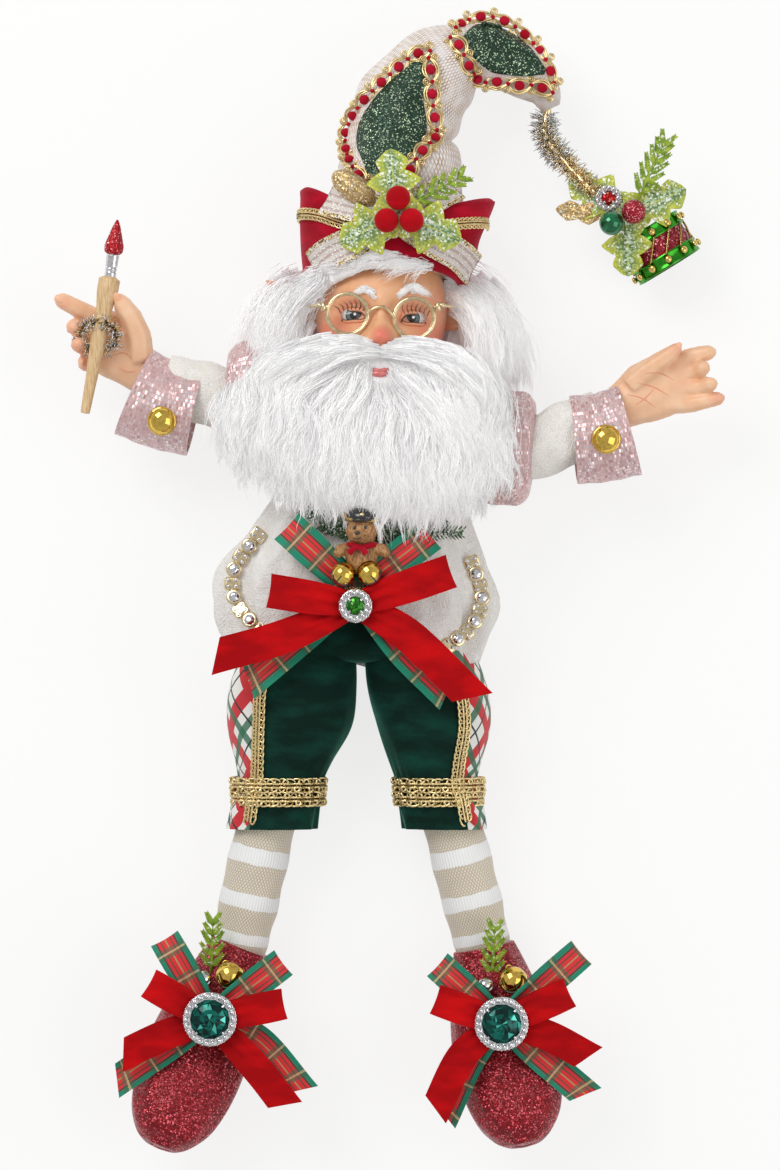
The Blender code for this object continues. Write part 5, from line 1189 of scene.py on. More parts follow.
def make_leg(side):
    """One loft, cut along two columns into a velvet sheet and a plaid sheet that share those edges."""
    points = loft(LEG_STAGES[side], 120, 90, floor=1.0, upright=True, shape=leg_folds)
    rows, cols = points.shape[:2]
    spots, (quads, low, high) = solid(points)
    column = quads[:, 0] % cols / cols
    outer_low, outer_high = (0.88, 1.165) if side == "left" else (0.335, 0.62)
    plaid = ((column - outer_low) % 1.0) < (outer_high - outer_low)
    uv = grid_uv(rows, cols, True, 130, 88).reshape(-1, 4, 2)
    caps = np.zeros((6 * cols, 2))
    velvet_uv = np.vstack([uv[~plaid].reshape(-1, 2), caps])
    velvet_piece = piece(side + "_velvet_leg", spots, [quads[~plaid], low, high], GREEN_VELVET, (), velvet_uv)
    piece(side + "_plaid_side", spots, [quads[plaid]], COTTON_PLAID, (), uv[plaid].reshape(-1, 2))
    return points, velvet_piece, (outer_low, outer_high)


LEG_GRIDS = {}
for side in ("left", "right"):
    leg_points, velvet_leg, seams = make_leg(side)
    LEG_GRIDS[side] = (leg_points, seams)
    if side == "left":
        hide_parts("velvet_breeches")
surface("velvet_seat", loft(PELVIS, 72, 24, floor=1.0, upright=True), GREEN_VELVET, (), 120, 30)
print("breeches made")

# %% [markdown]
# ## Stockings and shoes
# The stockings are banded knit tubes, a little uneven where the bands change. The shoes are stuffed slippers of
# glitter cloth with a puckered seam down the middle of the toe. The sole side lies on the table, so the loft is
# pressed flat there.

# %% Model the stockings and shoes
LEGS = {
    "left": {"knee": (-53.0, -97.0, 22.0), "ankle": (-68.5, -167.0, 18.0), "toe": (-101.5, -247.0)},
    "right": {"knee": (25.5, -97.0, 22.0), "ankle": (43.0, -167.0, 18.0), "toe": (59.0, -246.0)},
}
STOCKING_RADIUS = 13.2
SHOE_HALF_WIDTH, SHOE_DEPTH = 22.0, 17.0
SHOE_STAGES = (
    (-0.08, 0.5, 0.62, 0.80, 0.85), (0.06, 0.5, 0.76, 0.95, 1.0), (0.24, 0.9, 0.92, 1.06, 1.05),
    (0.45, 4.5, 1.02, 1.02, 1.0), (0.66, 11.0, 1.02, 0.96, 0.92), (0.84, 18.0, 0.88, 0.82, 0.80),
    (0.95, 22.0, 0.60, 0.62, 0.62), (0.99, 23.7, 0.34, 0.36, 0.36), (1.0, 24.0, 0.14, 0.16, 0.16),
)


def band_swells(angle, share):
    """The knit bulges a little at each band, and leans unevenly."""
    return 1 + 0.022 * np.sin(share * 2 * np.pi * 4.2) + 0.008 * np.sin(5 * angle + 20 * share)


def make_stocking(side):
    """A tube from the knee to the ankle that swells a little in its middle."""
    knee, ankle = np.array(LEGS[side]["knee"]), np.array(LEGS[side]["ankle"])
    rows = []
    for share, swell in ((0.0, 0.96), (0.3, 1.0), (0.6, 1.0), (0.85, 0.94), (1.0, 0.88)):
        rows.append((*(knee + (ankle - knee) * share), *(STOCKING_RADIUS * swell,) * 3))
    points = loft(rows, 72, 80, shape=band_swells)
    return surface(side + "_banded_stocking", points, STOCKING_KNIT, side + "_stocking", 83, 72)


def make_shoe(side):
    """A loft from heel to toe by stages of (share, lift, width, front, back), pressed flat below."""
    ankle, toe = LEGS[side]["ankle"], LEGS[side]["toe"]
    rows = []
    for share, lift, wide, front, back in SHOE_STAGES:
        x, y = ankle[0] + (toe[0] - ankle[0]) * share, ankle[1] + (toe[1] - ankle[1]) * share
        rows.append((x, y, ankle[2] + lift, SHOE_HALF_WIDTH * wide, SHOE_DEPTH * front, SHOE_DEPTH * back))

    def pucker(angle, share):
        seam = np.exp(-((angle - np.pi / 2) / 0.05) ** 2)
        soft = 0.012 * np.sin(4 * angle + 6 * share) + 0.012 * np.sin(9 * angle - 11 * share)
        return 1 - 0.022 * seam * (share > 0.45) + soft
    points = loft(rows, 110, 110, floor=FLOOR_LIFT, shape=pucker)
    return surface(side + "_glitter_shoe", points, RED_GLITTER, side + "_shoe", 120, 95)


for side in ("left", "right"):
    make_stocking(side)
    make_shoe(side)
print("stockings and shoes made")

# %% [markdown]
# ## The head
# The head is cast resin with a hand-painted face. Seen from the front it is an egg with soft swellings: the
# brow, cheeks, nose and chin are bell curves added to the egg's front, and the eye sockets are taken off it.
# Because the front is a formula, every painted feature can ask it how high it has to lie.

# %% Model the head
HEAD_CENTRE = np.array([-4.0, 121.0, 37.5])
HEAD_RADII = np.array([29.0, 37.0, 31.0])
HEAD_BUMPS = np.array([
    (-14, 126.5, 9, 3.2, 1.3), (10, 126, 9, 3.2, 1.3),
    (-16.8, 118, 7.5, 4.4, -3.4), (9.6, 117, 7.5, 4.4, -3.4),
    (-25, 107, 8, 7, 4.6), (18, 106, 8, 7, 4.6),
    (-3.9, 117.5, 3.0, 8, 4.6), (-3.8, 108.6, 4.4, 3.7, 7.8),
    (-8.2, 107, 2.3, 2.2, 2.8), (0.8, 106.6, 2.3, 2.2, 2.8),
    (-4.4, 95, 11, 9, 12), (-4, 86, 10, 7, 8),
])


def bumps(x, y):
    """Bell curves: amount times e to minus half the squared distances in spreads."""
    total = np.zeros(np.broadcast(x, y).shape)
    for cx, cy, sx, sy, amount in HEAD_BUMPS:
        total = total + amount * np.exp(-0.5 * (((x - cx) / sx) ** 2 + ((y - cy) / sy) ** 2))
    return total


def face_height(x, y):
    """The front of the egg plus its bumps."""
    x, y = np.asarray(x, float), np.asarray(y, float)
    rest = 1 - ((x - HEAD_CENTRE[0]) / HEAD_RADII[0]) ** 2 - ((y - HEAD_CENTRE[1]) / HEAD_RADII[1]) ** 2
    return HEAD_CENTRE[2] + HEAD_RADII[2] * np.sqrt(np.maximum(rest, 0.0)) + bumps(x, y)


def on_face(points, lift=0.0):
    """(x, y) pairs laid on the face, with a lift."""
    points = np.asarray(points, float)
    return np.column_stack([points[:, 0], points[:, 1], face_height(points[:, 0], points[:, 1]) + lift])


def make_ear(root, tip, half):
    """A leaf-shaped shell: narrow at both ends, raised at its rim and hollow in front."""
    root, tip = np.array(root, float), np.array(tip, float)
    t = np.linspace(0, 1, 40)
    centre = spline(
        [root, root + (tip - root) * [0.33, 0.15, 0.4], root + (tip - root) * [0.66, 0.52, 0.7], tip], 40
    )
    along = unit(np.gradient(centre, axis=0))
    side = unit(np.cross(along, UP))
    wide = half * np.sin(np.pi * (0.22 + 0.78 * t)) ** 0.8 * (1 - 0.25 * t) + 0.25
    turn = round_angles(36)
    s, front = np.cos(turn), np.sin(turn)
    hollow = 0.45 * (1 - s**2) ** 1.5
    deep = np.where(front > 0, front * 0.34 - hollow, front * 0.5)
    return (
        centre[:, None] + side[:, None] * (s * wide[:, None])[..., None]
        + UP * (deep * wide[:, None])[..., None]
    )


egg = ball(HEAD_CENTRE, HEAD_RADII, 110, 180, (0, 1, 0))
facing = np.clip((egg[..., 2] - HEAD_CENTRE[2]) / HEAD_RADII[2], 0, 1)
egg[..., 2] += bumps(egg[..., 0], egg[..., 1]) * np.clip(facing * 3.0, 0, 1)
neck = loft([(-4, 100, 36, 15, 14, 14), (-6, 86, 34, 14, 13, 13)], 40, 8)
head_parts = [solid(egg), solid(neck)]
for root, tip in (((-29, 121, 34), (-54.5, 134.2, 37)), ((20, 118, 34), (48.4, 126.3, 37))):
    head_parts.append(solid(make_ear(root, tip, 7.0)))
piece("resin_head", *merged(head_parts), HEAD_RESIN, "head")
print("nose tip stands at", round(float(face_height(-3.8, 108.6)), 1), "mm")

# %% [markdown]
# ## Painted eyes
# The eyes are painted almonds in the sockets, under modelled lids. White, iris and pupil are rings round one
# point. The white darkens towards its corners as painted shade under the lids, and a small painted highlight
# lies over the iris. A dark line follows each lid, and the lashes are fine brown strokes that fan up from it.

# %% Make the eyes
def apart(dx, dy):
    """The distance whose two sides are given: the root of the sum of their squares."""
    return (dx * dx + dy * dy).power(0.5)


def eye_paint(name, x, y):
    """Rings round one point: dark limit, streaked iris, pupil; painted corner shade and a painted highlight."""
    paint = Paint(name, Roughness=0.12, Coat_Weight=0.8)
    px, py, _ = paint.axes(paint.object_mm())
    reach = apart(px - x, py - y)
    streak = paint.noise(paint.stretched(paint.object_mm(), 3.0, 3.0, 0.1), 1.0, 1.0)
    iris = paint.blend(streak, (0.030, 0.055, 0.065), (0.16, 0.22, 0.22))
    # painted shade: the white darkens towards the corners, where the lids shade it
    white = paint.blend(reach.step(3.6, 5.4), (0.74, 0.69, 0.66), (0.42, 0.22, 0.17))
    # painted highlight: a small white spot over the iris
    glint = apart(px - (x + 0.6), py - (y + 0.55))
    colour = paint.over(
        white,
        (reach.below(3.5), (0.012, 0.012, 0.014)),
        (reach.below(3.1), iris),
        (reach.below(1.6), (0.004, 0.004, 0.005)),
        (glint.below(0.62), (1.0, 1.0, 1.0)),
    )
    return paint.shade(Base_Color=colour)


def thick(points, lift, widest, count=24, ends=0.25):
    """A tube on the face that swells from thin ends to its widest in the middle."""
    path = spline(on_face(points, lift), count)
    t = np.linspace(0, 1, count)
    return tube(path, widest * (ends + (1 - ends) * np.sin(np.pi * t) ** 0.7), 10)


def stroke(start, end, width, bend, lifts):
    """A fine painted stroke: a slim spindle between two places, raised by a lift at its start and end."""
    start, end = np.array(start, float), np.array(end, float)
    way = end - start
    middle = (start + end) / 2 + np.array([-way[1], way[0]]) * bend
    path = spline(on_face([start, middle, end]), 7)
    path[:, 2] += np.linspace(*lifts, 7)
    return tube(path, width * np.array([1, 1, 1, 0.9, 0.7, 0.45, 0.15]), 5)


LID_RESIN = resin("lid_resin", [(-17, 120, 12, 0.35), (10, 119, 12, 0.35)], *FACE_TAN)
EYES = {"left": (-15.6, 117.6, -15.9, 117.5), "right": (10.2, 116.4, 9.6, 116.2)}
EYE_HALF, EYE_RISE = 5.5, 2.4
lid_parts, lash_parts = [], []
for side, (x, y, iris_x, iris_y) in EYES.items():
    out = -1.0 if side == "left" else 1.0
    level = float(face_height(x, y)) - 0.7
    almond = ball((x, y, level), (EYE_HALF + 0.6, EYE_RISE + 0.9, 2.6), 40, 60, (0, 1, 0))
    surface(side + "_painted_eye", almond, eye_paint(side + "_eye_paint", iris_x, iris_y))
    inner, outer = (x - out * EYE_HALF, y - 1.2), (x + out * EYE_HALF, y - 1.7)
    upper = [inner, (x - out * 3.6, y + 1.7), (x, y + EYE_RISE), (x + out * 3.8, y + 1.4), outer]
    lower = [inner, (x - out * 3.5, y - 2.4), (x, y - EYE_RISE - 0.2), (x + out * 3.6, y - 2.7), outer]
    crease = [(a, b + 1.8 * np.sin(np.pi * k / 4)) for k, (a, b) in enumerate(upper)]
    lid_parts += [
        solid(thick(upper, 0.9, 1.15)), solid(thick(lower, 0.6, 0.8)), solid(thick(crease, 0.4, 0.75))
    ]
    line = spline(on_face(upper, 1.75), 30) - [0, 0.85, 0]
    lash_parts.append(solid(tube(line, 0.50 * np.sin(np.pi * np.linspace(0.08, 0.92, 30)) ** 0.5, 6)))
    under = spline(on_face(lower, 1.2), 30) + [0, 0.5, 0]
    lash_parts.append(solid(tube(under, 0.22 * np.sin(np.pi * np.linspace(0.05, 0.95, 30)) ** 0.5, 6)))
    for k in range(7):
        share = (k + 0.5) / 7
        foot = np.array([x + out * (share - 0.40) * 11.5, y + EYE_RISE - 4.6 * (share - 0.40) ** 2])
        reach = np.array([out * (share - 0.22) * 4.6, 4.6 - 2.2 * abs(share - 0.35)])
        lash_parts.append(solid(stroke(foot, foot + reach, 0.25, 0.16 * out, (1.9, 0.9))))
piece("eye_lids", *merged(lid_parts), LID_RESIN)
piece("painted_lashes", *merged(lash_parts), LASH_PAINT)
nostrils = [
    solid(ball((x, 105.4, float(face_height(x, 105.4)) - 0.3), (1.3, 0.75, 0.9), 10, 16, (0, 1, 0)))
    for x in (-6.4, -0.8)
]
piece("painted_nostrils", *merged(nostrils), LIP_PAINT)
print("eyes:", list(EYES))

# %% [markdown]
# ## The spectacles
# One length of gilt wire is bent into two rings, a bridge that arches over the nose and two side arms that
# reach back under the hair, with a small rolled hinge at each side.

# %% Bend the spectacles
RIM_RADIUS = 8.9
RIM_WIRE = 0.78
HINGE = ((0, 0.9), (0.2, 1.25), (3.4, 1.25), (3.6, 0.9))
EYE_SPACING = 28.8
RIM_LEVEL = HEAD_CENTRE[2] + HEAD_RADII[2] + 3.0
EYE_HEIGHT = 116.8
wires = []
for side in (-1, 1):
    centre = np.array([HEAD_CENTRE[0] + side * EYE_SPACING / 2, EYE_HEIGHT - side, RIM_LEVEL])
    for radius, wire in ((RIM_RADIUS, RIM_WIRE), (RIM_RADIUS - 0.75, 0.32)):
        wires.append(loop(centre + on_circle(round_angles(90), radius), wire, 10))
    rim, temple = centre[0] + side * RIM_RADIUS, HEAD_CENTRE[0] + side * 31.2
    level = EYE_HEIGHT + 4.6
    arm = [(rim - side * 0.4, level - 0.5, RIM_LEVEL), (rim + side * 4, level, RIM_LEVEL - 1.5)]
    arm += [(temple, level, RIM_LEVEL - 9), (temple + side * 0.6, level + 1, RIM_LEVEL - 24)]
    wires.append(solid(tube(spline(arm, 40), 0.7, 10)))
    hinge_foot = (rim + side * 1.6, level - 2.3, RIM_LEVEL - 0.2)
    wires.append(solid(turned(HINGE, hinge_foot, (0, 1, 0), 16)))
    wires.append(solid(ball((rim + side * 3.3, level + 0.2, RIM_LEVEL - 0.5), 1.3, 10, 14)))
edge = EYE_SPACING / 2 - RIM_RADIUS
x = HEAD_CENTRE[0]
bridge = [(x - edge - 0.5, EYE_HEIGHT + 1, RIM_LEVEL), (x - edge * 0.4, EYE_HEIGHT + 3.6, RIM_LEVEL + 1)]
bridge += [(x + edge * 0.4, EYE_HEIGHT + 3.4, RIM_LEVEL + 1), (x + edge + 0.5, EYE_HEIGHT - 1, RIM_LEVEL)]
wires.append(solid(tube(spline(bridge, 30), 0.8, 10)))
piece("gilt_spectacles", *merged(wires), PALE_GOLD, "spectacles")
print("spectacle wires:", len(wires))

# %% [markdown]
# ## Hair from strands
# White fur cloth makes the beard, the moustache and the hair. A strand is a slim tapered rod with three sides.
# Strands are laid in locks: each lock has a guide line that flows over the hair's bulk, and its strands start
# spread out round the guide and draw together towards its tip, each with a small wave of its own.

# %% Strands along guides
dice = np.random.default_rng(SEED)
STRAND_STEPS = 6


def tree_over(points, groups):
    """A tree to cast rays at, over a shape in millimetres."""
    return BVHTree.FromPolygons(
        [Vector(p) for p in points], [tuple(face) for group in groups for face in group.tolist()]
    )


def drape(tree, spots, lift=0.0, fallback=None):
    """The highest point of a shape under each (x, y), raised by a lift, or the fallback where it misses."""
    spots = np.asarray(spots, float)
    heights = []
    for x, y in spots.reshape(-1, 2):
        hit = tree.ray_cast(Vector((x, y, 200.0)), Vector((0.0, 0.0, -1.0)))[0]
        heights.append(np.nan if hit is None else hit.z)
    heights = np.array(heights)
    if fallback is None:
        known = np.flatnonzero(~np.isnan(heights))
        heights = np.interp(np.arange(len(heights)), known, heights[known])
        fallback = 0.0
    heights = np.where(np.isnan(heights), fallback, heights).reshape(spots.shape[:-1])
    return np.concatenate([spots, (heights + lift)[..., None]], -1)


def strands(
    guides, each, spread, gather=0.75, wave=0.5, waves=1.6, thick_mm=0.20, shorter=0.35, flat=1.0, mottle=0.20
):
    """Tapered rods round each guide: root offset times (1 - gather t), plus a sine wave across the guide."""
    guides = np.asarray(guides, float)
    count, steps = guides.shape[:2]
    t = np.linspace(0, 1, STRAND_STEPS)
    total = count * each
    own = np.repeat(np.arange(count), each)
    length = 1 - shorter * dice.random(total)
    at = t[None] * length[:, None] * (steps - 1)
    low = np.minimum(at.astype(int), steps - 2)
    part = (at - low)[..., None]
    path = guides[own[:, None], low] * (1 - part) + guides[own[:, None], low + 1] * part
    along = unit(np.gradient(guides, axis=1))[own[:, None], low]
    side = unit(np.cross(along, UP))
    lift = np.cross(side, along)
    angle, reach = dice.random(total) * 2 * np.pi, np.sqrt(dice.random(total)) * spread
    fall = (1 - gather * t)[None]
    a = (np.cos(angle) * reach)[:, None] * fall
    b = (np.sin(angle) * reach * flat)[:, None] * fall
    phase, size = dice.random(total) * 2 * np.pi, wave * (0.5 + dice.random(total))
    a = a + size[:, None] * np.sin(waves * 2 * np.pi * t[None] + phase[:, None]) * t[None] ** 0.6
    b = b + 0.6 * size[:, None] * np.cos(waves * 2 * np.pi * t[None] + phase[:, None]) * t[None] ** 0.6
    path = path + side * a[..., None] + lift * b[..., None]
    path[..., 2] = np.maximum(path[..., 2], 0.5)
    width = thick_mm * (1 - t**2.4) ** 0.7 + 0.015
    turn = np.arange(3) * 2 * np.pi / 3
    ring = side[:, :, None] * np.cos(turn)[:, None] + lift[:, :, None] * np.sin(turn)[:, None]
    points = path[:, :, None] + ring * width[None, :, None, None]
    base = (np.arange(total) * STRAND_STEPS * 3)[:, None, None]
    quads = (grid_faces(STRAND_STEPS, 3)[None] + base).reshape(-1, 4)
    last = STRAND_STEPS * 3
    ends = (np.array([[2, 1, 0], [last - 3, last - 2, last - 1]])[None] + base).reshape(-1, 3)
    of_lock = np.repeat(dice.normal(0, mottle, count), each)[:, None]
    # each lock's own tone is random; the rise along t is painted shade, darker at the roots
    tone = np.clip(0.42 + of_lock + 0.35 * dice.random(total)[:, None] + 0.35 * t[None], 0, 1)
    tone = np.repeat(tone[:, :, None], 3, axis=2)
    return points.reshape(-1, 3), [quads, ends], tone.reshape(-1)


def hair_piece(name, locks):
    """Several sets of strands as one piece of hair."""
    spots, groups = merged([(points, faces) for points, faces, _ in locks])
    piece(name, spots, groups, WHITE_HAIR, tint=np.concatenate([tone for _, _, tone in locks]))
    print(name, len(spots) // (3 * STRAND_STEPS), "strands")


def flow(roots, steps, stride, way):
    """Lines that follow a field of directions from each root, a stride at a time."""
    line = [np.asarray(roots, float)]
    for _ in range(steps - 1):
        line.append(line[-1] + unit(way(line[-1])) * np.asarray(stride).reshape(-1, 1))
    return np.stack(line, 1)


print("a strand has", 2 * 3 * (STRAND_STEPS - 1) + 2, "triangles")

# %% [markdown]
# ## The beard
# The beard is one mass of long fur that falls from the cheeks and chin to an uneven edge over the coat. Its
# imported solid, softened and sunk a little, is the grey underlayer, painted shade for the depth of the fur.
# Locks take root all over it, flow away from the mouth and then down, and end near a drawn outline. The lips
# show through a small gap left free of roots.

# %% Comb the beard
MOUTH = np.array([-4.6, 99.0])
BEARD_SEEDS = 2300
LOCKS_PER_SIDE = 150
FRINGE_LOCKS = 46


def beard_way(spots):
    """Away from the mouth near it, and more and more downwards further off, with slow sideways drifts."""
    out = spots - MOUTH
    reach = np.linalg.norm(out, axis=1, keepdims=True)
    down = np.array([[0.0, -1.0]])
    share = np.clip(reach / 62.0, 0.0, 1.0) * 0.75 + 0.12
    drift = (
        0.30 * np.sin(spots[:, 1:2] * 0.16 + spots[:, :1] * 0.11)
        + 0.18 * np.sin(spots[:, 1:2] * 0.33 - spots[:, :1] * 0.2)
    )
    return unit(out) * (1 - share) + down * share + np.concatenate([drift, 0 * drift], 1)


beard_points, beard_faces = softened("beard", 1.5, 7, -1.2)
piece("beard_bulk", beard_points, beard_faces, HAIR_SHADE, "beard")
beard_tree = tree_over(beard_points, beard_faces)
low, high = beard_points.min(0), beard_points.max(0)
seeds = [
    dice.uniform(low[0] + 2, high[0] - 2, BEARD_SEEDS), dice.uniform(low[1] + 9, high[1] - 2, BEARD_SEEDS)
]
seeds = np.column_stack(seeds)
landed = drape(beard_tree, seeds, 0.0, -50.0)
on_cheeks = (np.abs(seeds[:, 0] + 4.0) < 35.0) & (seeds[:, 1] > 98.0)
beside_mouth = ((seeds[:, 0] - MOUTH[0]) / 4.4) ** 2 + ((seeds[:, 1] - 92.6) / 4.0) ** 2 < 1
parting = (np.abs(seeds[:, 0] - MOUTH[0]) < 2.4) & (seeds[:, 1] > 92.0)
seeds = seeds[(landed[:, 2] > 0) & ~beside_mouth & ~parting & ~on_cheeks]
print("beard roots:", len(seeds))
length = dice.uniform(3.2, 6.6, len(seeds))
lines = flow(seeds, 9, length, beard_way)
share = np.linspace(0, 1, 9)[None]
sway, turns, phase = (dice.uniform(*span, (len(seeds), 1)) for span in ((0.8, 3.6), (0.5, 1.1), (0.0, 1.0)))
lines[..., 0] += sway * (np.sin(2 * np.pi * (share * turns + phase)) - np.sin(2 * np.pi * phase))
outline = np.array(
    [
        (-84, 66), (-76, 56), (-66, 50), (-52, 44), (-36, 36), (-20, 31),
        (-5, 27), (14, 24.5), (30, 31), (45, 37), (56, 50), (62, 64)
    ]
)
least = np.interp(lines[:, -1, 0], outline[:, 0], outline[:, 1]) + dice.normal(0.0, 5.0, len(lines))
drop = lines[:, 0, 1] - lines[:, -1, 1]
room = np.clip((lines[:, 0, 1] - least) / np.maximum(drop, 1.0), 0.22, 1.0)
lines = lines[:, :1] + (lines - lines[:, :1]) * np.where(drop > 1.0, room, 1.0)[:, None, None]
heights = drape(beard_tree, lines, 0.0, 50.0)[..., 2]
falling = np.minimum.accumulate(np.where(heights > 50.5, heights, 1e3), axis=1)
heights = np.where(heights > 50.5, heights, falling - 0.8 * (share * 9))
rise = 5.2 * np.sin(np.pi * np.clip(share * 0.85, 0, 1)) * dice.uniform(0.15, 1.25, (len(seeds), 1))
guides = np.concatenate([lines, (heights + 0.4 + rise)[..., None]], -1)
for number in range(3):
    few = [
        strands(
            guides[number::12], 4, 5.5, wave=1.6, waves=1.1,
            gather=-0.25, thick_mm=0.15, shorter=0.1, mottle=0.1
        )
    ]
    hair_piece(
        "beard_hair_" + "abc"[number],
        [strands(guides[number::3], 8, 2.5, gather=0.9, wave=0.5, thick_mm=0.235)] + few
    )

# %% [markdown]
# ## The lips
# A sliver of the painted lower lip shows where the moustache parts, so it is set just proud of the beard there.

# %% Paint the lips
lip_level = float(drape(beard_tree, [[-4.4, 93.0]], 0.0, 60.0)[0, 2])
lips = [solid(ball((-4.6, 91.6, lip_level + 0.6), (3.6, 1.7, 1.9), 20, 30, (0, 1, 0)))]
smile = [
    (-8.2, 93.4, lip_level - 0.2), (-6.6, 93.3, lip_level + 1.2),
    (-4.6, 92.9, lip_level + 1.7), (-2.6, 93.3, lip_level + 1.2), (-1.0, 93.4, lip_level - 0.2)
]
lips.append(solid(tube(spline(smile, 24), 0.75, 10)))
piece("painted_lips", *merged(lips), LIP_PAINT)
print("lips stand at", round(lip_level, 1), "mm")

# %% [markdown]
# ## Side hair and fringe
# The wig's long hair falls from under the hat on both sides of the face and flies out in loose wisps. A few
# locks slip out under the brim's lower edge and are combed over the brow towards the left.

# %% Comb the wig and the fringe
hair_rows = {
    "left": [(-31, 134), (-42, 129), (-50, 117), (-52, 103), (-47, 88)],
    "right": [(28, 132), (38, 127), (46, 114), (48, 100), (46, 86)],
}
wig_points, wig_faces = softened("wig", 1.5, 8, -2.6)
piece("wig_bulk", wig_points, wig_faces, HAIR_SHADE, "wig")
wig_tree = tree_over(wig_points, wig_faces)
share = np.linspace(0, 1, 8)


def waver(least, most, turns):
    """A lock's own wave: a random swing times a sine of random turns and start, which grows to the tip."""
    swing = dice.uniform(least, most)
    return swing * np.sin(2 * np.pi * (share * dice.uniform(0.6, turns) + dice.random())) * share


locks, wisps = [], []
for side, rows in hair_rows.items():
    out = -1.0 if side == "left" else 1.0
    middle = evened(spline(rows, 40), 8)
    for number in range(LOCKS_PER_SIDE):
        start = dice.integers(0, 3)
        line = evened(middle[start:], 8) + [dice.normal(0, 5.0), dice.normal(0, 3.0)]
        line[:, 0] = out * np.maximum(out * line[:, 0], 29.0 if side == "left" else 25.0)
        line[:, 0] += out * share**2 * dice.uniform(-6, 12) * (1 if start < 2 else 0.5)
        line[:, 0] += waver(0.5, 3.0, 1.2)
        guide = drape(wig_tree, line, 0.0, 30.0)
        guide[:, 2] = (
            np.maximum(guide[:, 2], 26.0) + 0.4
            + dice.uniform(0, 8) * np.sin(np.pi * np.linspace(0.1, 0.9, 8))
        )
        (wisps if number % 5 == 0 else locks).append(guide)
fringe = []
for number in range(FRINGE_LOCKS):
    x = 19 - 44 * dice.random()
    y = 143.5 - 0.012 * (x + 2) ** 2
    way = np.array([-dice.uniform(11, 24), -dice.uniform(3.5, 9.0)])
    line = np.array([x, y]) + way * share[:, None] + [[0.0, 2.6]] * np.sin(np.pi * share)[:, None]
    height = 37.5 + np.sqrt(
        np.maximum(36.5**2 - (line[:, 0] + 4) ** 2 - 0.35 * np.maximum(line[:, 1] - 121, 0) ** 2, 100)
    )
    fringe.append(np.column_stack([line, height + dice.uniform(-1.0, 1.2)]))
sets = [strands(np.array(locks), 20, 2.6, wave=0.9, gather=0.7, thick_mm=0.22)]
sets += [strands(np.array(wisps), 16, 5.5, wave=2.0, waves=1.1, gather=-0.3, thick_mm=0.15)]
hair_piece("wig_hair", sets)
hair_piece("fringe_hair", [strands(np.array(fringe), 20, 1.9, wave=1.0, gather=-0.1, thick_mm=0.14)])

# %% [markdown]
# ## Brows and moustache
# The brows are small tufts along an arch. The moustache is two heavy sweeps of fur that start beneath the nose
# and hang over the beard: each lock takes its own stretch of the sweep's middle line and stands off to a side.

# %% Comb the brows and the moustache
brows = []
for start, middle, end in (
    ((-6.0, 125.8), (-11.5, 128.9), (-17.5, 127.0)), ((3.4, 125.2), (9.8, 129.6), (20.5, 126.0))
):
    arch = spline([start, middle, end], 30)
    for k in range(16):
        line = evened(arch[int(k * 1.1):int(k * 1.1) + 12], 8) + [dice.normal(0, 0.4), dice.normal(0, 0.8)]
        brows.append(on_face(line, dice.uniform(0.4, 1.8)))
hair_piece("brow_hair", [strands(np.array(brows), 14, 0.9, wave=0.5, gather=0.1, thick_mm=0.12)])

moustache = {
    "left": [(-6, 101.5, 79), (-20, 103.5, 84), (-38, 100, 83), (-57, 91, 74), (-70, 78, 62)],
    "right": [(-3, 101.5, 79), (10, 102.5, 84), (28, 98, 82), (43, 85, 75), (50, 69, 64)],
}
locks = []
for side, rows in moustache.items():
    middle = evened(spline(rows, 50), 24)
    for number in range(LOCKS_PER_SIDE):
        start = int(dice.integers(0, 12))
        stop = min(start + int(dice.integers(9, 14)), 24)
        line = evened(middle[start:stop], 8) + [dice.normal(0, 1.2), dice.normal(0, 0.6), 0]
        spread = 2.0 + 4.5 * np.sin(np.pi * np.linspace(start, stop, 8) / 26)
        angle, reach = dice.uniform(0, 2 * np.pi), np.sqrt(dice.random())
        line[:, 1] += np.sin(angle) * reach * spread * 0.9 - share**2 * dice.uniform(0, 9)
        line[:, 1] += waver(0.2, 1.8, 1.1)
        line[:, 2] += np.cos(angle) * reach * spread * 0.45
        locks.append(line)
hair_piece("moustache_hair", [strands(np.array(locks), 15, 1.8, wave=0.5, gather=0.85, thick_mm=0.21)])

# %% [markdown]
# ## The hat
# A tall cone of gold net over stiff cloth flops over to the right. Two panels of dark green glitter cloth are
# sewn on its front, and looped gold braid with small red knots hides their edges. The cone is one loft along a
# bent route, with soft cross folds where it bends. A tree over it lets later pieces be laid on its surface.

# %% Model the hat cone
HAT_BASE_RADIUS = 31.0
HAT_ROUTE = (
    (-2, 139, 36, 1.0, 1.0), (0, 156, 35, 0.98, 0.97), (3, 170, 34, 0.94, 0.92),
    (4.5, 184, 33, 0.88, 0.86), (4.0, 198, 31, 0.76, 0.76), (10, 213, 29, 0.76, 0.70),
    (21, 227, 27, 0.66, 0.60), (35, 235, 25, 0.47, 0.50), (48, 233, 24, 0.43, 0.44),
    (60, 227, 23, 0.38, 0.38), (68, 219, 22, 0.26, 0.28), (71.5, 211.5, 21.5, 0.13, 0.13),
)


def hat_creases(angle, share):
    """Soft cross folds where the hat bends and is stuffed unevenly."""
    return (
        1 + 0.035 * np.sin(share * 46 + 2 * np.sin(angle)) * np.clip(share * 3, 0, 1)
        + 0.018 * np.sin(5 * angle + 12 * share)
    )


rows = [(x, y, z, *(HAT_BASE_RADIUS * k for k in (wide, deep, deep))) for x, y, z, wide, deep in HAT_ROUTE]
hat = loft(rows, 120, 170, floor=0.6, shape=hat_creases)
surface("net_hat_cone", hat, HAT_NET, "hat_cone", 190, 170)
hat_tree = tree_over(*solid(hat))
print("hat rings:", len(hat))

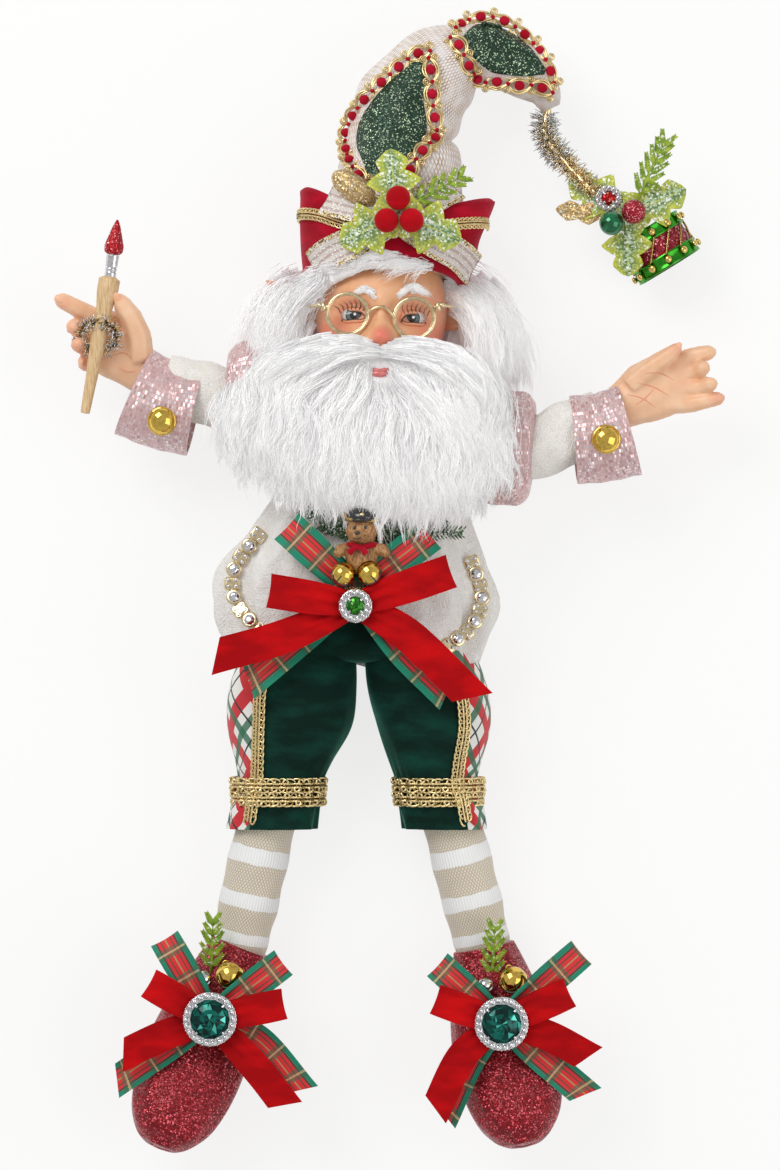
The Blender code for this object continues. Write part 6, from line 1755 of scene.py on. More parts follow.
# %% [markdown]
# ## Panels and looped braid on the hat
# Each panel is a patch between two edge lines, dropped onto the cone. The braid is a pair of cords that swing
# apart round red knots and cross between them, with small curls at the crossings.

# %% Lay on the panels and the braid
PANELS = {
    "lower": (
        [
            (14.3, 229.0), (10.1, 229.6), (0, 221.2), (-7.6, 212.8),
            (-13.5, 203.5), (-14.8, 193.4), (-11.8, 185), (-9.3, 177)
        ],
        [
            (15.5, 226), (15.0, 221), (14.3, 215.3), (15.5, 206.9),
            (16, 198.5), (12.0, 192.5), (7.5, 186), (5, 176)
        ],
    ),
    "upper": (
        [(31.5, 241), (37, 247), (44, 248.5), (53, 245.2), (61.4, 238.5), (69, 228)],
        [(34.5, 236), (38, 231), (44.6, 226.3), (52, 225.0), (60, 224.5), (68.2, 225.5)],
    ),
}


def panel(left, right, rows_count, cols, lift, thickness):
    """A patch between two edges, laid on the hat: an upper skin, and the same points sunk a little."""
    left, right = evened(spline(left, 80), rows_count), evened(spline(right, 80), rows_count)
    share = np.linspace(0, 1, cols)[None, :, None]
    flat = left[:, None] * (1 - share) + right[:, None] * share
    top = drape(hat_tree, flat, lift)
    return sheet_between(top, top - [0, 0, thickness])


patches = [panel(left, right, 60, 40, 0.9, 1.6) for left, right in PANELS.values()]
piece("glitter_panels", *merged(patches), GREEN_GLITTER)


def gimp(path, up, width, pitch, cord):
    """Two looping cords and two straight ones that follow a path, given the direction square to the cloth."""
    reach = reached(path)
    at = np.linspace(0, reach[-1], int(reach[-1] / pitch * 9))
    fine = evened(path, len(at))
    normal = unit(np.stack([np.interp(at, reach, up[:, k]) for k in range(3)], -1))
    along = unit(np.gradient(fine, axis=0))
    side = unit(np.cross(normal, along))
    turn = at / pitch * 2 * np.pi
    parts = []
    for hand in (-1, 1):
        phase = turn + (0 if hand > 0 else np.pi)
        swing = hand * width / 2 * (0.55 + 0.42 * np.cos(phase))
        wave = (
            fine + side * swing[:, None] + along * (0.6 * pitch * np.sin(phase))[:, None]
            + normal * (0.3 * np.sin(turn * 2))[:, None]
        )
        parts.append(solid(tube(wave, cord, 5)))
        middle = hand * width * 0.13 + 0.2 * np.sin(turn * 3)
        parts.append(solid(tube(fine + side * middle[:, None] + normal * 0.5, cord, 5)))
    return parts


def braid(path, width=7.8, pitch=10.5):
    """Paired cords swing as sines, a half turn apart: they open round each knot and cross between knots.

    A small curl fills the gap at either side of a crossing. Returns the cords and the two sizes of knots.
    """
    eyes = max(int(round(reached(path)[-1] / pitch)), 1)
    fine = evened(path, eyes * 26 + 1)
    along, _, _ = frames(fine)
    side = unit(sideways(along))
    lift = np.cross(along, side)
    turn = np.linspace(0, eyes * np.pi, len(fine))
    parts = []
    for hand in (-1, 1):
        for half, cord in ((width / 2 - 0.4, 0.50), (width / 2 - 1.5, 0.45)):
            swing = hand * half * np.sign(np.sin(turn)) * np.abs(np.sin(turn)) ** 0.7
            route = fine + side * swing[:, None] + lift * (0.5 * hand * np.cos(turn) + 0.3)[:, None]
            parts.append(solid(tube(route, cord, 6)))
    crossings = fine[::26]
    curl = on_circle(round_angles(10), 1.5)
    for hand in (-1, 1):
        for radius in (1.0, 0.45):
            parts.append(
                copies(*loop(curl * radius, 0.36, 4), crossings + side[::26] * hand * 2.6 + lift[::26] * 0.3)
            )
    knot, speck = (solid(ball((0, 0, 0), radii, 6, 9)) for radii in ((2.5, 2.2, 1.5), (1.1, 1.0, 0.9)))
    turns = np.stack([along, side, lift], -1)
    return parts, [
        copies(*knot, fine[13::26] + lift[13::26] * 0.7, turns[13::26]),
        copies(*speck, crossings + lift[::26] * 0.9, turns[::26])
    ]


BRAIDS = [
    [
        (-10.5, 176), (-15.2, 181), (-19, 190), (-19.4, 200), (-15.2, 208.6),
        (-6.8, 217.8), (4.2, 228), (10.9, 233), (17.6, 234.5)
    ],
    [
        (17.0, 231), (18.5, 222), (18.5, 215.3), (19.3, 206.9),
        (20.4, 197.1), (14.7, 190.4), (9.9, 183.3), (7, 176)
    ],
    [
        (26.8, 240.9), (30.9, 236.9), (34.0, 229.7), (39.7, 222.5),
        (48.8, 222.2), (55.5, 220.4), (63.9, 220.5), (71.5, 217.7)
    ],
    [(28.6, 245.5), (35, 250), (44, 251.5), (54, 248), (63, 240.5), (69.5, 231), (72.5, 222)],
]
cords, knots = [], []
for number, route in enumerate(BRAIDS):
    path = drape(hat_tree, evened(spline(route, 80), 120), 1.6)
    smooth = path.copy()
    for _ in range(6):
        smooth[1:-1] = (smooth[:-2] + smooth[1:-1] * 2 + smooth[2:]) / 4
    parts, beads = braid(smooth, 7.8 if number < 3 else 5.4)
    cords += parts
    knots += beads
piece("hat_braid", *merged(cords), BRAID_GOLD)
piece("hat_braid_knots", *merged(knots), RIBBON_BEAD)
print("hat cords:", len(cords), "knots:", len(knots))

# %% [markdown]
# ## The brim and its trimmings
# The red velvet brim is turned up, stands away from the cone at its sides and rises there to two soft points. A
# sheer gold ribbon lies across its front in four arms, and on that sit three frosted holly leaves, three flocked
# berries, a glittered pod and a sprig.

# %% Model the brim
BRIM_WALL = 3.2
BRIM_FRONT_TOP, BRIM_BOTTOM, BRIM_TILT = 161.0, 131.0, 9.0
BRIM_LEFT_PEAK, BRIM_RIGHT_PEAK = 13.0, 8.5
HAT_FOOT = np.array([-2.0, 36.0])


def make_brim():
    """For each turn, a closed section of (distance from the axis, height); soft creases ripple its face."""
    turn = round_angles(200)
    side, front = np.cos(turn), np.sin(turn)
    right, left, behind = np.maximum(side, 0), np.maximum(-side, 0), np.maximum(-front, 0)
    bottom = BRIM_BOTTOM + BRIM_TILT * np.maximum(front, -0.4)
    peak = BRIM_RIGHT_PEAK * right**2 + BRIM_LEFT_PEAK * left**3 * (4 - 3 * left)
    top = BRIM_FRONT_TOP + peak - 4.0 * behind
    inner = HAT_BASE_RADIUS + 0.45
    flare = 3.5 + 9.5 * right**2 + 0.5 * left**2
    foot, lip = inner + BRIM_WALL * 1.3, inner + BRIM_WALL * 0.4 + flare
    height = top - bottom
    section = [
        (inner + 0.3, bottom + 0.5), (inner + 1.4, bottom - 0.9),
        (foot - 0.6, bottom - 0.6), (foot + 0.4, bottom + 1.2),
        ((foot * 2 + lip) / 3 + 0.9, bottom + height * 0.3), ((foot + lip) / 2 + 1.2, bottom + height * 0.55),
        (lip + BRIM_WALL * 0.5, top - 2.2), (lip + BRIM_WALL * 0.4, top - 0.3), (lip, top + 0.7),
        (lip - BRIM_WALL * 0.45, top - 0.2), (
            (inner + lip) / 2 - 1.0, bottom + height * 0.75
        ), (inner, bottom + height * 0.5),
        (inner, bottom + height * 0.2),
    ]
    section = np.stack(
        [np.stack([np.broadcast_to(r, turn.shape), np.broadcast_to(y, turn.shape)], -1) for r, y in section]
    )
    knots = np.vstack([section, section[:1]])
    at = np.linspace(0, len(section), 60, endpoint=False)
    low = at.astype(int)
    part = (at - low)[:, None, None]
    before, after = knots[low], knots[low + 1]
    prior, later = section[(low - 1) % len(section)], section[(low + 2) % len(section)]
    curve = 0.5 * (
        2 * before + (after - prior) * part + (2 * prior - 5 * before + 4 * after - later) * part**2
        + (3 * before - prior - 3 * after + later) * part**3
    )
    radius, y = curve[..., 0], curve[..., 1]
    ripple = 0.7 * np.sin(7 * turn + 0.12 * y) * np.clip((y - 140) / 20, 0, 1)
    radius = radius + ripple
    z = np.maximum(HAT_FOOT[1] + front * radius, 0.5)
    return np.stack([HAT_FOOT[0] + side * radius, y, z], -1)


brim = make_brim()
piece("velvet_brim", brim, ring_faces(*brim.shape[:2]), BRIM_VELVET, "hat_brim")
BRAID_ROW, FRONT_HALF = 25, 103
edging = brim[BRAID_ROW, :FRONT_HALF]
outwards = unit(
    edging
    - np.column_stack([np.full(FRONT_HALF, HAT_FOOT[0]), edging[:, 1], np.full(FRONT_HALF, HAT_FOOT[1])])
)
piece("brim_braid", *merged(gimp(edging + outwards * 0.7, outwards, 5.0, 3.0, 0.42)), BRAID_GOLD)
print("brim rings:", len(brim))

# %% [markdown]
# ## The sheer bow on the brim
# The bow is four arms of stiff sheer ribbon that start at the brim's middle. Each route is raised to stand just
# off the brim, whose front is part of a circle about the hat's axis.

# %% Lay on the sheer bow
def brim_front(x):
    """How high the brim's outside stands over a place across the hat."""
    reach = HAT_BASE_RADIUS + BRIM_WALL + 4.5
    return HAT_FOOT[1] + np.sqrt(np.maximum(reach**2 - (np.asarray(x, float) - HAT_FOOT[0]) ** 2, 60.0))


SHEER_LIFT = 2.4
HAT_BOW = [
    (
        [(3, 160, 0), (-14, 164, 1.5), (-28, 168, 1.5)], 2.0
    ), ([(3, 160, 0), (18, 168, 1.5), (28, 174, 1.5)], -2.0),
    ([(3, 160, 0), (-14, 150, 0), (-27, 144, 0), (-34, 138, 1.0)], 3.0),
    ([(3, 160, 0), (18, 150, 0), (30, 144, 0), (37, 138, 2.0)], -3.0),
]
parts = []
for route, slant in HAT_BOW:
    spots = [(x, y, float(brim_front(x)) + SHEER_LIFT + extra) for x, y, extra in route]
    path = spline(spots, 40)
    parts.append(ribbon_part(path, sideways(np.gradient(path, axis=0)), 14.0, 0.7, slant=slant, curl=1.2))
ribbons("sheer_ribbon_bow", parts, SHEER_RIBBON, "sheer_hat_bow")
print("sheer arms:", len(parts))

# %% [markdown]
# ## Holly, berries, pod and sprig
# A silk holly leaf is thin and stiff, with prickles along its rim and a crease down its middle. It is made flat
# as an upper and a lower skin, drooped, and turned to its way about the heart. The berries are flocked balls,
# the pod an egg with soft ribs, and the sprig a stem whose twigs carry short needles.

# %% Trim the hat
def holly_leaf(heart, turn_deg, length, width, fold, droop, thickness=0.5, prickles=3, ruffle=0.5):
    """A leaf as (points, faces, uv): its half width is a belly times a saw of scallops; veins are creases."""
    rows_count, cols = 64, 25
    t = np.linspace(0, 1, rows_count)[:, None]
    s = np.linspace(-1, 1, cols)[None]
    belly = np.sin(np.pi * (0.06 + 0.92 * t)) ** 0.8 * (1.06 - 0.25 * t)
    tooth = (t * prickles + 0.55) % 1.0
    scallop = 0.58 + 0.60 * np.abs(2 * tooth - 1) ** 1.7
    half = width / 2 * belly * scallop + 0.2
    x = length * (0.02 + t * 0.98) + np.abs(s) ** 2 * 1.2 * np.sin(2 * np.pi * tooth)
    y = s * half
    vein = (
        0.35 * np.cos(2 * np.pi * (t * prickles * 2 - np.abs(s) * 0.9))
        * (1 - np.abs(s)) ** 0.5 * np.abs(s) ** 0.3
    )
    z = -droop * x * x - fold * np.abs(y) * (1 - 0.3 * np.abs(s)) + 0.9 * (1 - np.abs(s)) ** 4 * 0.5 + vein
    z = z + ruffle * np.sin(2 * np.pi * prickles * t + 0.4) * s**2
    top = np.stack([x + 0 * s, y, z + thickness / 2], -1)
    low_side = top - [0, 0, thickness]
    c, s_turn = np.cos(np.radians(turn_deg)), np.sin(np.radians(turn_deg))
    turn = np.array([[c, -s_turn, 0], [s_turn, c, 0], [0, 0, 1]])
    points, groups = sheet_between(top, low_side)
    points = points @ turn.T + np.array(heart, float)
    u = np.abs(np.broadcast_to(s, (rows_count, cols)))
    v = np.broadcast_to(t, (rows_count, cols))
    spots = np.stack([u, v], -1).reshape(-1, 2)
    spots = np.vstack([spots, spots])
    return points, groups, spots[groups[0].reshape(-1)]


def holly(name, heart, leaves, droop, finish, stands_for, **shape):
    """Several leaves as one piece, their UVs kept: u runs from the midrib to the edge, v along the leaf."""
    made = [holly_leaf(heart, *leaf, droop, **shape) for leaf in leaves]
    points, groups = merged([(spots, faces) for spots, faces, _ in made])
    return piece(name, points, groups, finish, stands_for, np.vstack([uv for _, _, uv in made]))


HOLLY_TOP = float(brim_front(3.0)) + 7.4
holly(
    "frosted_hat_holly", (3.2, 160.5, HOLLY_TOP),
    ((96, 29, 22, 0.10), (207, 28, 23, 0.10), (-22, 30, 23, 0.10)), 0.008, HAT_HOLLY, "hat_holly"
)
BERRY_RADIUS = 5.3
z = HOLLY_TOP + 1.4 + BERRY_RADIUS
BERRIES = [(3.5, 167.0, z), (3.9 - BERRY_RADIUS * 1.02, 157.3, z), (3.9 + BERRY_RADIUS * 1.02, 157.3, z)]
piece(
    "hat_holly_berries", *merged([solid(ball(spot, (BERRY_RADIUS,) * 3, 28, 40)) for spot in BERRIES]),
    BERRY_RED, "hat_berries"
)


def pod(centre, radii, turn_deg):
    """An egg with eight soft ribs, its long axis turned in the plane of the table."""
    points = ball((0, 0, 0), radii, 40, 48, (1, 0, 0))
    angle = np.arctan2(points[..., 2], points[..., 1])
    points[..., 1:] *= (1 + 0.05 * np.cos(8 * angle))[..., None]
    c, s = np.cos(np.radians(turn_deg)), np.sin(np.radians(turn_deg))
    return points @ np.array([[c, s, 0], [-s, c, 0], [0, 0, 1]]) + np.array(centre, float)


surface(
    "gold_glitter_pod", pod((-15.5, 172.0, float(brim_front(-15)) + 3.0), (11.5, 5.6, 5.2), -36),
    GOLD_GLITTER, "glitter_pod"
)


def fern(root, tip, twigs, twig, spread_deg, rise, girth=0.75, needles=7):
    """A stem with twigs to both sides, each twig set with short flat needles like an evergreen tip."""
    root, tip = np.array(root, float), np.array(tip, float)
    way = tip - root
    length = np.linalg.norm(way)
    way = way / length
    side = unit(np.cross(UP, way))
    up = np.cross(way, side)
    lines = [(root, tip, girth)]
    for k in range(twigs):
        share = 0.12 + 0.85 * k / max(twigs - 1, 1)
        start = root + way * length * share
        for hand in (-1, 1):
            angle = np.radians(spread_deg * (1.15 - 0.4 * share))
            direction = (
                way * np.cos(angle) + side * hand * np.sin(angle) + up * rise / twig * (1 if k % 2 else -0.2)
            )
            reach = twig * (1.0 - 0.45 * abs(share - 0.4))
            end = start + direction * reach
            lines.append((start, end, girth * 0.8))
            across = unit(np.cross(UP, unit(direction)))
            for n in range(needles):
                part = (n + 1) / (needles + 0.5)
                foot = start + (end - start) * part
                for other in (-1, 1):
                    tine = unit(unit(direction) * 0.85 + across * other * 0.55 + up * 0.1)
                    lines.append((foot, foot + tine * 2.6 * (1.15 - part * 0.6), girth * 0.55))
    parts = []
    for start, end, wide in lines:
        path = np.linspace(start, end, 4)
        parts.append(solid(tube(path, wide * np.array([0.8, 1.0, 0.8, 0.25]), 6)))
    return parts


piece(
    "hat_fern",
    *merged(fern((10, 165, HOLLY_TOP - 1.0), (30, 177, float(brim_front(28)) + 9), 5, 9, 38, 1.5)),
    LIME, "hat_sprig"
)
print("hat trimmed")

# %% [markdown]
# ## Ribbon bows
# A bow is two loops, two tails and a knot. A loop's ribbon leaves the knot, rises to its tip and comes back
# beneath itself; near the knot it is pinched to half its width and creased. The tails fall away from the knot
# and are cut askew. Velvet bows lie over plaid ones.

# %% Tie the bows
LOOP_ROUTE = (
    (0.04, 0.25), (0.35, 0.85), (0.75, 1.0), (0.98, 0.45),
    (0.95, -0.25), (0.7, -0.6), (0.35, -0.5), (0.04, -0.2)
)
LOOP_RISE = 4.0
KNOT_RADII = (5.58, 6.48, 2.9)
WAIST = (-15.0, -8.5)
PLAID_Z, VELVET_Z = 59.5, 65.5
PLAID_WIDTH, VELVET_WIDTH, SHOE_RIBBON_WIDTH = 15.5, 15.0, 13.5


def pinched(share, width, both):
    """The ribbon's width along it: about half at the knot, full from a third of the way on."""
    near = np.minimum(share, 1 - share) * 2 if both else share
    grow = np.clip(near / 0.55, 0, 1)
    return width * (0.60 + 0.40 * grow**0.7 * (3 - 2 * grow) ** 0.3), 1 - grow


def make_bow(name, centre, loops, tails, width, finish, stands_for, extra=()):
    """Every strip and the knot of a bow as one piece."""
    centre = np.array(centre, float)
    parts = []
    share = np.linspace(0, 1, 64)
    for tip in loops:
        reach = np.array([tip[0] - centre[0], tip[1] - centre[1], 0.0])
        side = np.array([-reach[1], reach[0], 0.0])
        path = spline([centre + reach * part + [0, 0, LOOP_RISE * lift] for part, lift in LOOP_ROUTE], 64)
        wide, crease = pinched(share, width, True)
        parts.append(ribbon_part(path, side, wide, 0.9, columns=17, crease=crease * 0.9, curl=0.5))
    for points, slant in tails:
        path = spline([centre, *points], 48)
        side = sideways(np.gradient(path, axis=0))
        wide, crease = pinched(np.linspace(0, 1, 48), width, False)
        along = np.linspace(0, 1, 48)
        path = path + UP * (1.1 * np.sin(2.2 * np.pi * along) * along)[:, None]
        parts.append(
            ribbon_part(path, side, wide, 0.9, columns=17, slant=slant, crease=crease * 0.9, curl=0.4)
        )
    knot = ball(centre, KNOT_RADII, 30, 60, (0, 1, 0))
    wrap = np.arctan2(knot[..., 2] - centre[2], knot[..., 0] - centre[0])
    knot[..., 2] += 0.22 * np.sin(wrap * 16) * (knot[..., 2] > centre[2])
    for extra_part in [knot, *extra]:
        spots, faces = solid(extra_part)
        rows_count, cols = extra_part.shape[:2]
        quad_uv = grid_uv(rows_count, cols, True, 15.0, 12.0) - [7.5, 0.0]
        parts.append((spots, faces, [quad_uv, np.zeros((3 * cols, 2)), np.zeros((3 * cols, 2))]))
    return ribbons(name, parts, finish, stands_for)


x, y = WAIST
make_bow(
    "plaid_bow_waist", (x, y + 6, PLAID_Z), [(-45.0, 25.5), (17.5, 22.0)],
    [([(-36, -20, 59), (-62, -42, 56.5)], 3.0), ([(6, -28, 60), (25, -47, 57.5)], -3.0)],
    PLAID_WIDTH, PLAID_RIBBON, "plaid_waist_bow",
)
make_bow(
    "velvet_bow_waist", (x, y, VELVET_Z), [(-52.5, -2.5), (26.5, 6.0)],
    [([(-45, -22, 65.5), (-76, -31, 63.5)], 4.0), ([(8, -22, 67), (36, -49, 65)], 5.0)],
    VELVET_WIDTH, RED_VELVET, "velvet_waist_bow",
)
SHOE_BOWS = {
    "left": {
        "centre": (-78.8, -190.0), "bell": (-70.6, -172.0), "bead": (-82.0, -173.5),
        "velvet": (
            [(-105.5, -174.5), (-46.5, -183.5)], [[(-98, -197), (-117, -206)], [(-60, -210), (-46, -228)]]
        ),
        "plaid": (
            [(-99.0, -155.5), (-47.0, -166.0)], [[(-98, -203), (-120, -218)], [(-58, -200), (-39, -222)]]
        ),
    },
    "right": {
        "centre": (48.8, -192.0), "bell": (54.2, -174.0), "bead": (42.0, -176.5),
        "velvet": ([(20.0, -181.5), (78.5, -178.5)], [[(32, -206), (20, -230)], [(68, -197), (87, -207)]]),
        "plaid": ([(21.0, -167.0), (84.0, -161.5)], [[(36, -207), (24, -233)], [(66, -207), (86, -224)]]),
    },
}
SHOE_LEVELS = {"plaid": (45.0, PLAID_RIBBON), "velvet": (51.5, RED_VELVET)}
for side, place in SHOE_BOWS.items():
    x, y = place["centre"]
    for kind, (z, finish) in SHOE_LEVELS.items():
        loops, tails = place[kind]
        fall = [([(a[0], a[1], z + 0.5), (b[0], b[1], z - 2.0)], 3.5) for a, b in tails]
        stem = [
            loft([(x, y, z - 15, 4, 4, 4), (x, y + 0.5, z, 3.5, 3.5, 3.5)], 30, 6)
        ] if kind == "plaid" else []
        make_bow(
            f"{side}_{kind}_bow_shoe", (x, y, z), loops, fall,
            SHOE_RIBBON_WIDTH, finish, f"{side}_shoe_{kind}_bow", stem
        )
print("bows tied: 6")

# %% [markdown]
# ## Cut stones in crystal rings
# A foiled glass stone with many facets sits in a metal cup, held by four claws, inside a ring of small clear
# crystals. Facets are flat, so the stone's faces keep sharp edges. The crystals are one small gem repeated.

# %% Set the stones
def gem(centre, radius, height, sides):
    """A brilliant's crown: girdle, two slanted bands turned half a step against each other, and a table."""
    levels = ((-0.3, 0.96, 0.0), (0.0, 1.0, 0.0), (0.55, 0.80, 0.5), (0.85, 0.52, 0.0), (1.0, 0.30, 0.5))
    rings = []
    for rise, reach, turn in levels:
        angle = (np.arange(sides) + turn) * 2 * np.pi / sides
        rings.append(on_circle(angle, reach * radius, rise * height))
    return np.stack(rings) + np.array(centre, float)


def facetted(points):
    """Each quad of a gem split into two flat triangles, so that every facet is truly flat."""
    spots, groups = solid(points)
    quads = groups[0]
    split = np.vstack([quads[:, [0, 1, 2]], quads[:, [0, 2, 3]]])
    return spots, [np.vstack([split, groups[1], groups[2]])]


def facet_chances(faces):
    """One pair of random numbers for each triangle, given to its three corners as their UV."""
    return np.repeat(dice.random((len(faces[0]), 2)), 3, axis=0)


def set_stone(name, centre, radius, stone_share, count, stone_finish, stands_for, claws=4):
    """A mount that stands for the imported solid, a stone, its claws and a ring of crystals."""
    centre = np.array(centre, float)
    stone = radius * stone_share
    small = np.pi * (radius + stone) / 2 / count * 0.92
    middle = (radius + stone) / 2 + 0.1
    profile = [
        (-0.1, stone * 0.7), (0, radius * 0.93), (0.5, radius),
        (1.1, radius * 0.97), (1.3, radius * 0.9), (1.4, stone * 0.9)
    ]
    parts = [solid(turned(profile, centre, (0, 0, 1), 96))]
    angle = np.arange(count) * 2 * np.pi / count
    places = centre + on_circle(angle, middle, 1.3)
    cup = [(0, small * 0.8), (0.3, small * 1.02), (0.9, small * 1.0), (1.0, small * 0.8)]
    parts.append(copies(*solid(turned(cup, (0, 0, 0), (0, 0, 1), 14)), places))
    bead = solid(ball((0, 0, 0), (0.42, 0.42, 0.5), 6, 8))
    between = angle + np.pi / count
    parts += [
        copies(*bead, centre + on_circle(between, reach, 1.9))
        for reach in (radius - 0.2, stone + 0.35)
    ]
    for k in range(claws):
        turn = (k + 0.5) * 2 * np.pi / claws
        way = np.array([np.cos(turn), np.sin(turn), 0.0])
        claw = [
            centre + way * (stone + out) + UP * rise
            for out, rise in ((0.6, 1.0), (0.25, 2.9), (-1.1, 3.4))
        ]
        parts.append(solid(tube(spline(claw, 10), 0.55, 10)))
    piece(name + "_mount", *merged(parts), SILVER, stands_for, sharp=50)
    crystals = copies(*facetted(gem((0, 0, 0.9), small * 0.88, 1.0, 8)), places)
    piece(name + "_crystals", *crystals, CRYSTAL, sharp=5)
    spots, faces = facetted(gem(centre + [0, 0, 1.5], stone, max(stone * 0.34, 1.2), 14))
    piece(name + "_stone", spots, faces, stone_finish, uv=facet_chances(faces), sharp=5)


set_stone("waist_gem", (-15, -9, 68.85), 7.4, 0.56, 14, PERIDOT, "waist_jewel")
for side, place in SHOE_BOWS.items():
    set_stone(side + "_shoe_gem", (*place["centre"], 54.85), 11.8, 0.74, 22, EMERALD, side + "_shoe_jewel")
print("stones set: 3")

# %% [markdown]
# ## Bells and beads
# A jingle bell is two pressed cups with a seam between them, a slot with two round holes at its ends and a
# small eye. The slot and the holes are thin dark patches laid on the skin: painted shade for their dark inside.

# %% Model the bells
WAIST_BELL, SHOE_BELL, BEAD_RADIUS = 5.3, 6.2, 3.6
BELL_LEVEL, BEAD_LEVEL = 41.5, 39.5
SLOT_ARC = 0.95


def bell(name, centre, radius, slot_deg, stands_for):
    """A ball with a bell curve of a bulge at its seam, an eye at its back and a crossed slot at its front."""
    centre = np.array(centre, float)
    way = unit(np.array([np.cos(np.radians(slot_deg)), np.sin(np.radians(slot_deg)), 0.75]))
    angle = np.linspace(0, np.pi, 50)
    bulge = radius * (1 + 0.045 * np.exp(-((angle - np.pi / 2) / 0.06) ** 2))
    profile = np.stack([-np.cos(angle) * bulge, np.sin(angle) * bulge], -1)
    parts = [solid(turned(profile, centre, way, 60))]
    eye = round_angles(20)
    one = unit(np.cross(way, UP))
    hoop = centre - way * (radius + 0.9) + np.cos(eye)[:, None] * way * 1.2 + np.sin(eye)[:, None] * one * 1.2
    parts.append(loop(hoop, 0.35, 8))
    piece(name, *merged(parts), MIRROR_GOLD, stands_for)
    two = np.cross(way, one)
    bend = np.linspace(-SLOT_ARC, SLOT_ARC, 30)
    slot = centre + (np.cos(bend)[:, None] * way + np.sin(bend)[:, None] * one) * radius * 0.995
    # painted shade: the slot, its end holes and the cross slot are dark tubes and discs laid on the skin
    dark = [solid(tube(slot, 0.36, 8))]
    for end in (-1, 1):
        spot = np.cos(SLOT_ARC) * way + end * np.sin(SLOT_ARC) * one
        dark.append(
            solid(turned([(-0.3, 1.0), (0.12, 1.0), (0.16, 0.3)], centre + spot * radius * 0.985, spot, 20))
        )
    cross = centre + (np.cos(bend * 0.8)[:, None] * way + np.sin(bend * 0.8)[:, None] * two) * radius * 0.995
    dark.append(solid(tube(cross, 0.3, 8)))
    piece(name + "_slots", *merged(dark), BLACK_ENAMEL_AND_SLOT_SHADE)


bell("left_waist_jingle", (-20.5, 4.6, 67.5), WAIST_BELL, -130, "left_waist_bell")
bell("right_waist_jingle", (-8.9, 4.9, 67.5), WAIST_BELL, -50, "right_waist_bell")
for side, place in SHOE_BOWS.items():
    bell(side + "_shoe_jingle", (*place["bell"], BELL_LEVEL), SHOE_BELL, -70, side + "_shoe_bell")
    bead = ball((*place["bead"], BEAD_LEVEL), (BEAD_RADIUS,) * 3, 30, 40)
    surface(side + "_silver_bead", bead, SILVER, side + "_shoe_bead")
    x, y = place["bead"]
    piece(
        side + "_shoe_fern", *merged(fern((x + 3, y + 2, 33), (x + 4, y + 24, 40), 5, 9, 34, 1.6)),
        LIME, side + "_shoe_sprig"
    )
print("bells hung: 4")

# %% [markdown]
# ## The little bear
# A resin bear sits at the beard's foot, in front of frosted pine sprays. It wears a dark cap with a gold band
# and a red scarf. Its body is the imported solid, softened, and its fur is carved as short tufts, which stretched
# noise paints and bumps. The cap, scarf, eyes, nose and smile are small turned and swept shapes.

# %% Model the bear
def fur_resin(name):
    """Carved tufts: noise stretched along the body paints them and raises them."""
    paint = Paint(name, Roughness=0.5)
    spots = paint.object_mm()
    tufts = paint.noise(paint.stretched(spots, 1.1, 0.5, 1.1), 1.0, 4.0, 0.65)
    colour = paint.blend(tufts.step(0.32, 0.66), (0.16, 0.055, 0.015), (0.62, 0.33, 0.13))
    return paint.shade(Base_Color=colour, Normal=paint.bump(tufts, 0.7, 0.9))


BEAR_FUR = fur_resin("bear_fur_resin")
BEAR = np.array([-12.3, 12.0, 63.5])
bear_points, bear_faces = softened("resin_bear", 0.55, 3)
piece("bear_body", bear_points, bear_faces, BEAR_FUR, "resin_bear")
head = BEAR + [0, 11.5, 3.5]
cap = turned(
    [(0, 6.2), (0.8, 6.6), (2.6, 6.7), (4.6, 5.6), (5.6, 3.4), (5.9, 1.0)],
    BEAR + [0, 16.0, 3.6], (0.05, 1, 0.15), 40
)
peak = ball(BEAR + [0, 16.2, 9.0], (4.6, 1.0, 2.6), 14, 24)
piece("bear_cap", *merged([solid(cap), solid(peak)]), BLACK_ENAMEL_AND_SLOT_SHADE)
band = turned([(0, 6.7), (0.2, 6.95), (1.0, 6.95), (1.2, 6.7)], BEAR + [0, 16.3, 3.6], (0.05, 1, 0.15), 40)
badge = ball(BEAR + [0.2, 18.2, 9.9], (1.2, 1.2, 0.5), 8, 14)
piece("bear_cap_braid", *merged([solid(band), solid(badge)]), GOLD)
eyes = [solid(ball(head + [dx, 1.5, 5.6], (0.75, 0.85, 0.6), 10, 14)) for dx in (-3.0, 1.6)]
nose = ball(BEAR + [-1.9, 10.6, 12.2], (1.25, 0.85, 0.7), 10, 16)
smile = tube(
    spline([BEAR + [-3.4, 8.4, 11.4], BEAR + [-1.9, 7.7, 12.1], BEAR + [-0.2, 8.5, 11.3]], 14), 0.22, 8
)
piece("bear_face", *merged(eyes + [solid(nose), solid(smile)]), BLACK_ENAMEL_AND_SLOT_SHADE)
scarf_turn = round_angles(60)
scarf = np.stack(
    [
        BEAR[0] + 5.9 * np.cos(scarf_turn), BEAR[1] + 5.0 + 0.5 * np.sin(3 * scarf_turn),
        BEAR[2] + 2.2 + 4.9 * np.sin(scarf_turn)
    ],
    -1
)
scarf_parts = [loop(scarf, 1.25, 12)]
for tip in ((-5.4, 2.0, 7.6), (1.8, 1.6, 7.8)):
    path = spline(
        [BEAR + [-1.8, 4.6, 7.4], BEAR + np.array([tip[0] * 0.6 - 0.6, 3.4, 8.2]), BEAR + np.array(tip)], 16
    )
    scarf_parts.append(solid(tube(path, np.linspace(0.9, 1.5, 16), 10)))
scarf_parts.append(solid(ball(BEAR + [-1.8, 4.7, 7.4], (1.6, 1.3, 1.1), 12, 16)))
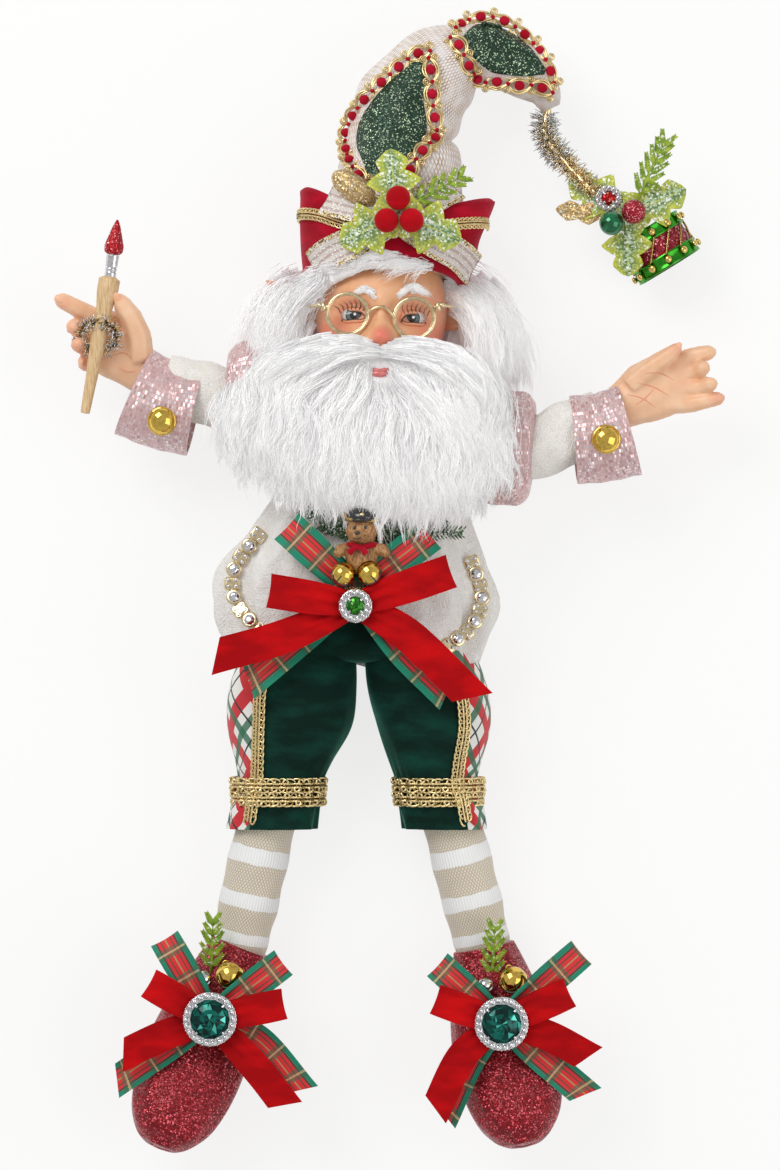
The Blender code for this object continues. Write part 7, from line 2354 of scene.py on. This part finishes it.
piece("bear_scarf", *merged(scarf_parts), RIBBON_BEAD)
print("bear quads:", len(bear_faces[0]))

# %% [markdown]
# ## Pine sprays
# Plastic pine twigs lie under the beard's foot, behind the bear. Each is a bent wire with flat frosted needles in
# four ranks. One needle is repeated: every copy is turned to its own way and scaled to its own length.

# %% Fan out the pine sprays
def pine_fan(root, tip, rows_count=26, needle=7.4):
    """A bent stem with flat needles to both sides, shorter towards its tip."""
    root, tip = np.array(root, float), np.array(tip, float)
    path = spline([root, (root + tip) / 2 + [0, 1.5, 1.2], tip], rows_count)
    along = unit(np.gradient(path, axis=0))
    side = unit(np.cross(along, UP))
    shape = solid(tube(np.linspace([0, 0, 0], [0, 1, 0], 4), np.array([0.07, 0.10, 0.08, 0.02]), 5))
    turns, places = [], []
    for hand in (-1, 1):
        for lift in (0.05, 0.35):
            way = unit(along * 0.75 + side * hand + np.array([0, 0, lift]))
            reach = (
                needle * (1.1 - 0.6 * np.linspace(0, 1, rows_count))[:, None]
                * dice.uniform(0.8, 1.1, (rows_count, 1))
            )
            across = unit(np.cross(way, UP))
            turns.append(np.stack([across * 5.0, way * reach, np.cross(across, way) * 5.0], -1))
            places.append(path + along * dice.uniform(-0.4, 0.4, (rows_count, 1)))
    return [solid(tube(path, 0.5, 6)), copies(*shape, np.vstack(places), np.vstack(turns))]


HEART = (-10, 20, 57.5)
FANS = [(-38, 33, 58), (-30, 26, 57), (15, 38, 58.5), (28, 35, 58.5), (31, 23, 58), (24, 29, 60), (8, 36, 60)]
pine = [part for tip in FANS for part in pine_fan(HEART, tip)]
piece("frosted_pine", *merged(pine), PINE, "pine_sprays")
print("pine fans:", len(FANS))

# %% [markdown]
# ## Gold braid on the breeches
# The same gimp braid as on the brim hides each seam between velvet and plaid, and goes round each leg above the
# knee in a wide band.

# %% Sew on the braid
def leg_line(side, column_share, row_low, row_high, lift):
    """A line down one column of a leg, raised square to the skin."""
    grid, _ = LEG_GRIDS[side]
    column = int(round(column_share % 1.0 * grid.shape[1])) % grid.shape[1]
    line = grid[row_low:row_high, column]
    middle = grid[row_low:row_high].mean(1)
    out = unit(line - middle)
    return evened(line + out * lift, 90)


def leg_band(side, y_share, lift):
    """A closed line round a leg at a share of its length, raised square to the skin."""
    grid, _ = LEG_GRIDS[side]
    row = int(y_share * grid.shape[0])
    ring = grid[row]
    out = unit(ring - ring.mean(0))
    return np.vstack([ring + out * lift, (ring + out * lift)[:1]])


cords = []
for side in ("left", "right"):
    grid, (seam_low, seam_high) = LEG_GRIDS[side]
    rows_count, cols = grid.shape[:2]
    # the seam that faces the viewer is the one with the higher z half way down
    seam = max(
        (seam_low, seam_high), key=lambda share: grid[rows_count // 2, int(share % 1 * cols) % cols, 2]
    )
    line = leg_line(side, seam, 14, 86, 0.9)
    up = line - evened(grid[14:86].mean(1), 90)
    cords += gimp(line, up, 6.2, 3.2, 0.5)
    ring = leg_band(side, 0.755, 0.9)
    up = ring - ring[:-1].mean(0)
    for shift in (-3.0, 3.0):
        cords += gimp(ring + [0, shift, 0] + unit(up) * (0.2 if shift < 0 else 0.6), up, 6.4, 3.6, 0.55)
piece("breeches_braid", *merged(cords), BRAID_GOLD)
print("cords on the breeches:", len(cords))

# %% [markdown]
# ## Jewelled chains on the coat
# On each of the coat's two corners a gold chain alternates square links, set with four small stones, with cupped
# round crystals. Each link is turned to follow the chain's line over the cloth.

# %% Hang the coat's chains
def coat_chain(name, route, stands_for):
    """Square filigree links and round cups by turns along a route on the coat's front."""
    flat = evened(spline(route, 60), 9)
    line = np.column_stack([flat, coat_top(flat[:, 0], flat[:, 1]) + 2.2])
    along = unit(np.gradient(line, axis=0))
    metal_parts, stones = [solid(tube(spline(line, 40), 0.9, 8))], []
    for k, (spot, way) in enumerate(zip(line, along)):
        side = unit(np.cross(UP, way))
        up = np.cross(way, side)
        if k % 2:
            metal_parts.append(
                solid(turned([(-1, 2.4), (0, 3.3), (1.5, 3.6), (1.9, 3.2), (1.9, 2.4)], spot, up, 28))
            )
            stones.append(
                facetted(gem((0, 0, 0), 2.7, 1.3, 10) @ np.stack([side, way, up]) + spot + up * 1.7)
            )
        else:
            box = ball((0, 0, 0), (1, 1, 1), 14, 28)
            box = np.sign(box) * np.abs(box) ** 0.45 * [3.6, 3.0, 1.5]
            metal_parts.append(solid(box @ np.stack([side, way, up]) + spot))
            for a in (-1.7, 1.7):
                for b in (-1.4, 1.4):
                    place = spot + side * a + way * b + up * 1.2
                    stones.append(facetted(gem((0, 0, 0), 1.1, 0.8, 8) @ np.stack([side, way, up]) + place))
                    metal_parts.append(
                        solid(turned([(0, 1.1), (0.4, 1.35), (0.7, 1.2)], place - up * 0.5, up, 12))
                    )
    piece(name, *merged(metal_parts), PALE_GOLD, stands_for, sharp=60)
    piece(name + "_crystals", *merged(stones), CRYSTAL, sharp=5)


coat_chain("left_jewelled_chain", [(-58, 22), (-68.5, 7), (-67.5, -8), (-57, -20)], "left_coat_trim")
coat_chain("right_jewelled_chain", [(36, 10), (40.5, -5), (36, -18), (25, -27)], "right_coat_trim")
print("chains hung: 2")

# %% [markdown]
# ## The resin hands
# The hands are cast resin. The imported hands have the right fingers, but with hard edges where they meet, so
# each one is rebuilt as even small quads and relaxed until the joins melt. Nails are thin ovals let into the
# finger tips, and creases cross the palm as thin raised lines of a darker red: painted shade.

# %% Soften the hands
def nail(tip, way, up, size):
    """A low oval shell on a finger's end."""
    way, up = unit(np.array(way, float)), unit(np.array(up, float))
    side = unit(np.cross(up, way))
    up = np.cross(way, side)
    oval = ball((0, 0, 0), (size * 0.72, size, size * 0.35), 14, 22, (0, 1, 0))
    return solid(oval @ np.stack([side, way, up]) + np.array(tip, float))


def crease_line(tree, points, radius=0.28):
    """A thin raised line laid on a shape, as a skin fold."""
    path = drape(tree, evened(spline(points, 30), 24), 0.0)
    return solid(tube(path, radius * np.sin(np.pi * np.linspace(0.08, 0.92, 24)), 6))


NAIL_RESIN = resin("nail_resin", [(0, 0, 400, 0.22)])
# painted shade: the palm's crease lines are a darker red than the hand
CREASE_SHADE = resin("crease_shade_resin", [(0, 0, 600, 0.55)])
CREASES = {
    "left": [
        [(-113, 99), (-117, 102), (-122, 101)], [(-112, 94), (-116, 94), (-120, 96)],
        [(-122, 112), (-125, 110), (-127, 106)]
    ],
    "right": [
        [(104, 84), (111, 82), (117, 78)], [(108, 89), (116, 87), (123, 83)],
        [(112, 93), (119, 93), (125, 90)], [(108, 79), (112, 82), (116, 86)]
    ],
}
NAILS = {
    "left": [
        ((-144.8, 125.8, 43.6), (-1, 0.4, 0.2), (-0.2, 0.3, 1), 2.5),
        ((-119.8, 125.9, 49.8), (-0.4, 1, 0.1), (-0.3, 0, 1), 2.6)
    ],
    "right": [((126.4, 104.6, 47.4), (0.6, 0.8, 0.1), (-0.2, 0.2, 1), 2.2)],
}
for side in ("left", "right"):
    hand_points, hand_faces = softened(side + "_hand", 0.75, 9, 0.25)
    piece(side + "_resin_hand", hand_points, hand_faces, HAND_RESIN, side + "_hand")
    hand_tree = tree_over(hand_points, hand_faces)
    piece(
        side + "_palm_creases",
        *merged([crease_line(hand_tree, line) for line in CREASES[side]]), CREASE_SHADE
    )
    piece(side + "_nails", *merged([nail(*spot) for spot in NAILS[side]]), NAIL_RESIN)
print("hands softened: 2")

# %% [markdown]
# ## The paintbrush
# The handle is turned from pale wood, thick at the top and slim at its foot. A crimped silver ferrule grips a
# tuft of red bristles dusted with glitter, and a ring of spiky tinsel ties the brush to the fingers.

# %% Turn the brush
BRUSH_START = np.array([-122.9, 135.3, 47.0])
BRUSH_DOWN = np.array([-11.0, -59.8, 0.0])
BRUSH_UP = np.array([3.2, 24.4, 0.0])
BRUSH_LENGTH, TOP, FOOT = 61.0, 4.7, 2.1
handle = [
    (0, 2.9), (0.4, 3.4), (1.2, TOP), (3, TOP * 1.01), (6, TOP),
    (10, TOP * 0.90), (14, TOP * 0.78), (20, TOP * 0.76),
    (BRUSH_LENGTH * 0.5, (TOP + FOOT) / 2), (BRUSH_LENGTH * 0.75, 2.6),
    (BRUSH_LENGTH - 1.5, FOOT), (BRUSH_LENGTH - 0.5, FOOT * 0.85), (BRUSH_LENGTH, FOOT * 0.4),
]
surface(
    "wood_handle", turned(spline(np.array(handle), 90), BRUSH_START, BRUSH_DOWN, 48), WOOD, "brush_handle"
)
FERRULE_RADIUS, FERRULE_LENGTH = 2.8, 9.5
at = np.linspace(0, FERRULE_LENGTH, 60)
crimp = (
    FERRULE_RADIUS * (0.93 + 0.12 * (at / FERRULE_LENGTH) ** 2)
    - 0.28 * (np.exp(-((at - 2.4) / 0.35) ** 2) + np.exp(-((at - 4.0) / 0.35) ** 2))
)
surface(
    "silver_ferrule", turned(np.stack([at, crimp], -1), BRUSH_START, BRUSH_UP, 48), SILVER, "brush_ferrule"
)
BRISTLE_RADIUS = 4.1
tuft = [
    (0, 0.62), (0.6, 0.80), (1.4, 0.95), (3.6, 1.0), (5.6, 0.90),
    (7.75, 0.74), (10.5, 0.55), (13.2, 0.34), (15, 0.14), (15.5, 0.05)
]
tuft = spline([(reach, radius * BRISTLE_RADIUS) for reach, radius in tuft], 60)
bristle_start = BRUSH_START + unit(BRUSH_UP) * (FERRULE_LENGTH + 0.35)
bristles = turned(tuft, bristle_start, BRUSH_UP, 60)
flute = 1 + 0.035 * np.sin(np.arange(60) * 2 * np.pi / 60 * 15)[None, :, None]
axis_line = bristle_start + unit(BRUSH_UP) * tuft[:, :1]
bristles = axis_line[:, None] + (bristles - axis_line[:, None]) * flute
surface("glitter_bristles", bristles, BRISTLE_GLITTER, "brush_bristles")
print("brush turned")

# %% [markdown]
# ## Tinsel
# Tinsel is a twisted wire that grips short strips of foil. The strips stick out every way round the wire, some
# gold and some silver. One tiny strip is repeated, each copy turned to its own direction.

# %% Wind the tinsel
def foil(name, colour):
    """Strips in two tones, picked by a random number for each small cell."""
    paint = Paint(name, Metallic=1.0, Roughness=0.22)
    _, chance, _ = paint.cells(paint.object_mm(), 0.9)
    return paint.shade(Base_Color=paint.blend(chance.above(0.3), tuple(c * 0.45 for c in colour), colour))


GOLD_FOIL = foil("gold_foil", (1.0, 0.80, 0.48))
SILVER_FOIL = foil("silver_foil", (0.96, 0.97, 0.98))
STRIP = solid(tube(np.linspace([0, 0, 0], [0, 0, 1], 3), np.array([1.0, 0.9, 0.25]), 3))


def spikes(path, count, reach, girth, squash=1.0):
    """Foil strips rooted along a path, each with its own direction away from it and its own length."""
    path = evened(np.asarray(path, float), 200)
    pick = dice.integers(0, 200, count)
    along, one, two = frames(path)
    angle = dice.uniform(0, 2 * np.pi, count)
    way = (
        one[pick] * np.cos(angle)[:, None] + two[pick] * np.sin(angle)[:, None] * squash
        + along[pick] * dice.uniform(-0.6, 0.6, count)[:, None]
    )
    way = unit(way)
    side = unit(np.cross(way, [[0.31, 0.17, 0.93]]))
    length = reach * dice.uniform(0.55, 1.1, count)
    turns = np.stack([side * girth, np.cross(way, side) * girth * 0.45, way * length[:, None]], -1)
    return copies(*STRIP, path[pick], turns)


stem = [
    (70.5, 212.0, 22), (68.6, 203, 22.5), (70.5, 196, 24), (77, 188, 26), (83.5, 180.5, 29), (91, 173.0, 31.5)
]
stem = spline(stem, 80)
surface("tinsel_wire", tube(stem, 1.5, 14), GOLD_FOIL, "tinsel_stem")
piece("gold_tinsel", *spikes(stem[14:], 800, 6.4, 0.36), GOLD_FOIL)
piece("silver_tinsel", *spikes(stem[6:50], 520, 7.4, 0.34), SILVER_FOIL)
knot = np.linspace(0, 2 * np.pi, 40)
ring = np.array([-125.0, 109, 48.0]) + np.stack(
    [8.0 * np.cos(knot) - 3, 6.5 * np.sin(knot), 3.0 * np.sin(knot + 0.8)], -1
)
piece("brush_tinsel_gold", *spikes(ring, 240, 4.0, 0.30, 0.6), GOLD_FOIL)
piece("brush_tinsel_silver", *spikes(ring, 260, 4.4, 0.30, 0.6), SILVER_FOIL)
print("tinsel wound")

# %% [markdown]
# ## The drum on the hat's tail
# The tail ends in a small drum with a red glitter shell, green hoops, gold lacing and knobs.

# %% Build the drum
DRUM_CENTRE = np.array([119.3, 150.0, 16.4])
DRUM_AXIS = unit(np.array([-0.523, 0.852, 0.0]))
DRUM_RADIUS, DRUM_HEIGHT, HOOP = 15.4, 20.0, 6.0
KNOB = ((0, 1.0), (0.8, 0.9), (1.0, 1.5), (1.7, 1.7), (2.3, 1.2), (2.6, 0.3))
foot = DRUM_CENTRE - DRUM_AXIS * DRUM_HEIGHT / 2
lower_half = [(0.4, 0.5), (0.45, DRUM_RADIUS * 0.9), (0.5, DRUM_RADIUS * 0.94)]
profile = lower_half + [
    (DRUM_HEIGHT - reach, radius)
    for reach, radius in [(0.5, DRUM_RADIUS * 0.94), (0.45, DRUM_RADIUS * 0.9), (0.4, 0.5)]
]
surface("drum_shell", turned(profile, foot, DRUM_AXIS, 90), DRUM_GLITTER, "drum_ornament", sharp=40)


def hoop(start):
    """A band with rolled edges, open in the middle: a closed section turned about the drum's axis."""
    r = DRUM_RADIUS
    section = [
        (0, r * 0.95), (0, r + 0.1), (0.5, r + 0.35), (1.0, r), (HOOP - 1.0, r),
        (HOOP - 0.5, r + 0.35), (HOOP, r + 0.1), (HOOP, r * 0.95)
    ]
    points = turned(section, foot + DRUM_AXIS * start, DRUM_AXIS, 90)
    return points.reshape(-1, 3), [ring_faces(*points.shape[:2])]


piece("drum_hoops", *merged([hoop(-0.1), hoop(DRUM_HEIGHT - HOOP + 0.1)]), GREEN_METAL, sharp=40)
one = unit(np.cross(DRUM_AXIS, UP))
two = np.cross(DRUM_AXIS, one)
lace, knobs = [], []
STRINGS = 12
for k in range(STRINGS):
    for hand in (-0.5, 0.5):
        angle = (k + 0.5 + hand * np.linspace(-1, 1, 12)) * 2 * np.pi / STRINGS
        rise = np.linspace(HOOP - 1, DRUM_HEIGHT - HOOP + 1, 12)[::1 if hand > 0 else -1]
        path = (
            foot + DRUM_AXIS * rise[:, None]
            + (one * np.cos(angle)[:, None] + two * np.sin(angle)[:, None]) * (DRUM_RADIUS + 0.1)
        )
        lace.append(solid(tube(path, 0.5, 8)))
for k in range(STRINGS):
    angle = k * 2 * np.pi / STRINGS
    out = one * np.cos(angle) + two * np.sin(angle)
    for rise in (HOOP / 2, DRUM_HEIGHT - HOOP / 2):
        spot = foot + DRUM_AXIS * rise + out * (DRUM_RADIUS - 0.3)
        if spot[2] > 4.0:
            knobs.append(solid(turned(KNOB, spot, out, 16)))
piece("drum_lacing", *merged(lace), GOLD)
piece("drum_knobs", *merged(knobs), GOLD)
print("drum strings:", len(lace), "knobs:", len(knobs))

# %% [markdown]
# ## The cluster above the drum
# Holly, two glass balls, a set stone, a glittered leaf and a sprig hide the wire by which the drum hangs. Each
# stands at its own height, so that none cuts into the next.

# %% Wire on the cluster
LEVEL = 33.0
holly(
    "frosted_tail_holly", (104.5, 163.5, LEVEL),
    ((147, 30, 22, 0.08), (24, 29, 22, 0.08), (-88, 27, 21, 0.08)), 0.006, HAT_HOLLY, "ornament_holly"
)
surface("green_glass_ball", ball((97.5, 159.4, LEVEL + 6.8), (5.4,) * 3, 30, 44), GREEN_BALL, "green_bauble")
surface(
    "red_glitter_ball", ball((107.3, 164.4, LEVEL + 6.8), (5.4,) * 3, 30, 44), BAUBLE_GLITTER, "red_bauble"
)
set_stone("tail_gem", (96.6, 170.9, LEVEL - 1.6), 5.8, 0.56, 13, RUBY, "ornament_jewel")
gold_leaf = holly_leaf((93.5, 163.5, LEVEL - 1.5), 172, 20.5, 10.5, 0.1, 0.004, 0.8, 2, 0.2)
piece("glittered_gold_leaf", *gold_leaf[:2], GOLD_GLITTER, "gold_glitter_leaf", gold_leaf[2])
piece(
    "tail_fern", *merged(fern((109, 170, LEVEL + 0.5), (120.5, 194, LEVEL + 3), 6, 10, 34, 1.6, 0.85)),
    LIME, "ornament_sprig"
)
print("drum hung")

# %% [markdown]
# ## The light and the table
# The photograph is lit by big soft lamps in a white room, so shadows are pale and every white stays just below
# full white. One broad panel stands on the left above the head, a weaker one on the right, and the world fills
# in. The table is pale: camera, glossy and clear rays see it partly lit of itself, so the figure keeps its
# soft shadow while the ground stays nearly white.

# %% Light the scene
def area_light(name, place, aim, size, power):
    """A square lamp of a size that looks from its place at an aim."""
    lamp = bpy.data.lights.new(name, "AREA")
    lamp.shape = "SQUARE"
    lamp.size = size
    lamp.energy = power
    made = bpy.data.objects.new(name, lamp)
    made.location = place
    made.rotation_euler = (Vector(aim) - Vector(place)).to_track_quat("-Z", "Y").to_euler()
    bpy.context.scene.collection.objects.link(made)


CHEST = (0.0, 0.02, 0.04)
area_light("window_light", (-0.75, 0.95, 1.25), CHEST, 0.9, 13.0)
area_light("fill_light", (1.05, -0.25, 1.15), CHEST, 1.1, 5.5)

world = bpy.data.worlds.new("studio")
world.use_nodes = True
world.node_tree.nodes["Background"].inputs["Color"].default_value = (1.0, 1.0, 1.0, 1.0)
world.node_tree.nodes["Background"].inputs["Strength"].default_value = 0.55
bpy.context.scene.world = world

GLOW_SHARE = 0.78
table = Paint("pale_table", Base_Color=(0.93, 0.93, 0.925), Roughness=0.9, Specular_IOR_Level=0.1)
glow = table.node("ShaderNodeEmission", None, {"Color": (1.0, 1.0, 0.995), "Strength": 1.0})
rays = table.node("ShaderNodeLightPath").outputs
camera_ray, glossy_ray, clear_ray = (
    table.value(rays[f"Is {kind} Ray"])
    for kind in ("Camera", "Glossy", "Transmission")
)
seen = camera_ray + glossy_ray + clear_ray
mix = table.node(
    "ShaderNodeMixShader", None, {0: seen.held() * GLOW_SHARE, 1: table.shader.outputs[0], 2: glow.outputs[0]}
)
output = next(node for node in table.tree.nodes if node.type == "OUTPUT_MATERIAL")
table.tree.links.new(mix.outputs[0], output.inputs["Surface"])

TABLE_HALF = 3.0
floor_mesh = bpy.data.meshes.new("table")
corners = [(x * TABLE_HALF, y * TABLE_HALF, 0.0) for x, y in ((-1, -1), (1, -1), (1, 1), (-1, 1))]
floor_mesh.from_pydata(corners, [], [(0, 1, 2, 3)])
floor_mesh.materials.append(table.material)
floor = bpy.data.objects.new("table", floor_mesh)
bpy.context.scene.collection.objects.link(floor)
print("table half width:", TABLE_HALF, "m")

# %% [markdown]
# ## Sizes
# The dressed figure must fill the same box as the imported model, give or take a little fur.
